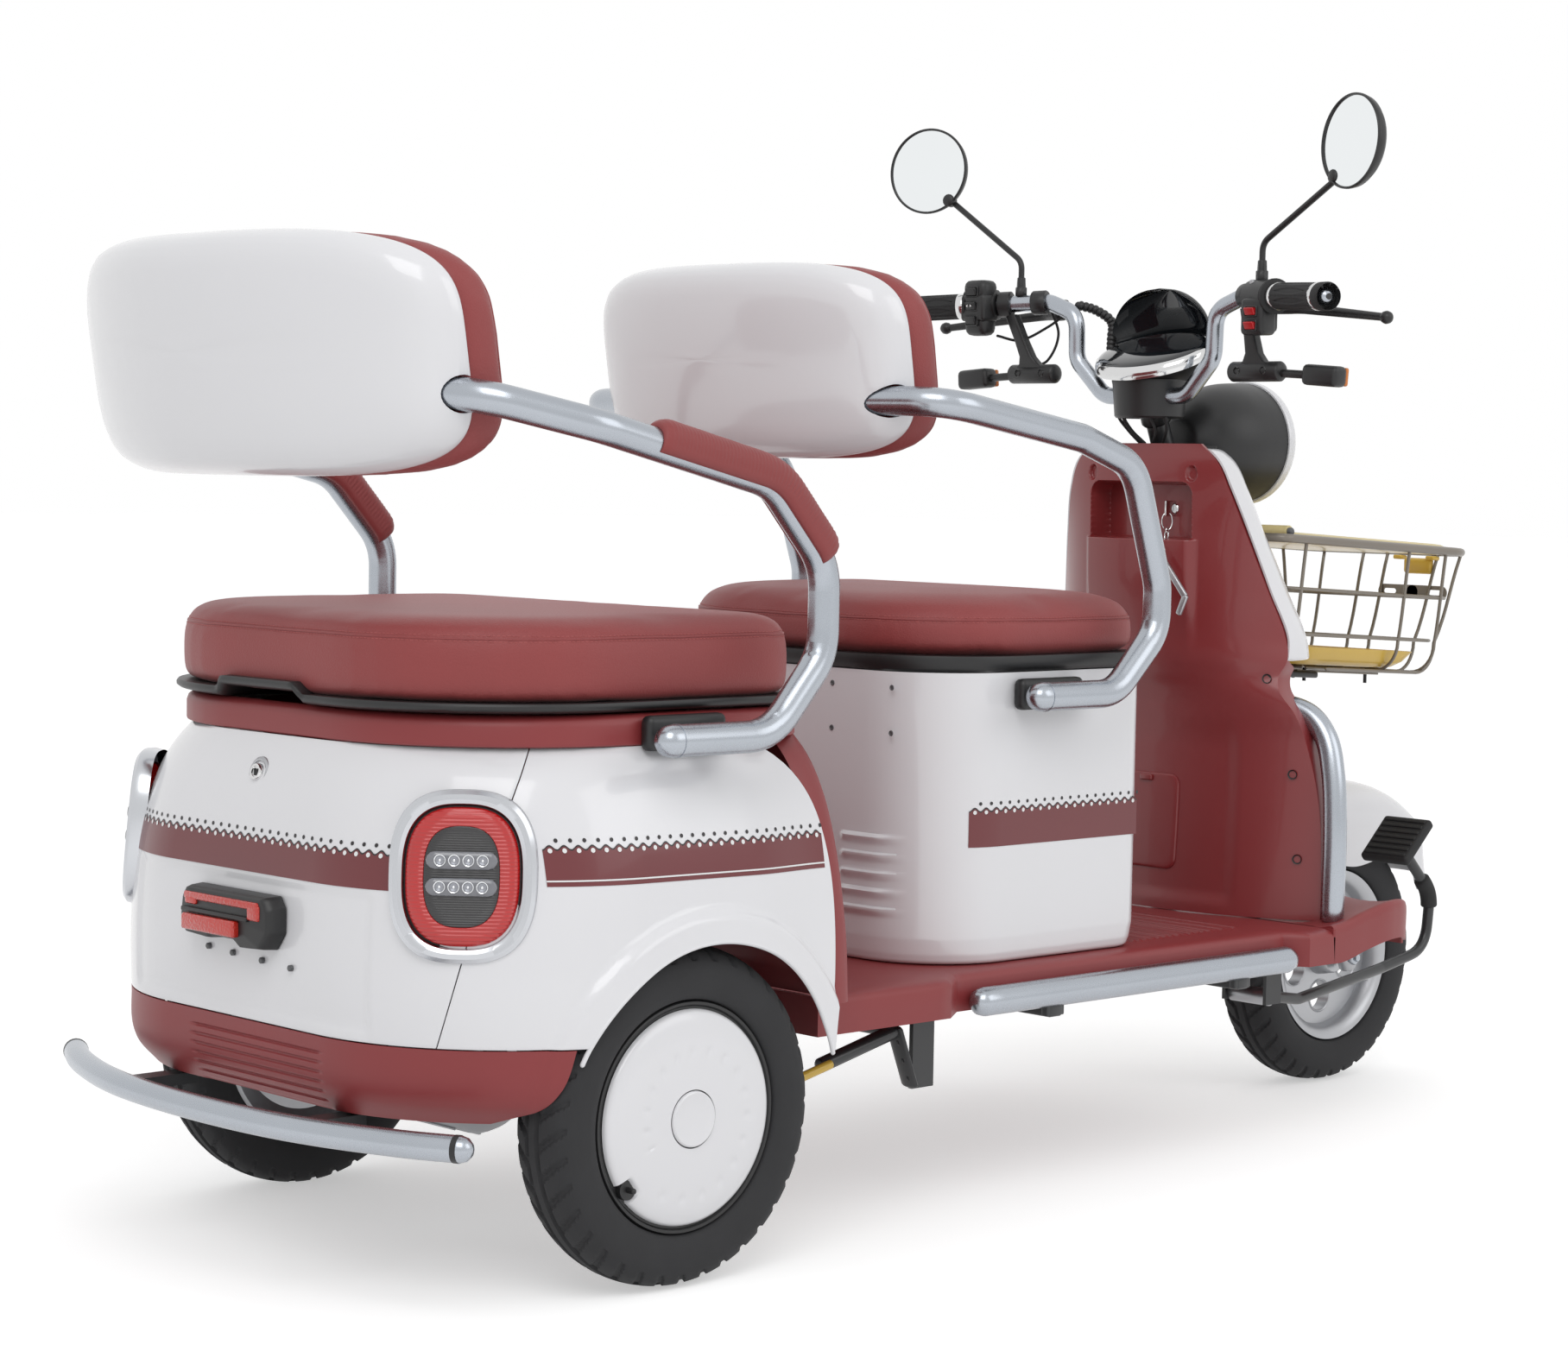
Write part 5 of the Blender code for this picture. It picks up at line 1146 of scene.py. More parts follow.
def stripe(name, at, first, last, low, top, pitch, thin_line=False):
    """Film on a surface that at(way, height, out) gives. Low and top are heights at its two ends."""
    count = max(2, int(round(abs(last - first) / pitch)))
    way = np.linspace(first, last, count * 12 + 1)
    share = np.linspace(0, 1, len(way))
    foot = low[0] + (low[1] - low[0]) * share
    head = top[0] + (top[1] - top[0]) * share
    scallop = 0.0042 * np.sin(np.pi * share * count) ** 2
    rows = np.linspace(0, 1, 12)[:, None]
    film = grid(at(way[None, :] + 0 * rows, foot + (head + scallop - foot) * rows, FILM), paint=0)
    edge_rows = np.array([0.0, 1.0])[:, None]
    edge = grid(at(way[None, :] + 0 * edge_rows, head + scallop + 0.0016 * edge_rows, FILM), paint=1)
    surfaces = [film, edge]
    centres = first + (last - first) * (np.arange(count) + 0.5) / count
    slope = (head[-1] - head[0]) / (last - first)
    a = around(14)
    for spots, lift, radius, out, paint in ((centres, 0.0002, 0.0024, 2 * FILM, 2),
                                            (centres + (last - first) / count / 2, 0.0100, 0.0021, FILM, 1)):
        for centre in spots:
            level = head[0] + slope * (centre - first) + lift
            ring = at(centre + radius * np.cos(a), level + radius * np.sin(a), out)
            surfaces.append(grid(ring[None], columns_close=True, paint=paint, caps="last"))
    if thin_line:
        line = np.array([0.0, 1.0])[:, None]
        surfaces.append(grid(at(way[None, :] + 0 * line, foot + 0.0045 + 0.0016 * line, 2 * FILM), paint=2))
    piece(name, surfaces, "chassis", [maroon, ink, white_film], sharp=80)


def on_flank(side):
    """The flank's surface in the form that a stripe takes."""
    return lambda way, height, out: fairing(side, way, height, out + 0.0001)


def on_back(way, height, out):
    """The back, by X: the way from the middle is unrolled along the shell, and one side is mirrored."""
    height = np.broadcast_to(height, np.shape(way))
    points = fairing(1, back_middle(height) - np.abs(way), height, out + 0.0001)
    points[..., 0] *= np.sign(way)
    return points


for side, hand in SIDES:
    stripe(f"stripe_flank_{hand}", on_flank(side), 0.176, -0.196, (0.422, 0.417), (0.4565, 0.451), 0.0146,
           True)
stripe("stripe_back", on_back, -0.234, 0.234, (0.4145, 0.4145), (0.4475, 0.4475), 0.0146)
print("stripes on the rear body:", 3)

# %% [markdown]
# ## Seats
# The rear seat is a black pan on a red collar, with a padded cushion that lifts with it. The cushions
# are cloth: a slightly smaller closed form is blown up a little against its own tension, so that it
# crowns and its sides swell as a real stuffed seat does. Seams and stitches are laid on afterwards.

# %% Padding
VOXEL = 0.008


def soft_form(name, rings, swell, cap):
    """A cushion blown up as cloth over twenty steps, with no point moved further than the cap."""
    mesh = mesh_of(name, [grid(rings, columns_close=True, caps="first last")])
    tidy_mesh(mesh)
    obj = bpy.data.objects.new(name, mesh)
    bpy.context.scene.collection.objects.link(obj)
    cells = obj.modifiers.new("cells", "REMESH")
    cells.mode = "VOXEL"
    cells.voxel_size = VOXEL
    bake(obj)
    rest = points_of(obj.data)
    cloth = obj.modifiers.new("cloth", "CLOTH")
    cloth.settings.use_pressure = True
    cloth.settings.uniform_pressure_force = swell
    cloth.settings.effector_weights.gravity = 0
    cloth.settings.tension_stiffness = 40
    cloth.settings.compression_stiffness = 40
    cloth.settings.bending_stiffness = 6
    for step in range(1, 21):
        bpy.context.scene.frame_set(step)
    bake(obj)
    bpy.context.scene.frame_set(1)
    moved = points_of(obj.data) - rest
    length = np.linalg.norm(moved, axis=1)[:, None]
    held = rest + moved * np.minimum(1, cap / np.maximum(length, 1e-9))
    obj.data.vertices.foreach_set("co", held.astype(np.float32).ravel())
    smooth_out = obj.modifiers.new("smooth", "SMOOTH")
    smooth_out.factor = 0.5
    smooth_out.iterations = 6
    finer = obj.modifiers.new("finer", "SUBSURF")
    finer.levels = 1
    finer.render_levels = 1
    return obj


def points_of(mesh):
    """A mesh's points as rows of three numbers."""
    flat = np.empty(len(mesh.vertices) * 3, np.float32)
    mesh.vertices.foreach_get("co", flat)
    return flat.reshape(-1, 3).astype(float)


STITCH_PITCH = 0.0050
STITCH = 0.0034
THREAD_R = 0.00042


def stitches(path):
    """Short threads end to end along a line, each a thin tube that dips at both ends."""
    surfaces = []
    for start in np.arange(0.002, way_along(path)[-1] - STITCH, STITCH_PITCH):
        line = points_at(path, np.linspace(start, start + STITCH, 4))
        surfaces.append(tube(line, THREAD_R * np.array([0.7, 1, 1, 0.7]), 5, "soft", paint=1))
    return surfaces


def nearest_on(obj, path, lift):
    """The line pressed onto the piece's surface, lifted off it along the surface's normal."""
    pressed = []
    for point in np.asarray(path) + ORIGIN:
        spot, normal = obj.closest_point_on_mesh(Vector(point))[1:3]
        pressed.append(np.array(spot + normal * lift))
    return np.array(pressed) - ORIGIN


# %% [markdown]
# The pan stands on a red collar with a tub below it, and the wall behind the passengers' legs closes
# the front. All are rings in plan at rising heights. A notch in the pan's rear edge lets a hand lift
# the seat.

# %% Rear seat
COLLAR = (0.3132, -0.222, 0.262)


def collar_ring(inset, z):
    """The collar's outline in plan at a height."""
    half, front, rear = COLLAR
    return plan_ring(half - inset, front + inset, rear - inset, 0.075, 0.215, z)


collar = grid([collar_ring(d, z) for d, z in (
    (0.0015, 0.5536), (0.0, 0.5550), (0.0, 0.5740), (0.0015, 0.5800), (0.0050, 0.5838), (0.0100, 0.5855),
    (0.0160, 0.5850), (0.0250, 0.5820))], columns_close=True)
tub = grid([plan_ring(*row) for row in (
    (0.288, -0.196, 0.236, 0.05, 0.19, 0.5822), (0.214, -0.149, 0.194, 0.06, 0.13, 0.5760),
    (0.2115, -0.1465, 0.1915, 0.06, 0.13, 0.5700), (0.2115, -0.1465, 0.1915, 0.06, 0.13, 0.3700),
    (0.205, -0.140, 0.185, 0.06, 0.13, 0.3640))], columns_close=True, caps="last")
FOOT_WALL = np.array([(0.2705, 0.348, -0.238), (0.35, 0.346, -0.234), (0.45, 0.333, -0.226),
                      (0.50, 0.320, -0.219), (0.535, 0.302, -0.213), (0.562, 0.275, -0.209)])


def foot_wall():
    """The red wall behind the passengers' legs, whose pillars wrap over the white flanks' edges."""
    z = np.linspace(0.2712, 0.562, 40)
    half = read_off(FOOT_WALL, z)
    front = read_off(FOOT_WALL, z, 2)
    section = np.array([(-1.0, 0.040), (-1.006, 0.028), (-1.004, 0.012), (-0.990, 0.003), (-0.965, 0.0),
                        (-0.90, 0.0)])
    across = np.concatenate([section[:, 0], np.linspace(-0.86, 0.86, 30), -section[::-1, 0]])
    deep = np.concatenate([section[:, 1], np.zeros(30), section[::-1, 1]])
    x = across[None, :] * half[:, None]
    y = front[:, None] + deep[None, :]
    panel = 0.004 * ease((0.255 - np.abs(x)) / 0.008) * within(z[:, None], 0.300, 0.520, 0.008)
    return grid(np.stack([x, y + panel, np.broadcast_to(z[:, None], x.shape)], -1))


piece("rear_collar", [collar, tub, foot_wall()], "chassis", [brick], ["rear_inner_body"], sharp=40)


def pan_rows(rows, notch=None):
    """Plan rings from (half width, front, rear, front radius, rear radius, height) rows.

    A notch lifts the rows behind a given Y between two X, with a smooth step at each end, so that a
    hand can reach in.
    """
    points = np.array([plan_ring(*row, 14, 30) for row in rows])
    if notch:
        x0, x1, y, lift = notch
        inside = within(points[..., 0], x0, x1, 0.012) * (points[..., 1] > y)
        points[..., 2] += lift * inside
        points[..., 1] += 0.004 * inside
    return points


rear_pan = pan_rows([(0.298, -0.203, 0.254, 0.06, 0.20, 0.5872),
                     (0.304, -0.208, 0.262, 0.065, 0.205, 0.5870),
                     (0.311, -0.214, 0.2695, 0.07, 0.21, 0.5890),
                     (0.3135, -0.217, 0.2722, 0.07, 0.21, 0.5915),
                     (0.3138, -0.2172, 0.2724, 0.07, 0.21, 0.5950),
                     (0.3125, -0.216, 0.271, 0.07, 0.21, 0.5974),
                     (0.300, -0.204, 0.258, 0.06, 0.20, 0.5976)], (-0.060, 0.092, 0.20, 0.012))
piece("pan_rear", grid(rear_pan, columns_close=True, caps="first last"), "rear_seat", [black],
      ["rear_seat_pan"], sharp=50)


def cushion_rows(w, front, rear, r_front, r_rear, low, top, crown):
    """A pad before it is blown up: a tucked foot, upright sides, a rolled edge and a crowned top."""
    rows = [(0.008, low), (0.002, low + 0.004), (0.0, low + 0.014), (0.0, low + (top - low) * 0.6),
            (0.003, top - 0.018), (0.010, top - 0.007), (0.022, top - 0.001), (0.045, top + crown * 0.35),
            (0.080, top + crown * 0.7), (0.125, top + crown)]
    return [plan_ring(w - d, front + d, rear - d, max(0.02, r_front - d), max(0.02, r_rear - d), z)
            for d, z in rows]


SEAM_THREAD = finish("seam_thread", colour_of(176, 92, 90), 0.6, mottle=0.1)


def seam_ring(shape, inset, z, shift=0.0):
    """The line of a cushion's seam, or of the stitches that lie a shift inside it."""
    w, front, rear, r_front, r_rear = shape[:5]
    far = inset + shift
    corners = (r_front - inset * 0.5, r_rear - inset * 0.5)
    return plan_ring(w - far, front + far, rear - far, *corners, z + 0.4 * shift, 14, 24)


def cushion(name, node, body, shape, seam_inset, seam_z, pressure=4.0, cap=0.007):
    """A cushion with a rolled seam and a double row of stitches round its top edge."""
    w, front, rear, *others = shape
    obj = soft_form(name, cushion_rows(w - 0.003, front + 0.003, rear - 0.003, *others), pressure, cap)
    settle(obj, body, [leather], [node], 60)
    welt = tube(nearest_on(obj, seam_ring(shape, seam_inset, seam_z), 0.0002), 0.0011, 8, closed=True)
    threads = []
    for shift in (-0.0042, 0.0042):
        ring = seam_ring(shape, seam_inset, seam_z, shift)
        threads += stitches(nearest_on(obj, looped(ring), 0.0004))
    piece(f"{name}_seam", [welt] + threads, body, [leather, SEAM_THREAD])


cushion("rear_pad", "rear_seat_cushion", "rear_seat",
        (0.312, -0.215, 0.271, 0.065, 0.205, 0.5975, 0.679, 0.001), 0.004, 0.664, 3.0, 0.0035)
print("rear seat built")

# %% [markdown]
# ## Backrests and arm bars
# Each backrest is a hard white shell with a red pad let into its front, and a satin steel bar that
# passes through the hollow between them and bends down to the body as an armrest. The shell is a stack
# of upright rounded rectangles: up the outside, round the rim and back down the inside.

# %% Backrest shells
LEAN = math.tan(math.radians(9))
BOW = 0.080
BOW_AT = 0.300
BACK_POWER = 0.455
REAR_BACK_Y = 0.335
FRONT_BACK_Y = -0.363


def bowed(x, z):
    """How far back a backrest lies: it leans with the height z, and its ends curve forward as x squared."""
    return z * LEAN - BOW * (np.asarray(x) / BOW_AT) ** 2


def back_ring(half_width, half_height, middle, y):
    """A superellipse on end: x and z are the cosine and sine of an angle to a power, and y leans and bows."""
    a = around(144) + math.pi / 144
    x = half_width * squarer(np.cos(a), BACK_POWER)
    z = half_height * squarer(np.sin(a), BACK_POWER)
    return np.stack([x, y + bowed(x, z), middle + z], -1)


# inset, depth behind the rim: up the hollow, round the rim, and over the outside
SHELL_ROWS = ((0.100, 0.0425), (0.043, 0.0395), (0.022, 0.0330), (0.0095, 0.0220), (0.0048, 0.0080),
              (0.0042, 0.0020), (0.0034, 0.0004), (0.0022, 0.0), (0.0010, 0.0006), (0.0003, 0.0030),
              (0.0, 0.0080), (0.0014, 0.0150), (0.0050, 0.0240), (0.0095, 0.0310), (0.0160, 0.0360),
              (0.0260, 0.0402), (0.0380, 0.0430), (0.0640, 0.0456), (0.0850, 0.0465), (0.1000, 0.0470))
PAD_ROWS = ((0.030, -0.0004), (0.012, -0.0006), (0.006, -0.005), (0.003, -0.014), (0.002, -0.030),
            (0.0045, -0.042), (0.010, -0.051), (0.026, -0.063), (0.060, -0.070), (0.095, -0.073))


def back_rings(w, h, middle, y, rows):
    """Rings from (inset, depth) rows, then ever smaller ones that keep the bow, so the middle is no cone."""
    rings = [back_ring(w - d, h - d, middle, y + deep) for d, deep in rows]
    for end, spot in ((0, 0), (-1, len(rows) + 4)):
        inset, deep = rows[end]
        shrunk = [back_ring((w - inset) * k, (h - inset) * k, middle, y + deep)
                  for k in (0.75, 0.5, 0.25, 0.05)]
        rings[spot:spot] = shrunk[::-1] if end == 0 else shrunk
    return rings


def backrest(prefix, w, h, middle, y, half_bar):
    """Shell and pad, with a notch on each side where the bar passes the shell's edge."""
    x, z = half_bar[:, 0], half_bar[:, 2]
    entry = half_bar[(x > -w - 0.045) & (x < 0.08 - w) & (z > middle - 0.05)]
    notches = [tube(entry * [-side, 1, 1], BAR + 0.0022, 28, "flat") for side in (-1, 1)]
    shell = grid(back_rings(w, h, middle, y, SHELL_ROWS), columns_close=True, caps="first last")
    piece(f"{prefix}_shell", shell, "chassis", [white], [f"{prefix}_backrest_shell"], sharp=60, cut=notches,
          bevel=0.0010)
    rings = back_rings(w + 0.003, h + 0.008, middle, y, PAD_ROWS)
    obj = soft_form(f"{prefix}_back_pad", rings, 4.0, 0.006)
    settle(obj, "chassis", [leather], [f"{prefix}_backrest_cushion"], 60)
    line = nearest_on(obj, back_ring(w - 0.004, h + 0.001, middle, y - 0.048), 0.0002)
    welt = tube(line, 0.0011, 8, closed=True)
    ring = back_ring(w - 0.010, h - 0.005, middle, y - 0.056)
    threads = stitches(nearest_on(obj, looped(ring), 0.0004))
    piece(f"{prefix}_back_seam", [welt] + threads, "chassis", [leather, SEAM_THREAD])


def across_back(back_y, z, across):
    """The right half of the bar's run inside a shell, which follows the shell's own curve."""
    return [(-x, back_y + 0.0120 + float(bowed(x, 0.0)), z) for x in across]


# %% [markdown]
# Each armrest is one steel tube, bent cold, which is why its bends are arcs between straight runs. Half
# of it is drawn as a line through its corners, every corner is rounded, and the other half is its
# mirror image.

# %% Arm bars
BAR = 0.0165
REAR_BAR_X = 0.379
FRONT_BAR_X = 0.300
REAR_SIDE = ((0.053, 0.563), (-0.082, 0.563), (-0.155, 0.644), (-0.155, 0.737), (-0.079, 0.820),
             (0.150, 0.8725))
REAR_ENTRY = [(-0.330, 0.247, 0.8975), (-0.285, 0.264, 0.9025)]
REAR_ARM = bend([(-REAR_BAR_X, y, z) for y, z in REAR_SIDE] + REAR_ENTRY
                + across_back(REAR_BACK_Y, 0.9025, (0.22, 0.17, 0.085, 0.0)), 0.070, 10)
FRONT_SIDE = ((-0.576, 0.581), (-0.702, 0.581), (-0.776, 0.6515), (-0.776, 0.706), (-0.729, 0.845),
              (-0.6375, 0.8755), (-0.410, 0.9115))
FRONT_ARM = bend([(-FRONT_BAR_X, y, z) for y, z in FRONT_SIDE]
                 + across_back(FRONT_BACK_Y, 0.9115, (0.200, 0.13, 0.065, 0.0)), 0.060, 10)


def dense(path, step=0.008):
    """The same line with points no further apart than the step, on its straight runs too."""
    path = np.asarray(path, float)
    far = way_along(path)
    way = np.unique(np.concatenate([far, np.arange(0, far[-1], step)]))
    return points_at(path, way[np.concatenate([[True], np.diff(way) > 1e-4])])


def arm_bar(prefix, half, x, y, z, box_x):
    """The bar, and on each side a dark lug and a pin that carry its lower end, and a collar on its tip."""
    surfaces = [tube(dense(mirrored(half)), BAR, 28)]
    for side in (-1, 1):
        surfaces.append(soft_box((side * (box_x + 0.009), y, z), (0.018, 0.106, 0.036), 0.007, paint=1))
        pin = [(side * (box_x + 0.016), y, z), (side * (x - BAR + 0.006), y, z)]
        surfaces.append(tube(pin, 0.0090, 16, "flat"))
        tip = half[0] * [-side, 1, 1]
        surfaces.append(tube([tip - [0, 0.010, 0], tip - [0, 0.0065, 0]], BAR + 0.0006, 28, "flat"))
    piece(f"{prefix}_arm_bar", surfaces, "chassis", [steel, black], [f"{prefix}_armrest"], sharp=60)


arm_bar("rear", REAR_ARM, REAR_BAR_X, -0.015, 0.566, 0.3135)
arm_bar("front", FRONT_ARM, FRONT_BAR_X, -0.636, 0.581, 0.250)
backrest("rear", 0.305, 0.121, 0.9393, REAR_BACK_Y, dense(REAR_ARM))
backrest("front", 0.245, 0.110, 0.9564, FRONT_BACK_Y, dense(FRONT_ARM))
print("backrests and bars:", 2)

# %% [markdown]
# The pads are moulded saddles that are pushed over the bar's upper bend and leave its lower side bare.
# A thick open section is carried along the bar's own line, so it can't leave the bar.

# %% Arm pads
PAD_OPEN = math.radians(58)


def arm_pad(side):
    """A saddle over the bar's upper bend: a thick section from one lip over the outer bend to the other lip.

    Outside, the radius is the bar's plus a wall that thins towards both lips, plus a small sine rib.
    Inside it is the bar's plus a gap. The two lips leave the bar's lower and rear side bare.
    """
    held = REAR_ARM[(REAR_ARM[:, 1] < 0.063) & (REAR_ARM[:, 2] > 0.742)]
    held = np.concatenate([held, [(-REAR_BAR_X, 0.083, 0.8571)]])
    path = dense(held, 0.0016) * [-side, 1, 1]
    tangent = np.gradient(path, axis=0)
    tangent /= np.linalg.norm(tangent, axis=1)[:, None]
    outward = np.cross(tangent, np.array([1.0, 0, 0]))
    outward *= np.sign(outward[-1, 2])
    far = way_along(path)
    a = np.linspace(-np.pi + PAD_OPEN, np.pi - PAD_OPEN, 56)
    end = np.minimum(far, far[-1] - far)
    taper = np.sqrt(1 - (1 - np.clip(end / 0.016, 0, 1)) ** 2)[:, None]
    to_lip = np.clip((np.pi - PAD_OPEN - np.abs(a)) / 0.45, 0, 1)
    wall = (0.0052 + 0.0052 * ease(np.cos(a)))[None, :] * np.sqrt(1 - (1 - to_lip) ** 2)[None, :]
    wave = np.sin(far[:, None] / 0.0050 * 2 * np.pi + 1.6 * np.sin(a)[None, :])
    ribs = 0.00045 * wave * ease((np.cos(a) + 0.15) / 0.3)
    outer = BAR + 0.0006 + (wall + ribs) * taper
    inner = np.broadcast_to(BAR + 0.0004, outer.shape)
    way = np.cos(a)[None, :, None] * outward[:, None] + np.sin(a)[None, :, None] * np.array([side, 0, 0])
    skin = path[:, None] + way * outer[..., None]
    lining = path[:, None] + way * inner[..., None]
    return grid(np.concatenate([skin, lining[:, ::-1]], axis=1), columns_close=True, caps="first last")


for side, hand in SIDES:
    piece(f"arm_pad_{hand}", arm_pad(side), "chassis", [pad_leather], [f"rear_arm_pad_{hand}"], sharp=60)
print("arm pads:", 2)

# %% [markdown]
# ## Driver's box and seat
# The white box holds the battery. Its rear corners are broad chamfers, and five louvres are pressed into
# its back. Behind the arm bar's end, a dark recess takes the bar's fixing; no recess is cut here, and
# the arm bar's dark lug stands at that place.

# %% Battery box
BOX_W = 0.250
BOX_FRONT = -0.822
BOX_REAR = -0.460
BOX_LOW = 0.2706
BOX_TOP = 0.606
BOX_CORNER = 0.110
LOUVRE_LOW = 0.322
LOUVRE_PITCH = 0.0208


def box_ring(inset, z):
    """The box's outline in plan at a height."""
    return plan_ring(BOX_W - inset, BOX_FRONT + inset, BOX_REAR - inset, 0.032, BOX_CORNER, z, 12, 60)


def battery_box():
    """Rings up the wall. On the back, each louvre swells slowly and ends in a sharp step."""
    z = np.concatenate([[0.0, 0.0015, 0.004], np.linspace(0.006, BOX_TOP - BOX_LOW, 170)]) + BOX_LOW
    inset = np.interp(z - BOX_LOW, [0, 0.0015, 0.004, 0.012, 0.03], [0.010, 0.006, 0.004, 0.002, 0.0])
    rings = np.array([box_ring(d, h) for d, h in zip(inset, z)])
    x, y = rings[..., 0], rings[..., 1]
    zz = rings[..., 2]
    level = np.mod((zz - LOUVRE_LOW) / LOUVRE_PITCH, 1.0)
    inside = (zz > LOUVRE_LOW) & (zz < LOUVRE_LOW + 5 * LOUVRE_PITCH)
    blade = ease(level / 0.50) * ease((0.62 - level) / 0.10)
    ends = within(np.abs(x), 0.100, 0.1800, 0.006)
    rings[..., 1] += 0.0052 * blade * ends * inside * (y > BOX_REAR - 0.03)
    return grid(rings, columns_close=True)


piece("seat_box", battery_box(), "chassis", [white], ["battery_box"], wall=0.0035, outward=(1, 1, 0),
      sharp=38)


def on_box(side):
    """The box's flank: Y forward to the rear chamfer's start, then round the corner's quarter circle."""
    def at(way, height, out):
        way, height = np.broadcast_arrays(np.asarray(way, float), np.asarray(height, float))
        start = BOX_REAR - BOX_CORNER
        angle = np.maximum(way - start, 0) / BOX_CORNER
        x = BOX_W - BOX_CORNER + (BOX_CORNER + out) * np.cos(angle)
        y = np.where(way < start, way, start + (BOX_CORNER + out) * np.sin(angle))
        return np.stack([side * x, y, height], -1)
    return at


for side, hand in SIDES:
    stripe(f"stripe_box_{hand}", on_box(side), -0.524, -0.806, (0.4065, 0.4065), (0.4465, 0.4465), 0.0146)

BOX_SCREW = [(0.0, 0.0034), (0.0007, 0.0032), (0.0010, 0.0024), (0.0002, 0.0016), (0.0002, 0.0)]
screws = []
for x in (0.081, 0.178):
    for z in (0.588, 0.536):
        for side in (-1, 1):
            screws.append(turned(BOX_SCREW, (side * x, BOX_REAR + 0.0002, z), TO_REAR, 16))
piece("box_screws", screws, "chassis", [grey_plastic])
repaint("battery", battery_paint)

front_pan = pan_rows([(0.249, -0.821, -0.461, 0.03, 0.110, 0.6066),
                      (0.2520, -0.824, -0.458, 0.045, 0.130, 0.6085),
                      (0.2550, -0.8275, -0.4548, 0.05, 0.137, 0.6130),
                      (0.2560, -0.8285, -0.4538, 0.05, 0.137, 0.6200),
                      (0.2550, -0.8275, -0.4545, 0.05, 0.137, 0.6248),
                      (0.240, -0.815, -0.470, 0.05, 0.120, 0.6250)])
piece("pan_front", grid(front_pan, columns_close=True, caps="first last"), "front_seat", [black],
      ["front_seat_pan"], sharp=50)
cushion("front_pad", "front_seat_cushion", "front_seat",
        (0.257, -0.830, -0.452, 0.055, 0.150, 0.6253, 0.684, 0.008), 0.005, 0.668)
print("driver's seat built")

# %% [markdown]
# ## Footboard and frame
# The footboard is moulded in textured brick red plastic, with a ribbed tread between two toe wings. A
# steel bar guards each edge. The black frame below keeps its CAD shape and only gets its paint.

# %% Footboard
BOARD_AT = np.array([(-0.238, 0.300), (-0.440, 0.300), (-0.478, 0.273), (-1.066, 0.273), (-1.085, 0.300),
                     (-1.136, 0.300)])
FLOOR_Z = 0.270
TREAD = (-1.050, -0.835)


def board_top():
    """The floor: rows along Y, columns across, the rim rolled down and ribs raised in the tread."""
    y = np.concatenate([np.linspace(-0.238, -0.44, 12), np.linspace(-0.446, -0.478, 8),
                        np.linspace(-0.49, -1.055, 260), np.linspace(-1.066, -1.085, 5),
                        np.linspace(-1.09, -1.136, 6)])
    half = np.interp(-y, -BOARD_AT[:, 0], BOARD_AT[:, 1])
    share = np.concatenate([np.linspace(0, 0.90, 80), [0.93, 0.955, 0.975, 0.988, 0.996, 1.0, 1.0, 1.0]])
    drop = np.concatenate([np.zeros(80), [0.0003, 0.0008, 0.002, 0.004, 0.0065, 0.010, 0.026, 0.0435]])
    share = np.concatenate([-share[::-1], share[1:]])
    drop = np.concatenate([drop[::-1], drop[1:]])
    x = half[:, None] * share[None, :]
    yy = np.broadcast_to(y[:, None], x.shape)
    lane = ease((0.225 - np.abs(x)) / 0.004) * within(yy, *TREAD, 0.004)
    gap = ease((np.abs(x) - 0.006) / 0.003)
    ribs = ease((np.cos(yy / 0.0122 * 2 * np.pi) - 0.1) / 0.5)
    z = FLOOR_Z - drop[None, :] + 0.0022 * ribs * lane * gap
    return grid(np.stack([x, yy, z], -1))


WING = np.array([(-1.132, 0.2995, 0.170, 0.2702), (-1.165, 0.2995, 0.170, 0.2745),
                 (-1.20, 0.299, 0.170, 0.283), (-1.265, 0.296, 0.170, 0.293),
                 (-1.305, 0.284, 0.172, 0.288), (-1.330, 0.262, 0.175, 0.272)])


def toe_wing(side):
    """A raised scoop ahead of the floor: rows along Y, columns from its inner foot over to the outer rim."""
    y = np.linspace(-1.134, -1.330, 70)
    outer = flowing(-y, -WING[:, 0], WING[:, 1])
    inner = flowing(-y, -WING[:, 0], WING[:, 2])
    top = flowing(-y, -WING[:, 0], WING[:, 3])
    share = np.array([0.0, 0.0, 0.02, 0.05, 0.10, 0.25, 0.40, 0.55, 0.70, 0.82, 0.90, 0.94, 0.965, 0.985,
                      1.0, 1.004, 1.0, 1.0])
    lift = np.array([-0.052, -0.020, -0.006, -0.0015, -0.001, -0.003, -0.0045, -0.0045, -0.003, -0.001,
                     0.0015, 0.0030, 0.0032, 0.0018, -0.003, -0.010, -0.030, -0.046])
    x = inner[:, None] + (outer - inner)[:, None] * share
    end = ease((y + 1.330) / 0.020)[:, None]
    z = top[:, None] + lift * (0.35 + 0.65 * end)
    z = np.maximum(z, 0.2262 + 0.014 * ease((-1.14 - y) / 0.19)[:, None])
    return grid(np.stack([side * x, np.broadcast_to(y[:, None], x.shape), z], -1))


def end_wall(first_x, last_x, y, low, high):
    """An upright wall across the board at a Y."""
    return grid([[(first_x, y, z), (last_x, y, z)] for z in (low, high)])


board = [board_top()] + [toe_wing(side) for side in (-1, 1)]
board += [end_wall(side * 0.18, side * 0.262, -1.3302, 0.232, 0.270) for side in (-1, 1)]
board += [end_wall(-0.300, 0.300, -0.2382, 0.2265, 0.2695), end_wall(-0.300, 0.300, -1.1360, 0.2265, 0.2700)]
piece("floor_board", board, "chassis", [brick], ["footboard"], wall=0.004, outward=UPWARD, sharp=40)

# %% [markdown]
# A steel tube protects each edge of the floor, and a hoop stands in front of the driver's legs. Both
# are plain tubes with a bright finish, and flat ties carry the long ones.

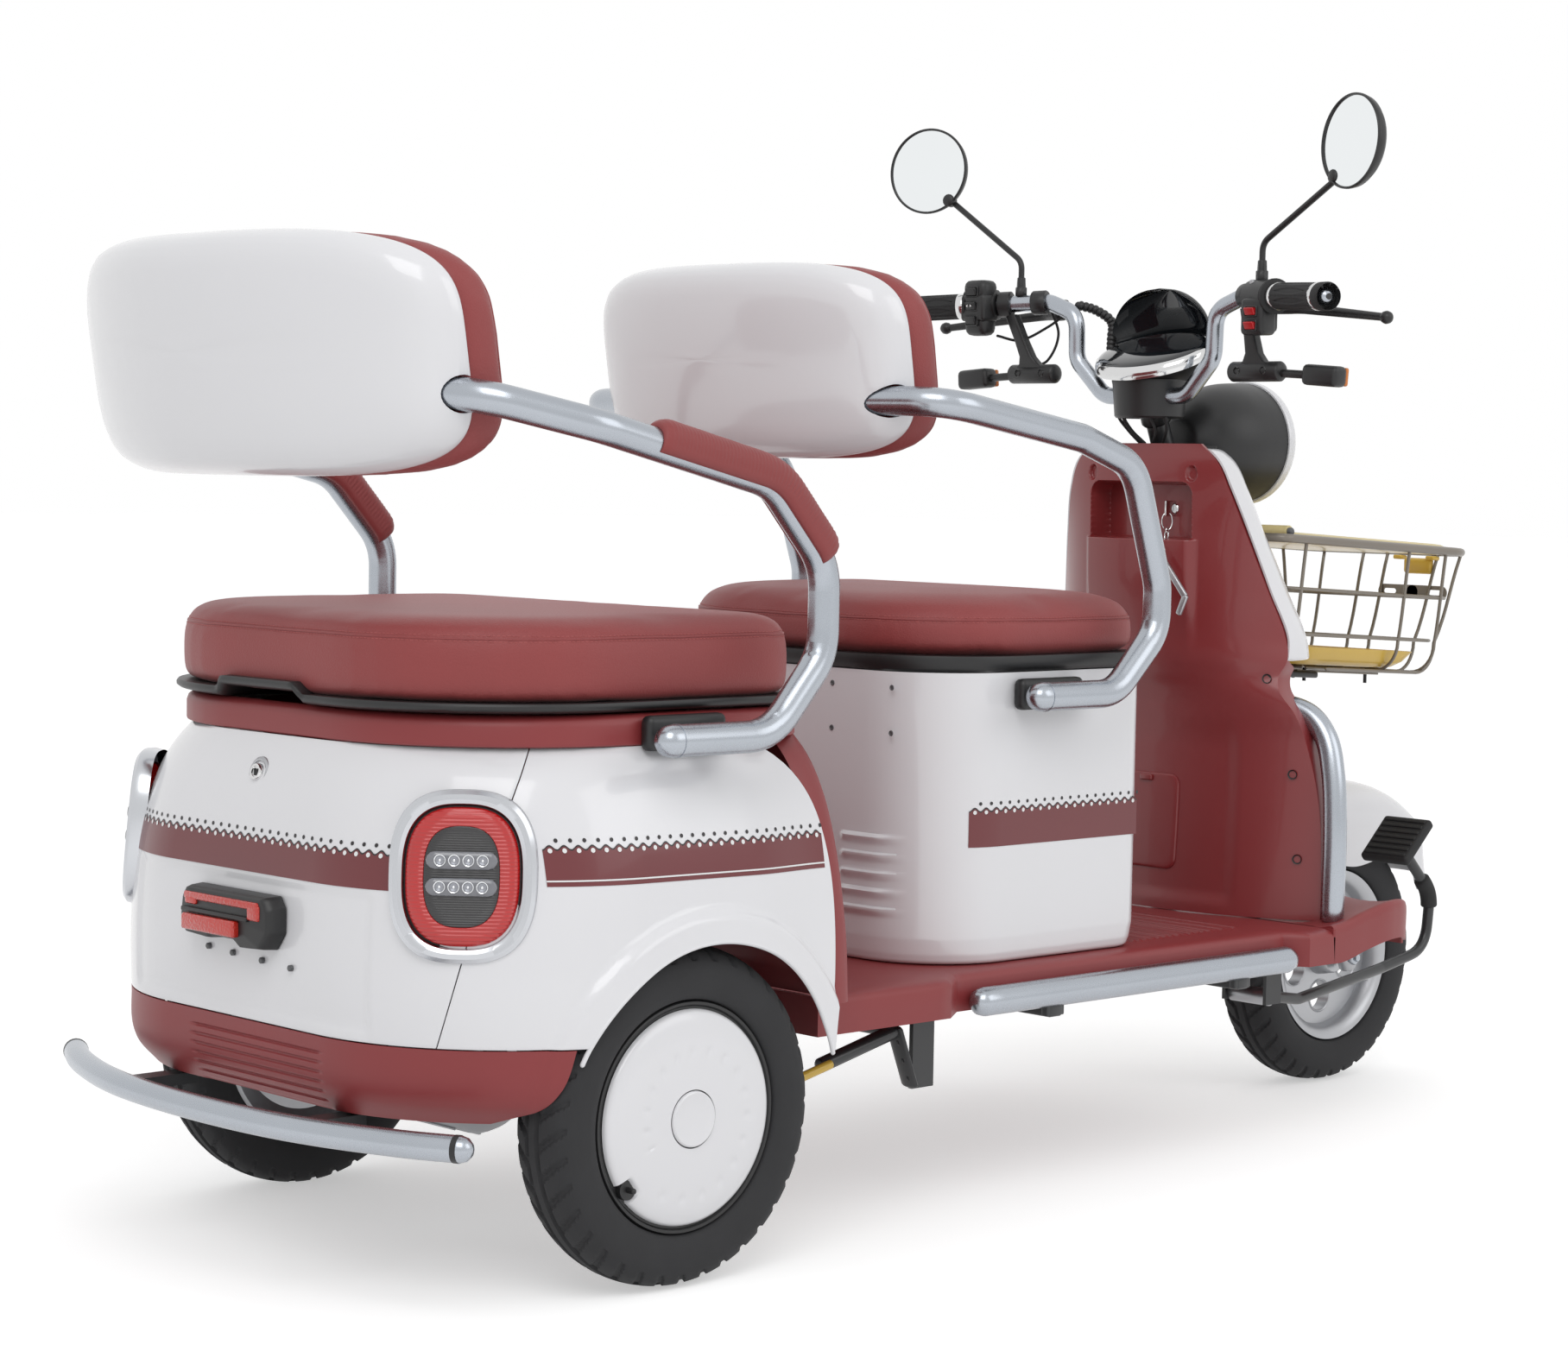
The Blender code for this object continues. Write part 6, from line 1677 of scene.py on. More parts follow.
# %% Side guards and leg guard
GUARD_X = 0.2905
guards = []
for side in (-1, 1):
    guards.append(tube(dense([(side * GUARD_X, -0.503, 0.238), (side * GUARD_X, -1.048, 0.238)], 0.02),
                       BAR, 28))
    for y in (-0.62, -0.96):
        guards.append(soft_box((side * GUARD_X, y, 0.222), (0.010, 0.030, 0.022), 0.002, paint=1))
for y in (-0.62, -0.96):
    guards.append(soft_box((0, y, 0.2172), (0.592, 0.022, 0.015), 0.003, paint=1))
piece("guard_bars", guards, "chassis", [steel, frame_paint], ["side_guard"], sharp=60)
GUARD = [(-0.2635, -1.176, 0.2818), (-0.2640, -1.176, 0.400), (-0.256, -1.180, 0.460),
         (-0.240, -1.184, 0.505), (-0.212, -1.182, 0.533), (-0.165, -1.168, 0.544),
         (-0.090, -1.152, 0.546), (0.0, -1.1513, 0.546)]
hoop = through(mirrored(GUARD), 150)
piece("leg_hoop", tube(hoop, 0.0150, 28), "chassis", [steel], ["leg_guard"], sharp=60)
repaint("main_frame", frame_paint)
repaint("rear_axle", frame_paint)
print("footboard and guards built")

# %% [markdown]
# ## Leg shield, front cover and headlamp
# The leg shield is one bowed sheet, seen from the rider's side: its half width, its middle and its edges
# are each a smooth line in height. The front cover is the same sheet's white outer half. A pocket with
# a raised pouch is let into the shield, and beside it sits the key switch.

# %% Leg shield
# height, half width, Y of the middle, Y of the edge
SHIELD = np.array([
    (0.2710, 0.246, -1.104, -1.174), (0.32, 0.246, -1.110, -1.174), (0.42, 0.242, -1.116, -1.170),
    (0.50, 0.226, -1.116, -1.160), (0.535, 0.215, -1.113, -1.150), (0.562, 0.194, -1.105, -1.145),
    (0.580, 0.188, -1.097, -1.150), (0.600, 0.194, -1.090, -1.158), (0.63, 0.189, -1.087, -1.160),
    (0.69, 0.172, -1.085, -1.143), (0.76, 0.152, -1.084, -1.123), (0.82, 0.133, -1.085, -1.107),
    (0.855, 0.116, -1.088, -1.102), (0.876, 0.092, -1.094, -1.100)])
POCKET_W = 0.086
POCKET_Z = (0.700, 0.826)
POUCH_TOP = 0.7525
POCKET_DEEP = 0.036


def shield_at(x_share, z):
    """A point of the sheet: X is a sine of the half width, and Y follows the sine's 2.6th power."""
    x_share, z = np.broadcast_arrays(np.asarray(x_share, float), np.asarray(z, float))
    half = read_off(SHIELD, z)
    middle = read_off(SHIELD, z, 2)
    edge = read_off(SHIELD, z, 3)
    s = np.sin(x_share * np.pi / 2)
    return np.stack([half * s, middle + (edge - middle) * np.abs(s) ** 2.6, z], -1)


def shield_y(x, z):
    """The sheet's Y over a given X."""
    half = flowing(np.asarray(z, float), SHIELD[:, 0], SHIELD[:, 1])
    share = np.arcsin(np.clip(np.asarray(x, float) / half, -1, 1)) * 2 / np.pi
    return shield_at(share, z)[..., 1]


def softened(x, z, half, low, high, edge):
    """1 inside a rectangle with rounded corners and 0 outside, with a smooth step at its rim."""
    corner = 0.018
    dx = np.maximum(np.abs(x) - (half - corner), 0)
    dz = np.maximum(np.abs(z - (low + high) / 2) - ((high - low) / 2 - corner), 0)
    return ease((corner - np.hypot(dx, dz)) / edge)


def shield():
    """The sheet with its pressed recess, the raised pouch, two hooks' dimples and a rolled rim."""
    z = np.concatenate([np.linspace(0.2712, 0.690, 150), np.linspace(0.6905, 0.835, 130),
                        np.linspace(0.836, 0.876, 24)])
    share = np.linspace(-1, 1, 300)
    points = shield_at(share[None, :], z[:, None])
    x, y, zz = points[..., 0], points[..., 1], points[..., 2]
    recess = softened(x, zz, POCKET_W, POCKET_Z[0], POCKET_Z[1] + 0.001, 0.004)
    mouth = ease((zz - POUCH_TOP) / 0.0022)
    y = y - POCKET_DEEP * recess * mouth
    pouch = softened(x, zz, POCKET_W + 0.010, 0.560, POUCH_TOP + 0.020, 0.016)
    pouch = pouch * ease((POUCH_TOP + 0.002 - zz) / 0.003)
    y = y + 0.0085 * pouch * ease((zz - 0.590) / 0.120)
    for side in (-1, 1):
        hook = np.hypot(x - side * 0.0835, (zz - 0.8375) * 0.8)
        y = y - 0.0050 * ease((0.0088 - hook) / 0.003)
    knee = ease((0.535 - zz) / 0.05) * ease((zz - 0.280) / 0.02) * ease((0.150 - np.abs(x)) / 0.03)
    y = y - 0.005 * knee
    points = np.stack([x, y, zz], -1)
    deep = (1 - 0.82 * ease((z - 0.588) / 0.014))[:, None, None]
    rolled = ((0.0, -0.004), (0.0015, -0.014), (0.004, -0.030))
    left = [points[:, :1] + deep * np.array([inward, back, 0]) for inward, back in rolled[::-1]]
    right = [points[:, -1:] + deep * np.array([-inward, back, 0]) for inward, back in rolled]
    return grid(np.concatenate(left + [points] + right, axis=1))


def shield_cap():
    """The dark rubber floor of the shield's head, from its top edge forward round the steering post."""
    rim = shield_at(np.linspace(-1, 1, 60), 0.874)
    rows = []
    for t in np.linspace(0, 1, 12):
        shrink = np.array([0.97 - 0.20 * t, 1.0, 1.0])
        row = rim * shrink + [0, -0.002 - 0.054 * t, -0.005 * math.sin(t * math.pi)]
        rows.append(row)
    return grid(rows, paint=1)


piece("leg_shield", [shield(), shield_cap()], "chassis", [brick_smooth, rubber], ["apron"], wall=0.003,
      outward=TO_REAR, sharp=38)

# %% [markdown]
# Dark screws hold the shield, and a small door gives access behind it. The door is a stack of outlines
# that are laid on the sheet, so it follows the sheet's bow.

# %% Screws and the service door
SCREW_SECTION = [(0.0018, 0.0062), (0.0008, 0.0050), (-0.0016, 0.0044), (-0.0016, 0.0)]
shield_screws = []
for x, z in ((0.177, 0.578), (0.212, 0.457), (0.220, 0.349)):
    for side in (-1, 1):
        at = np.array([side * x, float(shield_y(x, z)) + 0.001, z])
        shield_screws.append(turned(SCREW_SECTION, at, (side * 0.5, 1, 0), 18))
piece("shield_screws", shield_screws, "chassis", [black])


def on_shield(half, low, high, out, corner):
    """The outline of a rounded rectangle about the middle plane, laid on the sheet."""
    flat = plan_ring(half, low, high, corner, corner, 0.0, 10, 10)
    return np.stack([flat[:, 0], shield_y(flat[:, 0], flat[:, 1]) - 0.005 + out, flat[:, 1]], -1)


door_rows = [on_shield(0.052 - d, 0.322 + d, 0.446 - d, out, 0.014) for d, out in
             ((0.0, -0.002), (0.0, 0.0015), (0.0012, 0.0026), (0.003, 0.0030), (0.008, 0.0031))]
door = grid(door_rows, columns_close=True, caps="last")
tab = soft_box((0.0, float(shield_y(0.0, 0.440)) - 0.001, 0.4395), (0.020, 0.006, 0.008), 0.002)
piece("service_door", [door, tab], "chassis", [brick_smooth], sharp=50)
print("leg shield built")

# %% [markdown]
# The switch is a turned bright collar with a black core. The key stands in it with a ring, and a short
# chain with two plain plates hangs over the pouch. The links are closed tubes that lie crosswise in
# turn, as in a real chain.

# %% Key switch and key
KEY_AT = np.array([-0.034, -1.1287, 0.792])
switch_line = [(-0.012, 0.0185), (0.0, 0.0185), (0.0022, 0.0172), (0.0022, 0.0150), (0.0008, 0.0142)]
switch_core = [(0.0008, 0.0142), (0.0030, 0.0130), (0.0038, 0.0110), (0.0030, 0.0090), (0.0030, 0.0)]
switch = [turned(switch_line, KEY_AT, TO_REAR, 40, 0), turned(switch_core, KEY_AT, TO_REAR, 40, 1)]
piece("key_switch", switch, "chassis", [bright, black_gloss])


def key():
    """A key's flat bow, its round collar in the switch, and the ring that hangs from it."""
    bow = KEY_AT + [0, 0.0165, 0]
    body = soft_box(bow, (0.0030, 0.022, 0.020), 0.0013, paint=0)
    shaft = turned([(0.0030, 0.0072), (0.0095, 0.0072), (0.0105, 0.0060), (0.0105, 0.0)], KEY_AT, TO_REAR,
                   24, 0)
    a = around(40)
    ring_middle = KEY_AT + [0.0, 0.0225, -0.0165]
    circle = np.stack([0.0035 * np.sin(a), 0.0115 * np.sin(a) * 0.55, 0.0115 * np.cos(a)], -1)
    return [body, shaft, tube(ring_middle + circle, 0.0009, 8, closed=True)]


def fob():
    """Seven links that fall over the pouch's lip, and two plain metal plates that hang from them."""
    a = around(14)
    first, last = KEY_AT + [-0.002, 0.0240, -0.0300], np.array([-0.0590, -1.0680, 0.7330])
    links = []
    for k in range(7):
        centre = first + (last - first) * k / 6
        wide = np.array([0.0030, 0, 0]) if k % 2 else np.array([0, 0.0030, 0])
        circle = np.sin(a)[:, None] * wide + np.cos(a)[:, None] * np.array([0, 0, 0.0052])
        links.append(tube(centre + circle, 0.0008, 6, closed=True))
    upper = soft_box(last + [-0.0215, 0.0020, -0.0280], (0.0085, 0.0060, 0.0640), 0.0022,
                     turn_about("Y", 40), 1)
    lower = soft_box(last + [-0.0370, 0.0020, -0.0630], (0.0085, 0.0060, 0.0280), 0.0022,
                     turn_about("Y", -24), 1)
    return links + [upper, lower]


piece("key", key(), "key", [bright, copper], ["ignition_key"])
piece("key_fob", fob(), "key", [bright, alloy])
print("key built")

# %% [markdown]
# The white cover wraps round the steering post ahead of the shield. Half an oval at every height gives
# it, with a power below one, because the real cover's front is flatter than a circle.

# %% Front cover
# height, half width, Y of the rear edge, Y of the front
COVER = np.array([
    (0.600, 0.196, -1.1600, -1.2770), (0.630, 0.193, -1.1635, -1.2641), (0.690, 0.176, -1.1465, -1.2387),
    (0.720, 0.168, -1.1380, -1.2260), (0.760, 0.157, -1.1265, -1.2075), (0.820, 0.138, -1.1100, -1.1900),
    (0.855, 0.121, -1.1045, -1.1780), (0.870, 0.104, -1.1040, -1.1650)])


def front_cover():
    """Rows in height: each is half an oval, from one rear edge round the front to the other."""
    z = np.concatenate([[0.6004, 0.6012, 0.603], np.linspace(0.606, 0.8665, 110), [0.8685, 0.8697, 0.8700]])
    inset = np.concatenate([[0.006, 0.002, 0.0005], np.zeros(110), [0.0015, 0.004, 0.008]])
    half = read_off(COVER, z) - inset
    rear = read_off(COVER, z, 2)
    front = read_off(COVER, z, 3) + inset
    a = np.linspace(-np.pi / 2, np.pi / 2, 160)
    across = squarer(np.sin(a), 0.75)
    ahead = np.abs(np.cos(a)) ** 0.75
    x = half[:, None] * across
    y = rear[:, None] + (front - rear)[:, None] * ahead
    return grid(np.stack([x, y, np.broadcast_to(z[:, None], x.shape)], -1))


piece("cover_shell", front_cover(), "chassis", [white], ["front_cover"], wall=0.003, outward=(0, -1, 0),
      sharp=50)
print("front cover built")

# %% [markdown]
# A headlamp is a bowl, a rim, a clear lens and a mirror with a bulb. The mirror's facets are ripples of
# a sine round its bowl, which catch the light as pressed facets do.

# %% Headlamp
LAMP_AT = np.array([0.0, -1.300, 0.880])
# way to the rear of the lamp's middle, radius: the boss at the back, the bowl and the rim's foot
BOWL = np.array([
    (0.1350, 0.0), (0.1348, 0.0200), (0.1335, 0.0290), (0.1300, 0.0345), (0.1230, 0.0430), (0.1080, 0.0575),
    (0.0860, 0.0695), (0.0600, 0.0765), (0.0300, 0.0790), (0.0020, 0.0792)])


def headlamp():
    """A black bowl, a pale rim, a domed lens, and a faceted mirror bowl with a bulb behind it."""
    bowl = turned(through(BOWL, 60), LAMP_AT, TO_REAR, 80, 0)
    rim = turned([(0.0040, 0.0786), (0.0036, 0.0812), (0.0010, 0.0822), (-0.0050, 0.0822), (-0.0090, 0.0808),
                  (-0.0105, 0.0780), (-0.0098, 0.0748), (-0.0080, 0.0738)], LAMP_AT, TO_REAR, 80, 1)
    lens = turned([(-0.0080, 0.0738), (-0.0104, 0.0690), (-0.0126, 0.0560), (-0.0138, 0.0360),
                   (-0.0142, 0.0160), (-0.0142, 0.0)], LAMP_AT, TO_REAR, 80, 2)
    a = around(96)
    radius = np.linspace(0.0730, 0.0120, 28)[:, None]
    facets = 0.0012 * np.abs(np.sin(a * 12)) * ease((0.072 - radius) / 0.01)
    depth = -0.0060 + 0.040 * (1 - (radius / 0.073) ** 2) - facets
    dish = LAMP_AT + np.stack([radius * np.sin(a), np.broadcast_to(depth, (28, 96)), radius * np.cos(a)], -1)
    bulb = turned([(0.0330, 0.0120), (0.0180, 0.0100), (0.0120, 0.0070), (0.0095, 0.0)], LAMP_AT, TO_REAR,
                  24, 4)
    bracket = soft_box(LAMP_AT + [0, 0.118, -0.030], (0.052, 0.036, 0.026), 0.006, paint=0)
    return [bowl, rim, lens, grid(dish, columns_close=True, paint=3), bulb, bracket]


piece("head_lamp", headlamp(), "chassis", [black, white, glass, reflector_silver, pill_clear],
      ["headlamp"], sharp=60)
print("cover and headlamp built")

# %% [markdown]
# ## Basket
# The basket is bent steel wire: a thick top rail, two thin rings, and uprights that curve in under the
# floor. Its pale yellow lid plate turns on a long barrel at the rear, a yellow tray lies on the floor,
# and a slotted plate, a latch and two clips sit at the front.

# %% Basket wires
# height, half width, front, rear, front corner radius
BASKET = np.array([(0.576, 0.110, -1.555, -1.2888, 0.040), (0.590, 0.116, -1.572, -1.2853, 0.050),
                   (0.757, 0.141, -1.638, -1.2143, 0.050)])
BASKET_SLOPE = math.tan(math.radians(3))
WIRE = 0.0024
FLOOR_WIRE_Z = 0.588


def sloped(surface):
    """Tips a surface made level so that it shares the basket's slope, which falls to the front."""
    points = surface["points"] if isinstance(surface, dict) else surface
    points[..., 2] += (points[..., 1] + 1.21) * BASKET_SLOPE
    return surface


def basket_ring(z, inset=0.0):
    """The basket's outline at a height: every measure is read off the three known rings."""
    half, front, rear, corner = (float(read_off(BASKET, z, k)) for k in (1, 2, 3, 4))
    return sloped(plan_ring(half - inset, front + inset, rear - inset, corner, 0.016, z, 8, 24))


def wall_point(z, x=None, y=None):
    """A point of the front wall over x, or of the flank on the side of x's sign beside y."""
    half, front = (float(read_off(BASKET, z, k)) for k in (1, 2))
    narrowed = half / BASKET[-1, 1]
    return np.array([x * narrowed, front, z]) if y is None else np.array([math.copysign(half, x), y, z])


def upright_wire(x, y=None):
    """A wire from the rail down the wall, then round a quarter circle and under the floor."""
    down = [wall_point(z, x, y) for z in np.linspace(0.752, 0.630, 8)]
    foot = wall_point(0.630, x, y)
    inward = np.array([0.0, 1.0, 0.0]) if y is None else np.array([-math.copysign(1.0, x), 0.0, 0.0])
    a = np.radians(np.linspace(0, 90, 9))[1:, None]
    arc = foot + inward * 0.040 * (1 - np.cos(a)) - np.array([0, 0, 0.630 - FLOOR_WIRE_Z]) * np.sin(a)
    under = arc[-1] + inward * (0.20 if y is None else 0.066)
    return tube(sloped(dense(np.concatenate([down, arc, under[None]]), 0.012)), WIRE, 8)


wires = [tube(basket_ring(0.757), 0.0058, 14, closed=True)]
wires += [tube(basket_ring(z, 0.001), WIRE, 8, closed=True) for z in (0.6925, 0.633)]
wires += [upright_wire(side, y) for side in (-1, 1) for y in (-1.262, -1.487, -1.570)]
wires += [upright_wire(x) for x in (-0.118, -0.080, 0.006, 0.048, 0.118)]
for y in (-1.330, -1.420, -1.510):
    across = np.array([(x, y, FLOOR_WIRE_Z + 0.002) for x in np.linspace(-0.085, 0.085, 8)])
    wires.append(tube(sloped(across), WIRE, 8))


def basket_tray():
    """A shallow yellow tray on the floor wires, with a flared wall and a rolled lip."""
    rows = [(0.092, -1.528, -1.300, 0.5925), (0.099, -1.534, -1.296, 0.5940),
            (0.106, -1.550, -1.293, 0.6020), (0.112, -1.563, -1.290, 0.6150),
            (0.1125, -1.564, -1.290, 0.6165), (0.1110, -1.562, -1.291, 0.6168),
            (0.1040, -1.549, -1.295, 0.6040), (0.097, -1.533, -1.299, 0.5965),
            (0.090, -1.526, -1.303, 0.5955)]
    return sloped(grid([plan_ring(w, f, r, 0.040, 0.030, z, 8, 10) for w, f, r, z in rows],
                       columns_close=True, paint=1, caps="first last"))


def slotted_plate():
    """A plate with round ends and two slots: each half runs from a slot's outline to the plate's."""
    middle = np.array([-0.047, -1.6240, 0.7000])
    a = around(48)
    surfaces = []
    for side in (-1, 1):
        outer_x = 0.0095 * np.cos(a) + 0.0485 * (np.cos(a) * side > 0) * side
        outer = np.stack([outer_x, np.zeros(48), 0.0095 * np.sin(a)], -1)
        slot_x = 0.0036 * np.cos(a) + 0.0070 * np.sign(np.cos(a)) + side * 0.0380
        slot = np.stack([slot_x, np.zeros(48), 0.0036 * np.sin(a)], -1)
        half_thick = np.array([0, 0.0009, 0])
        rows = np.array([slot + half_thick, outer + half_thick, outer - half_thick, slot - half_thick])
        surfaces.append(sloped(grid(middle + rows, rows_close=True, columns_close=True)))
    return surfaces


fixings = [sloped(soft_box((-0.052, -1.6300, 0.7365), (0.047, 0.010, 0.022), 0.0045, paint=1))]
for x in (-0.020, -0.075):
    fixings.append(sloped(soft_box((x, -1.6300, 0.7480), (0.014, 0.016, 0.006), 0.002, paint=1)))
fixings.append(sloped(soft_box((0.0, -1.330, 0.5790), (0.150, 0.100, 0.009), 0.003, paint=2)))
for x in (-0.062, 0.062):
    fixings.append(sloped(soft_box((x, -1.430, 0.5835), (0.016, 0.180, 0.003), 0.001)))
    for y in (-1.500, -1.365):
        fixings.append(sloped(tube([(x, y, 0.5880), (x, y, 0.5700)], 0.0024, 10, "flat", 2)))
piece("wire_basket", wires + [basket_tray()] + slotted_plate() + fixings, "chassis",
      [wire_paint, yellow, black], ["basket"], sharp=50)


# %% [markdown]
# The lid is a pale plate with a turned-down rim. A barrel at its rear edge is its hinge, and three flat
# straps stiffen it.

# %% Basket lid
def lid_plate():
    """A pale plate with a turned-down rim and a slightly dished middle."""
    rows = [(0.0040, 0.7520), (0.0010, 0.7530), (0.0, 0.7570), (0.0008, 0.7635), (0.0036, 0.7655),
            (0.0090, 0.7660), (0.0140, 0.7648), (0.0200, 0.7645)]
    rings = [plan_ring(0.1370 - d, -1.6040 + d, -1.2280 - d, 0.048, 0.020, z, 10, 30) for d, z in rows]
    return sloped(grid(rings, columns_close=True, caps="first last"))


barrel_at = np.array([0.0, -1.2350, 0.7660])
lid = [lid_plate(), sloped(tube([barrel_at - [0.132, 0, 0], barrel_at + [0.132, 0, 0]], 0.0080, 20, "flat")),
       sloped(tube([barrel_at - [0.1365, 0, 0], barrel_at + [0.1365, 0, 0]], 0.0052, 16, "soft", 1))]
for x in (-0.070, 0.0, 0.070):
    lid.append(sloped(soft_box((x, -1.410, 0.7650), (0.012, 0.300, 0.0030), 0.0012)))
piece("lid_plate", lid, "basket_lid", [pale_yellow, grey_plastic], ["basket_lid"], sharp=40)
print("basket wires:", len(wires))

# %% [markdown]
# ## Front end
# The steering turns the fork, the fender, the bar and everything on it. The fork's axis leans back by 23
# degrees. A point at a distance along that axis and a distance behind it gives every level of the fork.

# %% Fork
RAKE = math.radians(23)
STEER = np.array([0.0, math.sin(RAKE), math.cos(RAKE)])
BEHIND = np.array([0.0, math.cos(RAKE), -math.sin(RAKE)])
HEAD_Y = -1.110
HEAD_Z = 0.930
LEG_X = 0.0515
CROWN_UP = 0.292


def steer_point(z):
    """The point of the steering axis at a height."""
    return np.array([0.0, HEAD_Y - (HEAD_Z - z) * math.tan(RAKE), z])


FORK_BACK = float((steer_point(0.5) - FRONT_HUB) @ BEHIND)


def fork_point(x, up, back=0.0):
    """A point by its way up the fork from the axle, and its way behind the legs."""
    return FRONT_HUB + STEER * up + BEHIND * back + [x, 0, 0]


def leg(side):
    """A telescopic leg: a slider with a dust seal, a thin bright tube above it, and the axle's nut."""
    x = side * LEG_X
    slider = tube([fork_point(x, up) for up in (-0.016, 0.0, 0.060, 0.120, 0.150, 0.158)],
                  [0.0120, 0.0125, 0.0120, 0.0118, 0.0118, 0.0108], 24, "soft", 1)
    seal = tube([fork_point(x, up) for up in (0.1560, 0.1575, 0.1640, 0.1665)],
                [0.0120, 0.0126, 0.0120, 0.0098], 24, "flat", 2)
    inner = tube([fork_point(x, up) for up in (0.160, 0.290)], 0.0088, 24, "flat", 0)
    nut = turned([(0.0, 0.0105), (0.0060, 0.0105), (0.0070, 0.0095), (0.0070, 0.0055), (0.0110, 0.0050),
                  (0.0110, 0.0)], fork_point(side * (LEG_X + 0.011), 0.0), (side, 0, 0), 6, 3)
    return [slider, seal, inner, nut]


fork = []
for side in (-1, 1):
    fork += leg(side)
fork.append(tube([fork_point(-0.046, 0), fork_point(0.046, 0)], 0.0075, 16, "flat", 3))
crown_at = fork_point(0.0, CROWN_UP, FORK_BACK / 2 - 0.002)
fork.append(soft_box(crown_at, (0.127, abs(FORK_BACK) + 0.044, 0.026), 0.008, turn_about("X", -23), 2))
fork.append(tube([fork_point(0.0, CROWN_UP, FORK_BACK), steer_point(0.905)], 0.0150, 28, "flat", 2))
fork.append(tube([steer_point(0.742), steer_point(0.757)], 0.0205, 28, "flat", 3))
piece("front_fork", fork, "steering", [bright, alloy, frame_paint, steel], ["fork"], sharp=50)
print("fork built, parts:", len(fork))

# %% [markdown]
# The fender is one pressed sheet. Its section is given across the wheel and carried round it, and the
# depth of its sides changes with the angle, so that it reaches down over the fork's legs.

# %% Fender
def fender():
    """Rows round the wheel, columns across: the rim drops as the squared cosine of the angle."""
    degrees = np.linspace(-58, 60, 120)
    a = np.radians(degrees)
    crown = 0.243 - 0.032 * ease((degrees - 38) / 22)
    drop = 0.075 * np.cos(1.35 * a) ** 2 + 0.012
    down = np.array([0.0, 0.0002, 0.0012, 0.0034, 0.0068, 0.0118, 0.0180, 0.0240, 0.0300])
    half = np.array([0.0, 0.0140, 0.0280, 0.0400, 0.0500, 0.0580, 0.0628, 0.0650, 0.0660])
    skirt = np.linspace(0, 1, 12)[1:]
    sunk = np.concatenate([np.broadcast_to(down, (120, 9)), 0.030 + drop[:, None] * skirt[None, :]], axis=1)
    side = np.concatenate([half, 0.0660 + 0.0004 * np.sin(skirt * np.pi)])
    crease = 0.0012 * np.exp(-((sunk - 0.052) / 0.004) ** 2)
    both = np.concatenate([-(side + crease)[:, ::-1], (side + crease)[:, 1:]], axis=1)
    sunk = np.concatenate([sunk[:, ::-1], sunk[:, 1:]], axis=1)
    radius = crown[:, None] - sunk
    y = -radius * np.sin(a)[:, None]
    z = radius * np.cos(a)[:, None]
    return grid(np.stack([both, y, z], -1) + FRONT_HUB)


piece("mudguard", fender(), "steering", [white], ["front_fender"], wall=0.0028, outward=UPWARD, sharp=60)


def fender_patch(side):
    """The dark red film on the fender's rear corner, and the bolt that holds the fender to the leg."""
    a = np.radians(np.linspace(-57, -40, 12))
    rows = []
    for share in np.linspace(0, 1, 8):
        radius = 0.2405 - 0.034 - (0.010 + 0.045 * share)
        rows.append(np.stack([np.full(12, side * 0.0668), -radius * np.sin(a + 0.10 * share),
                              radius * np.cos(a + 0.10 * share)], -1))
    return grid(np.array(rows) + FRONT_HUB)


for side, hand in SIDES:
    bolt = turned([(0.0, 0.0060), (0.0016, 0.0058), (0.0030, 0.0045), (0.0034, 0.0020), (0.0034, 0.0)],
                  fork_point(side * 0.0662, 0.150, -0.012), (side, 0, 0), 18, 1)
    piece(f"fender_mark_{hand}", [fender_patch(side), bolt], "steering", [brick_smooth, grey_plastic])
print("fork and fender built")

# %% [markdown]
# ## Handlebar and what it carries
# The bar's swept ends are straight, so one function gives a point at any reach from the middle. Grips,
# housings, levers, mirrors and lamps are all placed by that reach.

# %% Handlebar
SWEEP = math.tan(math.radians(22))
DROOP = 0.045
SWEEP_X = 0.165
BAR_Y = -1.090
BAR_Z = 1.062
BAR_TUBE = 0.0110


def bar_point(reach, side):
    """A point of the bar's swept end, by its reach from the middle plane: it runs back and a little down."""
    reach = np.asarray(reach, float)
    swept = reach - SWEEP_X
    return np.stack([side * reach, BAR_Y + swept * SWEEP, BAR_Z - swept * DROOP], -1)


def along_bar(side, rows, paint=0, sides=32):
    """A collar round the bar from (reach, radius) rows."""
    return tube(np.array([bar_point(reach, side) for reach, _ in rows]), [radius for _, radius in rows],
                sides, "flat", paint)


half_bar = bend([bar_point(0.347, -1), (-SWEEP_X, BAR_Y, BAR_Z), (-0.118, -1.092, 1.045),
                 (-0.116, -1.092, 0.985), (-0.070, -1.096, 0.938), (-0.020, -1.096, 0.936),
                 (0.0, -1.096, 0.936)], 0.030, 9)
bar = [tube(dense(mirrored(half_bar), 0.010), BAR_TUBE, 24),
       tube([steer_point(0.9055), steer_point(0.952)], 0.0200, 28, "soft", 1),
       soft_box((0, -1.098, 0.929), (0.050, 0.034, 0.022), 0.004, paint=1)]
for side in (-1, 1):
    bar.append(soft_box((side * 0.1765, -1.108, 1.0605), (0.018, 0.052, 0.014), 0.004, paint=1))
    bar.append(along_bar(side, [(0.1680, 0.0150), (0.1695, 0.0162), (0.1850, 0.0162), (0.1865, 0.0150)], 1))
piece("handle_bar", bar, "steering", [steel, black], ["handlebar"], sharp=50)
print("handlebar built, parts:", len(bar))


# %% [markdown]
# A rubber grip has long lens-shaped flutes and fine rings between them. A displacement picture could
# show them, but a grid with enough columns gives them a true edge against the light. The right grip
# turns as the throttle.

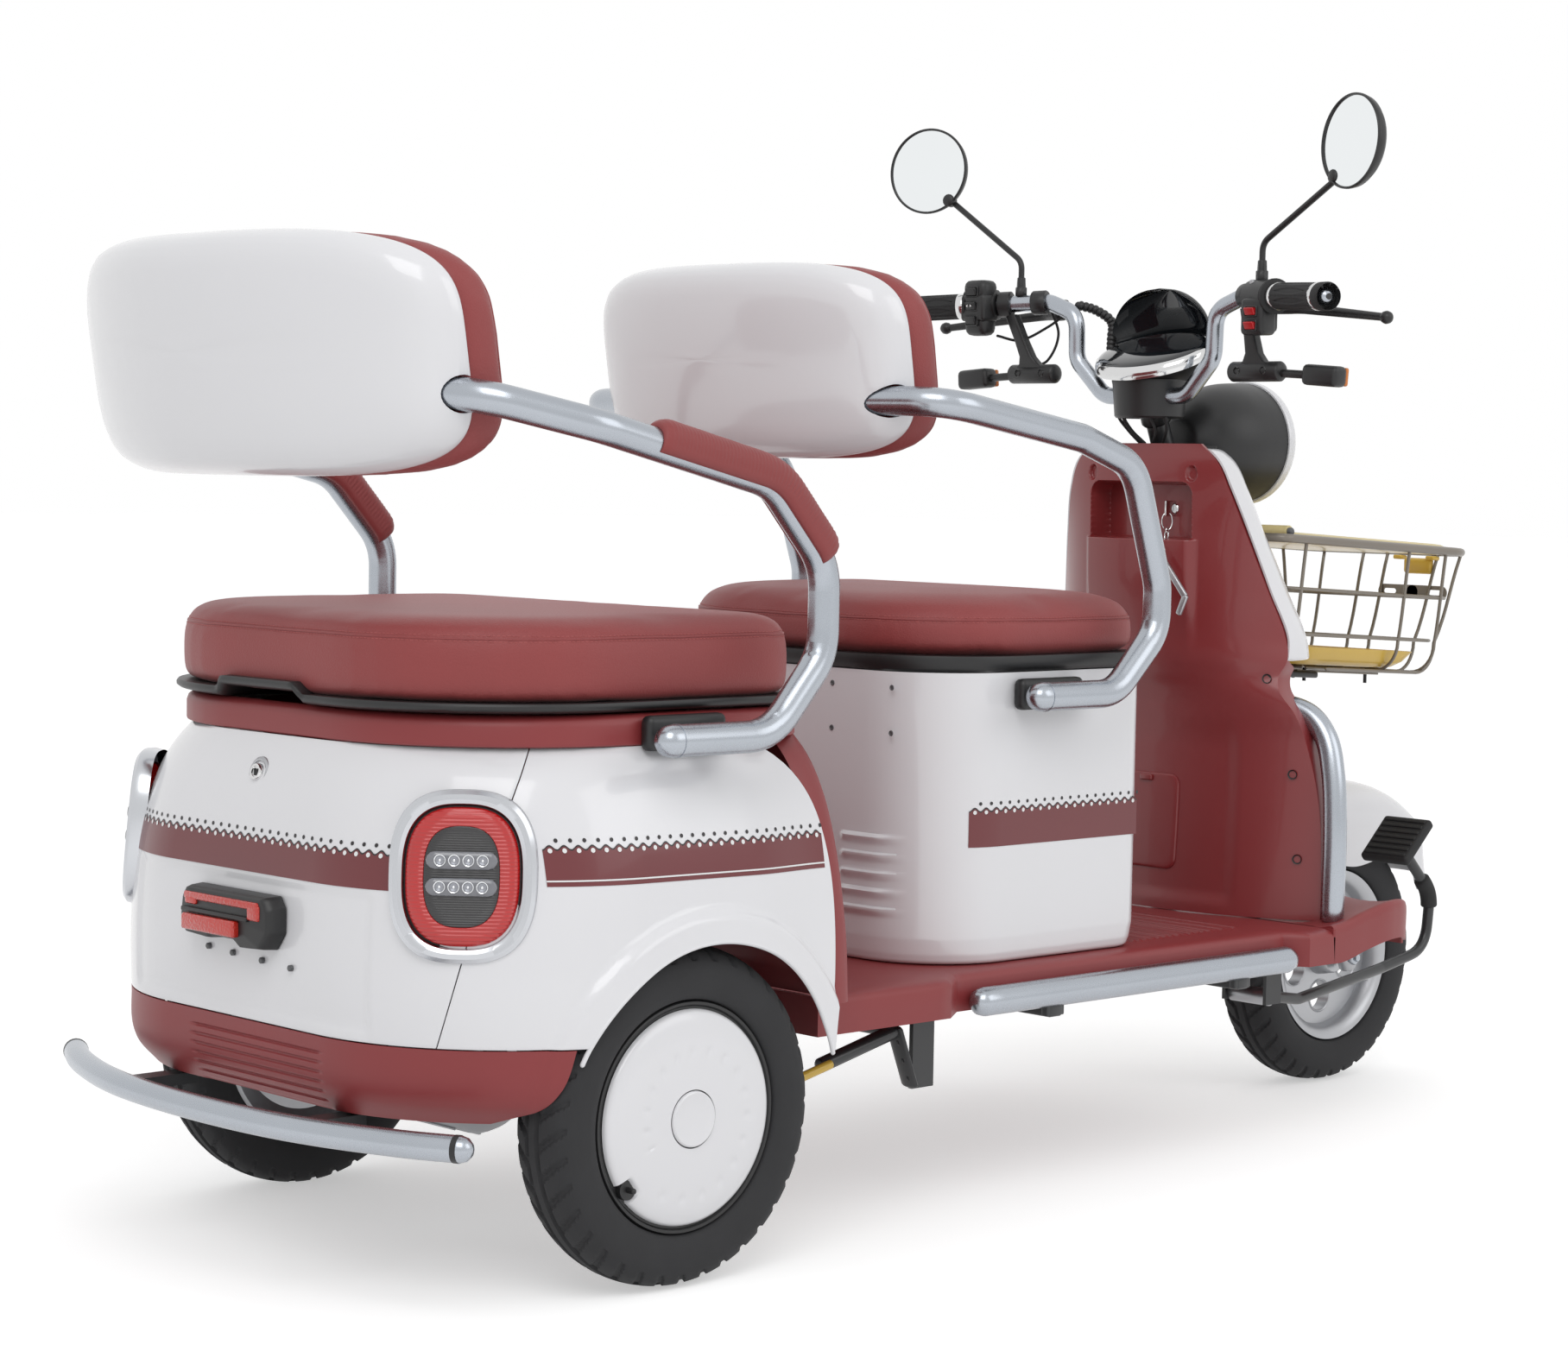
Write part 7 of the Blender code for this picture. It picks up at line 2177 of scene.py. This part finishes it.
# %% Grips
def grip(side, first, last):
    """Rubber with eight long flutes, each as wide as a sine lens between the grip's ends."""
    reach = np.linspace(first, last, 110)
    a = around(144)
    along = ((reach - first) / (last - first))[:, None]
    lens = 0.36 * np.sin(np.pi * np.clip((along - 0.06) / 0.88, 0, 1))
    place = np.abs(np.mod(a[None, :] * 8 / (2 * np.pi), 1.0) - 0.5)
    flute = 0.0015 * ease((lens - place) / 0.10)
    rings = 0.0006 * ease((np.cos(along * 2 * np.pi * 34) - 0.2) / 0.4) * ease((place - 0.42) / 0.03)
    radius = 0.0170 - flute - rings
    middle = bar_point(reach, side)
    first_way, up = square_to(bar_point(0.3, side) - bar_point(0.2, side))[1:]
    round_it = np.sin(a)[:, None] * first_way + np.cos(a)[:, None] * up
    return grid(middle[:, None] + round_it[None] * radius[..., None], columns_close=True, caps="first last")


def grip_set(side, start):
    """A flange, a bright ring, the fluted rubber, a second ring, and an end cap with painted shade in its
    hole.
    """
    flange = along_bar(side, [(start, 0.0190), (start + 0.0012, 0.0222), (start + 0.0045, 0.0222),
                              (start + 0.0060, 0.0175)], 0)
    first_ring = along_bar(side,
                           [(start + 0.0055, 0.0166), (start + 0.0062, 0.0172), (start + 0.0150, 0.0172),
                            (start + 0.0157, 0.0166)], 1)
    second_ring = along_bar(side, [(0.3340, 0.0166), (0.3347, 0.0174), (0.3410, 0.0174), (0.3417, 0.0166)], 1)
    cap = along_bar(side, [(0.3412, 0.0160), (0.3420, 0.0175), (0.3545, 0.0178), (0.3572, 0.0165),
                           (0.3580, 0.0120), (0.3580, 0.0040)], 0)
    # The cap's hole is not cut: a black gloss disc just behind its face is painted shade for it.
    hole_shade = along_bar(side, [(0.3576, 0.0041), (0.3578, 0.0004)], 2, 12)
    return [flange, first_ring, grip(side, start + 0.0155, 0.3345), second_ring, cap, hole_shade]


piece("grip_right", grip_set(-1, 0.2335), "throttle", [rubber, bright, black_gloss], ["throttle_grip"],
      sharp=50)
piece("grip_left", grip_set(1, 0.2690), "steering", [rubber, bright, black_gloss], sharp=50)
print("grips:", 2)

# %% [markdown]
# Both housings are clamped halves of black plastic with a rim round every button. Each button is a
# piece of its own, because it moves, and its cap is tipped like a rocker.

# %% Switch housings and buttons
RIGHT_POD = bar_point(0.21175, -1)
LEFT_POD = bar_point(0.2500, 1)
FACE = 0.027


def button_frame(at, width, height):
    """A raised rim round a button: a flat ring with rounded outer edge, standing on the pod's rear face."""
    rows = []
    for grow, out in ((0.0022, -0.002), (0.0022, 0.0004), (0.00132, 0.0012), (0.0006, 0.0012),
                      (0.0004, -0.002)):
        flat = plan_ring(width / 2 + grow, -height / 2 - grow, height / 2 + grow, 0.002, 0.002, 0.0, 4, 4)
        rows.append(np.stack([flat[:, 0], np.full(len(flat), out), flat[:, 1]], -1) + at)
    return grid(rows, columns_close=True)


right_collar = [(0.1870, 0.0185), (0.1885, 0.0205), (0.2110, 0.0212), (0.2300, 0.0205), (0.2320, 0.0185)]
right_body = [along_bar(-1, right_collar),
              soft_box(RIGHT_POD + [0, 0.011, -0.026], (0.036, 0.030, 0.046), 0.006),
              soft_box(RIGHT_POD + [0, -0.006, -0.030], (0.024, 0.020, 0.030), 0.006),
              tube(RIGHT_POD + [(0.014, 0.006, 0.0155), (0.014, 0.006, 0.0195)], 0.0040, 12, "soft", 1)]
left_body = [along_bar(1, [(0.2320, 0.0170), (0.2335, 0.0200), (0.2665, 0.0200), (0.2680, 0.0185)]),
             along_bar(1, [(0.2140, 0.0145), (0.2155, 0.0170), (0.2290, 0.0170), (0.2305, 0.0145)]),
             soft_box(LEFT_POD + [0, 0.010, 0.018], (0.040, 0.031, 0.030), 0.009),
             soft_box(LEFT_POD + [0, 0.011, -0.004], (0.043, 0.032, 0.036), 0.005),
             soft_box(LEFT_POD + [0, 0.009, -0.026], (0.038, 0.030, 0.030), 0.010)]
# name: pod, height on it, width, height, colour
BUTTONS = {"start_button": (RIGHT_POD, -0.0200, 0.016, 0.010, signal_red),
           "speed_button": (RIGHT_POD, -0.0375, 0.016, 0.010, signal_red),
           "lamp_button": (LEFT_POD, 0.0170, 0.018, 0.011, black),
           "turn_button": (LEFT_POD, -0.0020, 0.018, 0.011, black),
           "horn_button": (LEFT_POD, -0.0210, 0.018, 0.011, black)}
for name, (pod, height, wide, tall, paint) in BUTTONS.items():
    at = pod + [0, FACE, height]
    (right_body if pod is RIGHT_POD else left_body).append(button_frame(at - [0, 0.0006, 0], wide, tall))
    cap = soft_box(at + [0, 0.0004, 0], (wide - 0.0006, 0.0070, tall - 0.0006), 0.0016)
    cap["points"][..., 1] += 0.0016 * np.sign(cap["points"][..., 2] - at[2]) * (cap["points"][..., 1] > at[1])
    marks = []
    if name == "turn_button":
        for side in (-1, 1):
            mark = np.array([(side * 0.0052, 0, 0), (side * 0.0020, 0, 0.0020), (side * 0.0020, 0, -0.0020)])
            marks.append(grid([mark + at + [0, 0.0058, 0]], columns_close=True, paint=1, caps="last"))
    piece(f"{name}_cap", [cap] + marks, name, [paint, white_film], [name])
piece("housing_right", right_body, "steering", [black, alloy], ["switch_housing_right"])
piece("housing_left", left_body, "steering", [black], ["switch_housing_left"])
print("buttons:", len(BUTTONS))

# %% [markdown]
# Each side carries a brake lever, a round mirror on a bent stem, and an indicator on a bracket. One
# function makes each, and the side is its argument, because the two sides share nearly all measures.

# %% Levers, mirrors and indicators
LEVER_ROOT = (0.1765, -1.125, 1.0492)
LEVER_ELBOW = (0.215, -1.140, 1.048)
LEVER_TIP = (0.372, -1.108, 1.032)


def brake_lever(side):
    """A flattened blade that tapers to a ball at its tip, and its pivot with a bolt's head on top."""
    root, elbow, tip = (np.array(spot) * [side, 1, 1] for spot in (LEVER_ROOT, LEVER_ELBOW, LEVER_TIP))
    line = dense(bend([root, elbow, tip], 0.03, 7), 0.006)
    width = np.interp(np.linspace(0, 1, len(line)), [0, 0.16, 0.55, 1], [0.0088, 0.0074, 0.0062, 0.0048])
    ball = tube([tip, tip + (tip - elbow) * 0.004], 0.0082, 18)
    pivot = tube([root - [0, 0, 0.0068], root + [0, 0, 0.0068]], 0.0095, 20, "soft")
    bolt = turned([(0, 0.0042), (0.0022, 0.0042), (0.0030, 0.0030), (0.0030, 0)], root + [0, 0, 0.0062],
                  UPWARD, 6, 1)
    return [tube(line, width, 18, wide=0.72), ball, pivot, bolt]


def mirror(side):
    """A round shell with its pane, turned to the rider, on a bent stem that stands in a hexagonal boot."""
    on_housing = side < 0
    foot = bar_point(0.205 if on_housing else 0.203, side) + [0, 0, BAR_TUBE + (0.010 if on_housing else 0.0)]
    middle = np.array([side * 0.357, -1.054, 1.242])
    facing = np.array([side * -0.28, 0.955, 0.05])
    facing /= np.linalg.norm(facing)
    near = middle + [side * -0.034, 0, -0.040] - facing * 0.012
    stem = dense(bend([foot, foot + [0, 0, 0.045], near], 0.02, 8), 0.01)
    shell = turned([(-0.0190, 0), (-0.0186, 0.014), (-0.0172, 0.028), (-0.0145, 0.041), (-0.0100, 0.0505),
                    (-0.0040, 0.0560), (0.0030, 0.0580), (0.0062, 0.0580), (0.0072, 0.0572),
                    (0.0072, 0.0556), (0.0046, 0.0548)], middle, facing, 72)
    pane = turned([(0.0047, 0.0549), (0.0050, 0.0300), (0.0052, 0.0)], middle, facing, 72, 1)
    boot = turned([(-0.0010, 0.0072), (0.0, 0.0078), (0.0100, 0.0078), (0.0112, 0.0062), (0.0230, 0.0056),
                   (0.0240, 0.0044)], foot, UPWARD, 6)
    socket = tube([near, near + facing * 0.010], 0.0085, 16, "soft")
    return [tube(stem, 0.0040, 14), shell, pane, boot, socket]


def indicator(side):
    """A bracket that drops from the bar and widens to a barrel, a stalk, and a lamp with its lens."""
    arm_x = 0.174 if side < 0 else 0.214
    top, low = 1.046, 0.968
    bar_y = bar_point(arm_x, side)[1]
    levels = ((top, 0.0088), (1.010, 0.0092), (0.990, 0.0110), (0.980, 0.0170), (0.974, 0.0270),
              (low, 0.0350))
    arm = []
    for z, half in levels:
        way = (top - z) / (top - low)
        flat = plan_ring(half, -0.0075, 0.0075, 0.004, 0.004, z, 5, 4)
        arm.append(flat + [side * (arm_x + (0.189 - arm_x) * way), bar_y + (STALK_Y - bar_y) * way, 0])
    block_at = np.array([side * 0.294, STALK_Y, 0.961])
    tilt = turn_about("Y", side * 4)
    surfaces = [grid(arm, columns_close=True, caps="first last"),
                tube([(side * 0.152, STALK_Y, 0.967), (side * 0.226, STALK_Y, 0.967)], 0.0128, 24, "soft"),
                tube([(side * 0.220, STALK_Y, 0.965), (side * 0.275, STALK_Y, 0.962)], 0.0052, 14),
                soft_box(block_at, (0.054, 0.026, 0.026), 0.0065, tilt),
                soft_box(block_at - [0, 0.0145, 0], (0.051, 0.006, 0.023), 0.0025, tilt, 1)]
    screw = [(0.0, 0.0048), (0.0010, 0.0044), (-0.002, 0.0030), (-0.002, 0.0)]
    return surfaces + [turned(screw, (side * x, STALK_Y + 0.0125, low), TO_REAR, 14, 2)
                       for x in (0.166, 0.208)]


STALK_Y = -1.089
for side, hand in SIDES:
    piece(f"lever_{hand}_blade", brake_lever(side), f"lever_{hand}", [black, steel], [f"brake_lever_{hand}"])
    piece(f"mirror_{hand}_head", mirror(side), f"mirror_{hand}", [black, mirror_glass],
          [f"mirror_{hand}"], sharp=50)
    piece(f"indicator_{hand}_lamp", indicator(side), "steering", [black, amber, black_gloss],
          [f"indicator_{hand}"], sharp=45)
print("levers, mirrors and indicators:", 6)


# %% [markdown]
# The display is a dark glass over a cup, with a bright ring between them and a hood round its front.
# All but the hood are ellipses in plan that are tipped to the rider.

# %% Display
DASH_Y = -1.108


def dash_ring(radius, z, tip=0.0, deep=0.72):
    """An ellipse of a half width, deep times as long, whose rear end is lower than its middle by tip."""
    a = around(72)
    return np.stack([radius * np.cos(a), DASH_Y + deep * radius * np.sin(a), z - tip * np.sin(a)], -1)


def stack_of(rows, paint, caps=""):
    """A surface through several of the dash's rings."""
    return grid([dash_ring(*row) for row in rows], columns_close=True, paint=paint, caps=caps)


def visor():
    """A hood round the dash's front: arcs whose half width falls by a root curve as they rise."""
    t = np.linspace(0, 1, 40)[:, None]
    a = np.radians(np.linspace(197, 343, 70))[None, :]
    half = 0.0870 * np.sqrt(np.clip(1 - t ** 2.6, 0, 1))
    foot = 0.9950 - 0.024 * np.sin(a)
    x = half * np.cos(a)
    y = DASH_Y + 0.0590 * (1 - 0.46 * t) * np.sin(a)
    z = foot + (1.0770 - foot) * t
    inside = np.stack([x, y, z], -1)
    outside = inside + np.stack([0 * x, -0.0028 + 0 * x, 0.0008 + 0 * x], -1)
    return [grid(inside, paint=1), grid(outside, paint=0),
            grid(np.concatenate([inside[:, :1], outside[:, :1]], 1), paint=0),
            grid(np.concatenate([inside[:, -1:], outside[:, -1:]], 1), paint=0)]


cup = stack_of([(0.0485, 0.9570, 0.0, 1.0), (0.0520, 0.9620, 0.0040, 0.95), (0.0640, 0.9700, 0.0130, 0.82),
                (0.0790, 0.9800, 0.0240, 0.73)], 0, "first")
chrome = stack_of([(0.0785, 0.9798, 0.0240), (0.0815, 0.9806, 0.0247), (0.0828, 0.9840, 0.0251),
                   (0.0830, 0.9900, 0.0252), (0.0815, 0.9950, 0.0250), (0.0780, 0.9970, 0.0240)], 2)
dash = stack_of([(0.0785, 0.9965, 0.0241), (0.0770, 0.9985, 0.0236), (0.0700, 1.0010, 0.0215),
                 (0.0560, 1.0030, 0.0170), (0.0300, 1.0045, 0.0090)], 1, "last")
post = tube([steer_point(0.9526), steer_point(0.980)], 0.0200, 28, "flat", 0)
piece("display_unit", [cup, chrome, dash, post] + visor(), "steering", [black, screen_glass, bright],
      ["display"], sharp=50)
can = turned([(0.0, 0.0380), (0.0004, 0.0430), (0.0030, 0.0452), (0.0230, 0.0468), (0.0440, 0.0486),
              (0.0480, 0.0496), (0.0505, 0.0492)], (0, DASH_Y + 0.003, 0.9080), UPWARD, 64)
piece("display_can", can, "steering", [black], wall=0.002, outward=(0, 0, -1))
print("display built")

# %% [markdown]
# Two thin cables leave the left housing, a wrapped loom crosses to the display, and four run down the
# stem. A cable could be simulated, but so short a piece hardly sags, so each follows listed points.

# %% Cables
# name: diameter, then points from the left housing, the bar or the display to the other end
CABLES = {"switch_cable": (0.0036,
                           [(0.240, -1.070, 1.018), (0.214, -1.084, 1.012), (0.176, -1.100, 1.030),
                            (0.146, -1.100, 1.046)]),
          "horn_cable": (0.0036, [(0.176, -1.106, 1.052), (0.168, -1.112, 1.020), (0.180, -1.104, 0.985),
                                  (0.190, -1.096, 0.978)]),
          "stem_cable_1": (0.0042,
                           [(-0.034, -1.088, 0.935), (-0.040, -1.090, 0.912), (-0.034, -1.100, 0.894),
                            (-0.018, -1.112, 0.876)]),
          "stem_cable_2": (0.0042,
                           [(0.034, -1.086, 0.935), (0.040, -1.090, 0.912), (0.032, -1.100, 0.894),
                            (0.018, -1.110, 0.876)]),
          "stem_cable_3": (0.0036,
                           [(-0.020, -1.074, 0.935), (-0.024, -1.078, 0.912), (-0.022, -1.092, 0.892),
                            (-0.008, -1.104, 0.876)]),
          "stem_cable_4": (0.0050,
                           [(0.018, -1.072, 0.935), (0.022, -1.078, 0.912), (0.018, -1.092, 0.892),
                            (0.006, -1.104, 0.876)])}
for name, (diameter, spots) in CABLES.items():
    path = through(spots, 36)
    obj = piece(name, tube(path, diameter / 2, 10), "steering", [rubber])
loom_path = through([(0.128, -1.106, 1.058), (0.112, -1.122, 1.052), (0.092, -1.132, 1.036),
                     (0.086, -1.126, 1.014), (0.080, -1.118, 0.992)], 320)
length = float(way_along(loom_path)[-1])
far = np.linspace(0, length, 320)
loom = tube(loom_path, 0.0050 + 0.0016 * np.abs(np.sin(far / 0.0066 * np.pi)) ** 0.6, 20)
obj = piece("wrapped_loom", loom, "steering", [black])

# %% [markdown]
# ## Foot brake, bumper, plate bracket and running gear
# The last pieces hang from the frame: the brake pedal with its rubber pad, the bumper with its caps, the
# bracket for a number plate with a red strip and a reflector, the seat's lock, and the rear axle.

# %% Foot brake
PEDAL_TURN = turn_about("X", -43)
PEDAL_AT = np.array([-0.175, -1.430, 0.352])
pedal_line = dense(bend([(-0.215, -1.078, 0.182), (-0.202, -1.19, 0.164), (-0.176, -1.400, 0.182),
                         (-0.175, -1.500, 0.200), (-0.175, -1.508, 0.275), PEDAL_AT], 0.045, 9), 0.01)
pedal = [tube(pedal_line, 0.0072, 18), tube(pedal_line[-22:-9], 0.0110, 20, "soft", 1),
         tube([(-0.2445, -1.078, 0.182), (-0.1855, -1.078, 0.182)], 0.0108, 24, "soft", 2),
         soft_box(PEDAL_AT, (0.076, 0.076, 0.014), 0.005, PEDAL_TURN, 1)]
up = PEDAL_TURN @ np.array([0, 0, 1.0])
for k in range(7):
    bar_at = PEDAL_AT + up * 0.0074 + PEDAL_TURN @ np.array([0, -0.030 + 0.010 * k, 0])
    pedal.append(soft_box(bar_at, (0.066, 0.0052, 0.0030), 0.0012, PEDAL_TURN, 1))
piece("foot_brake", pedal, "pedal", [frame_paint, rubber, alloy], ["brake_pedal"], sharp=50)
print("foot brake built, parts:", len(pedal))

# %% [markdown]
# The bumper is a bent tube with dark plugs, the bracket a stepped plastic frame with a red strip and a
# reflector, and the lock a bright barrel with a slot.

# %% Bumper, plate bracket and lock
BUMPER_Z = 0.178
BUMPER = ((-0.345, 0.283), (-0.300, 0.306), (-0.250, 0.325), (-0.190, 0.343), (-0.120, 0.356), (0.0, 0.3625))
bumper = through(mirrored([(x, y, BUMPER_Z) for x, y in BUMPER]), 120)
ends = [tube(part, 0.0138, 24, "flat", paint=1) for part in (bumper[:2], bumper[-2:])]
piece("bumper_bar", [tube(bumper, 0.0135, 24)] + ends, "chassis", [steel, black], ["rear_bumper"], sharp=60)


PLATE_Y = 0.3240


def bracket_ring(half, low, high, y):
    """The bracket's outline on end, cut at its lower corners and stepped up under the reflector."""
    corners = [(0.0, high), (-half + 0.008, high), (-half, high - 0.012), (-half, low + 0.020),
               (-half + 0.014, low + 0.002), (-0.030, low), (-0.018, low + 0.007), (0.022, low + 0.007),
               (0.030, low + 0.004), (half - 0.008, low + 0.006), (half, low + 0.022),
               (half - 0.003, high - 0.010), (half - 0.010, high), (0.0, high)]
    line = bend([np.array([x, y, z]) for x, z in corners], 0.004, 4)
    return points_at(line, np.linspace(0, way_along(line)[-1], 140, endpoint=False))


shell_rows = [(0.0810, 0.3375, 0.3950, 0.3020), (0.0800, 0.3385, 0.3940, PLATE_Y - 0.008),
              (0.0770, 0.3400, 0.3925, PLATE_Y - 0.001), (0.0750, 0.3415, 0.3910, PLATE_Y)]
shell = [grid([bracket_ring(*row) for row in shell_rows], columns_close=True, caps="first last")]
strip = [soft_box((0.0020, PLATE_Y, 0.3845), (0.132, 0.0060, 0.0080), 0.0025, paint=1),
         soft_box((0.0560, PLATE_Y, 0.3805), (0.020, 0.0060, 0.0100), 0.0025, paint=1),
         soft_box((-0.0560, PLATE_Y, 0.3775), (0.020, 0.0060, 0.0160), 0.0025, paint=1)]
reflector = soft_box((0.0180, PLATE_Y + 0.003, 0.3580), (0.094, 0.0100, 0.0170), 0.0028, paint=1)
ledge = soft_box((0.0120, PLATE_Y + 0.001, 0.3700), (0.118, 0.0060, 0.0050), 0.0015)
piece("plate_holder", shell + strip + [reflector, ledge], "chassis", [black, reflex_red],
      ["plate_bracket"], sharp=45)
PANEL_Y = 0.3035
RIVET_SECTION = [(-0.002, 0.0034), (0.0010, 0.0032), (0.0018, 0.0022), (0.0020, 0.0)]
rivets = [turned(RIVET_SECTION, (x, PANEL_Y, z), TO_REAR, 16)
          for x, z in ((0.056, 0.3300), (0.012, 0.3280), (-0.040, 0.3260), (-0.090, 0.3240))]
piece("panel_rivets", rivets, "chassis", [grey_plastic])
LOCK_AT = np.array([0.0, 0.2815, 0.514])
LOCK_WAY = (0, 1, 0.25)
lock_section = [(-0.020, 0.0092), (0.0030, 0.0092), (0.0048, 0.0082), (0.0044, 0.0060), (0.0030, 0.0056),
                (0.0030, 0.0)]
lock = [turned(lock_section, LOCK_AT, LOCK_WAY, 32),
        soft_box(LOCK_AT + [0, 0.0040, 0.0008], (0.0016, 0.0030, 0.0075), 0.0006, paint=1)]
piece("lock_barrel", lock, "lock", [bright, black_gloss], ["seat_lock"], sharp=40)
ring_section = [(-0.006, 0.0120), (0.0006, 0.0125), (0.0012, 0.0140), (-0.0004, 0.0165), (-0.004, 0.0175)]
piece("lock_ring", turned(ring_section, LOCK_AT, LOCK_WAY, 36), "chassis", [alloy])
print("bumper, bracket and lock built")

# %% [markdown]
# A flat lever hangs under the floor on the right, ahead of the wheel, with a cross tube and a short
# yellow rod. What it does can't be told from the photograph.

# %% Hanger lever and its rod
hanger = [tube([(-0.2540, -0.4240, 0.1480), (-0.2540, -0.3980, 0.2130)], 0.0125, 20, "soft", wide=0.35),
          tube([(-0.2540, -0.4000, 0.2110), (-0.2500, -0.2870, 0.1830)], 0.0085, 16, "soft"),
          tube([(-0.2500, -0.3980, 0.2100), (0.2500, -0.3980, 0.2100)], 0.0075, 16, "flat"),
          tube([(-0.2580, -0.2950, 0.1850), (-0.2600, -0.1980, 0.1640)], 0.0052, 14, "soft", 1)]
for y, z in ((-0.4205, 0.1570), (-0.4120, 0.1780), (-0.4035, 0.1990)):
    hanger.append(turned([(0.0030, 0.0052), (0.0050, 0.0050), (0.0052, 0.0030), (0.0046, 0.0)],
                         (-0.2540, y, z), (-1, 0, 0), 18, 2))
piece("hanger_lever", hanger, "chassis", [frame_paint, yellow, black])
print("hanger lever built, parts:", len(hanger))

# %% [markdown]
# The motor sits in the middle of the axle with cooling ribs round it, and a brake drum stands beside
# each wheel. Little of it is seen, so plain turned shapes are enough.

# %% Rear axle and rods
gear = [tube([(-0.230, 0, TYRE_R), (0.230, 0, TYRE_R)], 0.0210, 32, "soft", 0),
        turned([(-0.058, 0.030), (-0.058, 0.055), (-0.050, 0.064), (-0.040, 0.068), (0.040, 0.068),
                (0.050, 0.064), (0.058, 0.055), (0.058, 0.030)], (0.02, 0, TYRE_R), TO_LEFT, 48, 1)]
MOTOR_R = 0.0685
for k in range(12):
    angle = k * math.pi / 6
    spot = np.array([0.02, MOTOR_R * math.sin(angle), TYRE_R + MOTOR_R * math.cos(angle)])
    gear.append(soft_box(spot, (0.074, 0.004, 0.004), 0.001, turn_about("X", -30 * k), 1))
for side in (-1, 1):
    drum = [(0.2290, 0.024), (0.2290, 0.052), (0.2330, 0.060), (0.2400, 0.062), (0.2660, 0.062),
            (0.2690, 0.058), (0.2690, 0.024)]
    gear.append(turned([(side * x, r) for x, r in drum], (0, 0, TYRE_R), TO_LEFT, 48, 1))
    gear.append(soft_box((side * 0.2250, -0.052, 0.150), (0.006, 0.080, 0.014), 0.002,
                         turn_about("X", 20), 0))
    for y in (-0.05, 0.04):
        gear.append(soft_box((side * 0.150, y, 0.225), (0.030, 0.016, 0.110), 0.004, paint=0))
piece("axle_and_motor", gear, "chassis", [frame_paint, alloy], ["rear_axle"], sharp=45)
print("running gear built")

# %% [markdown]
# ## The pieces
# Each piece was given to its body of the frame as it was made, and here they are counted.

# %% Count of pieces
print("pieces made here:", len(made_pieces))
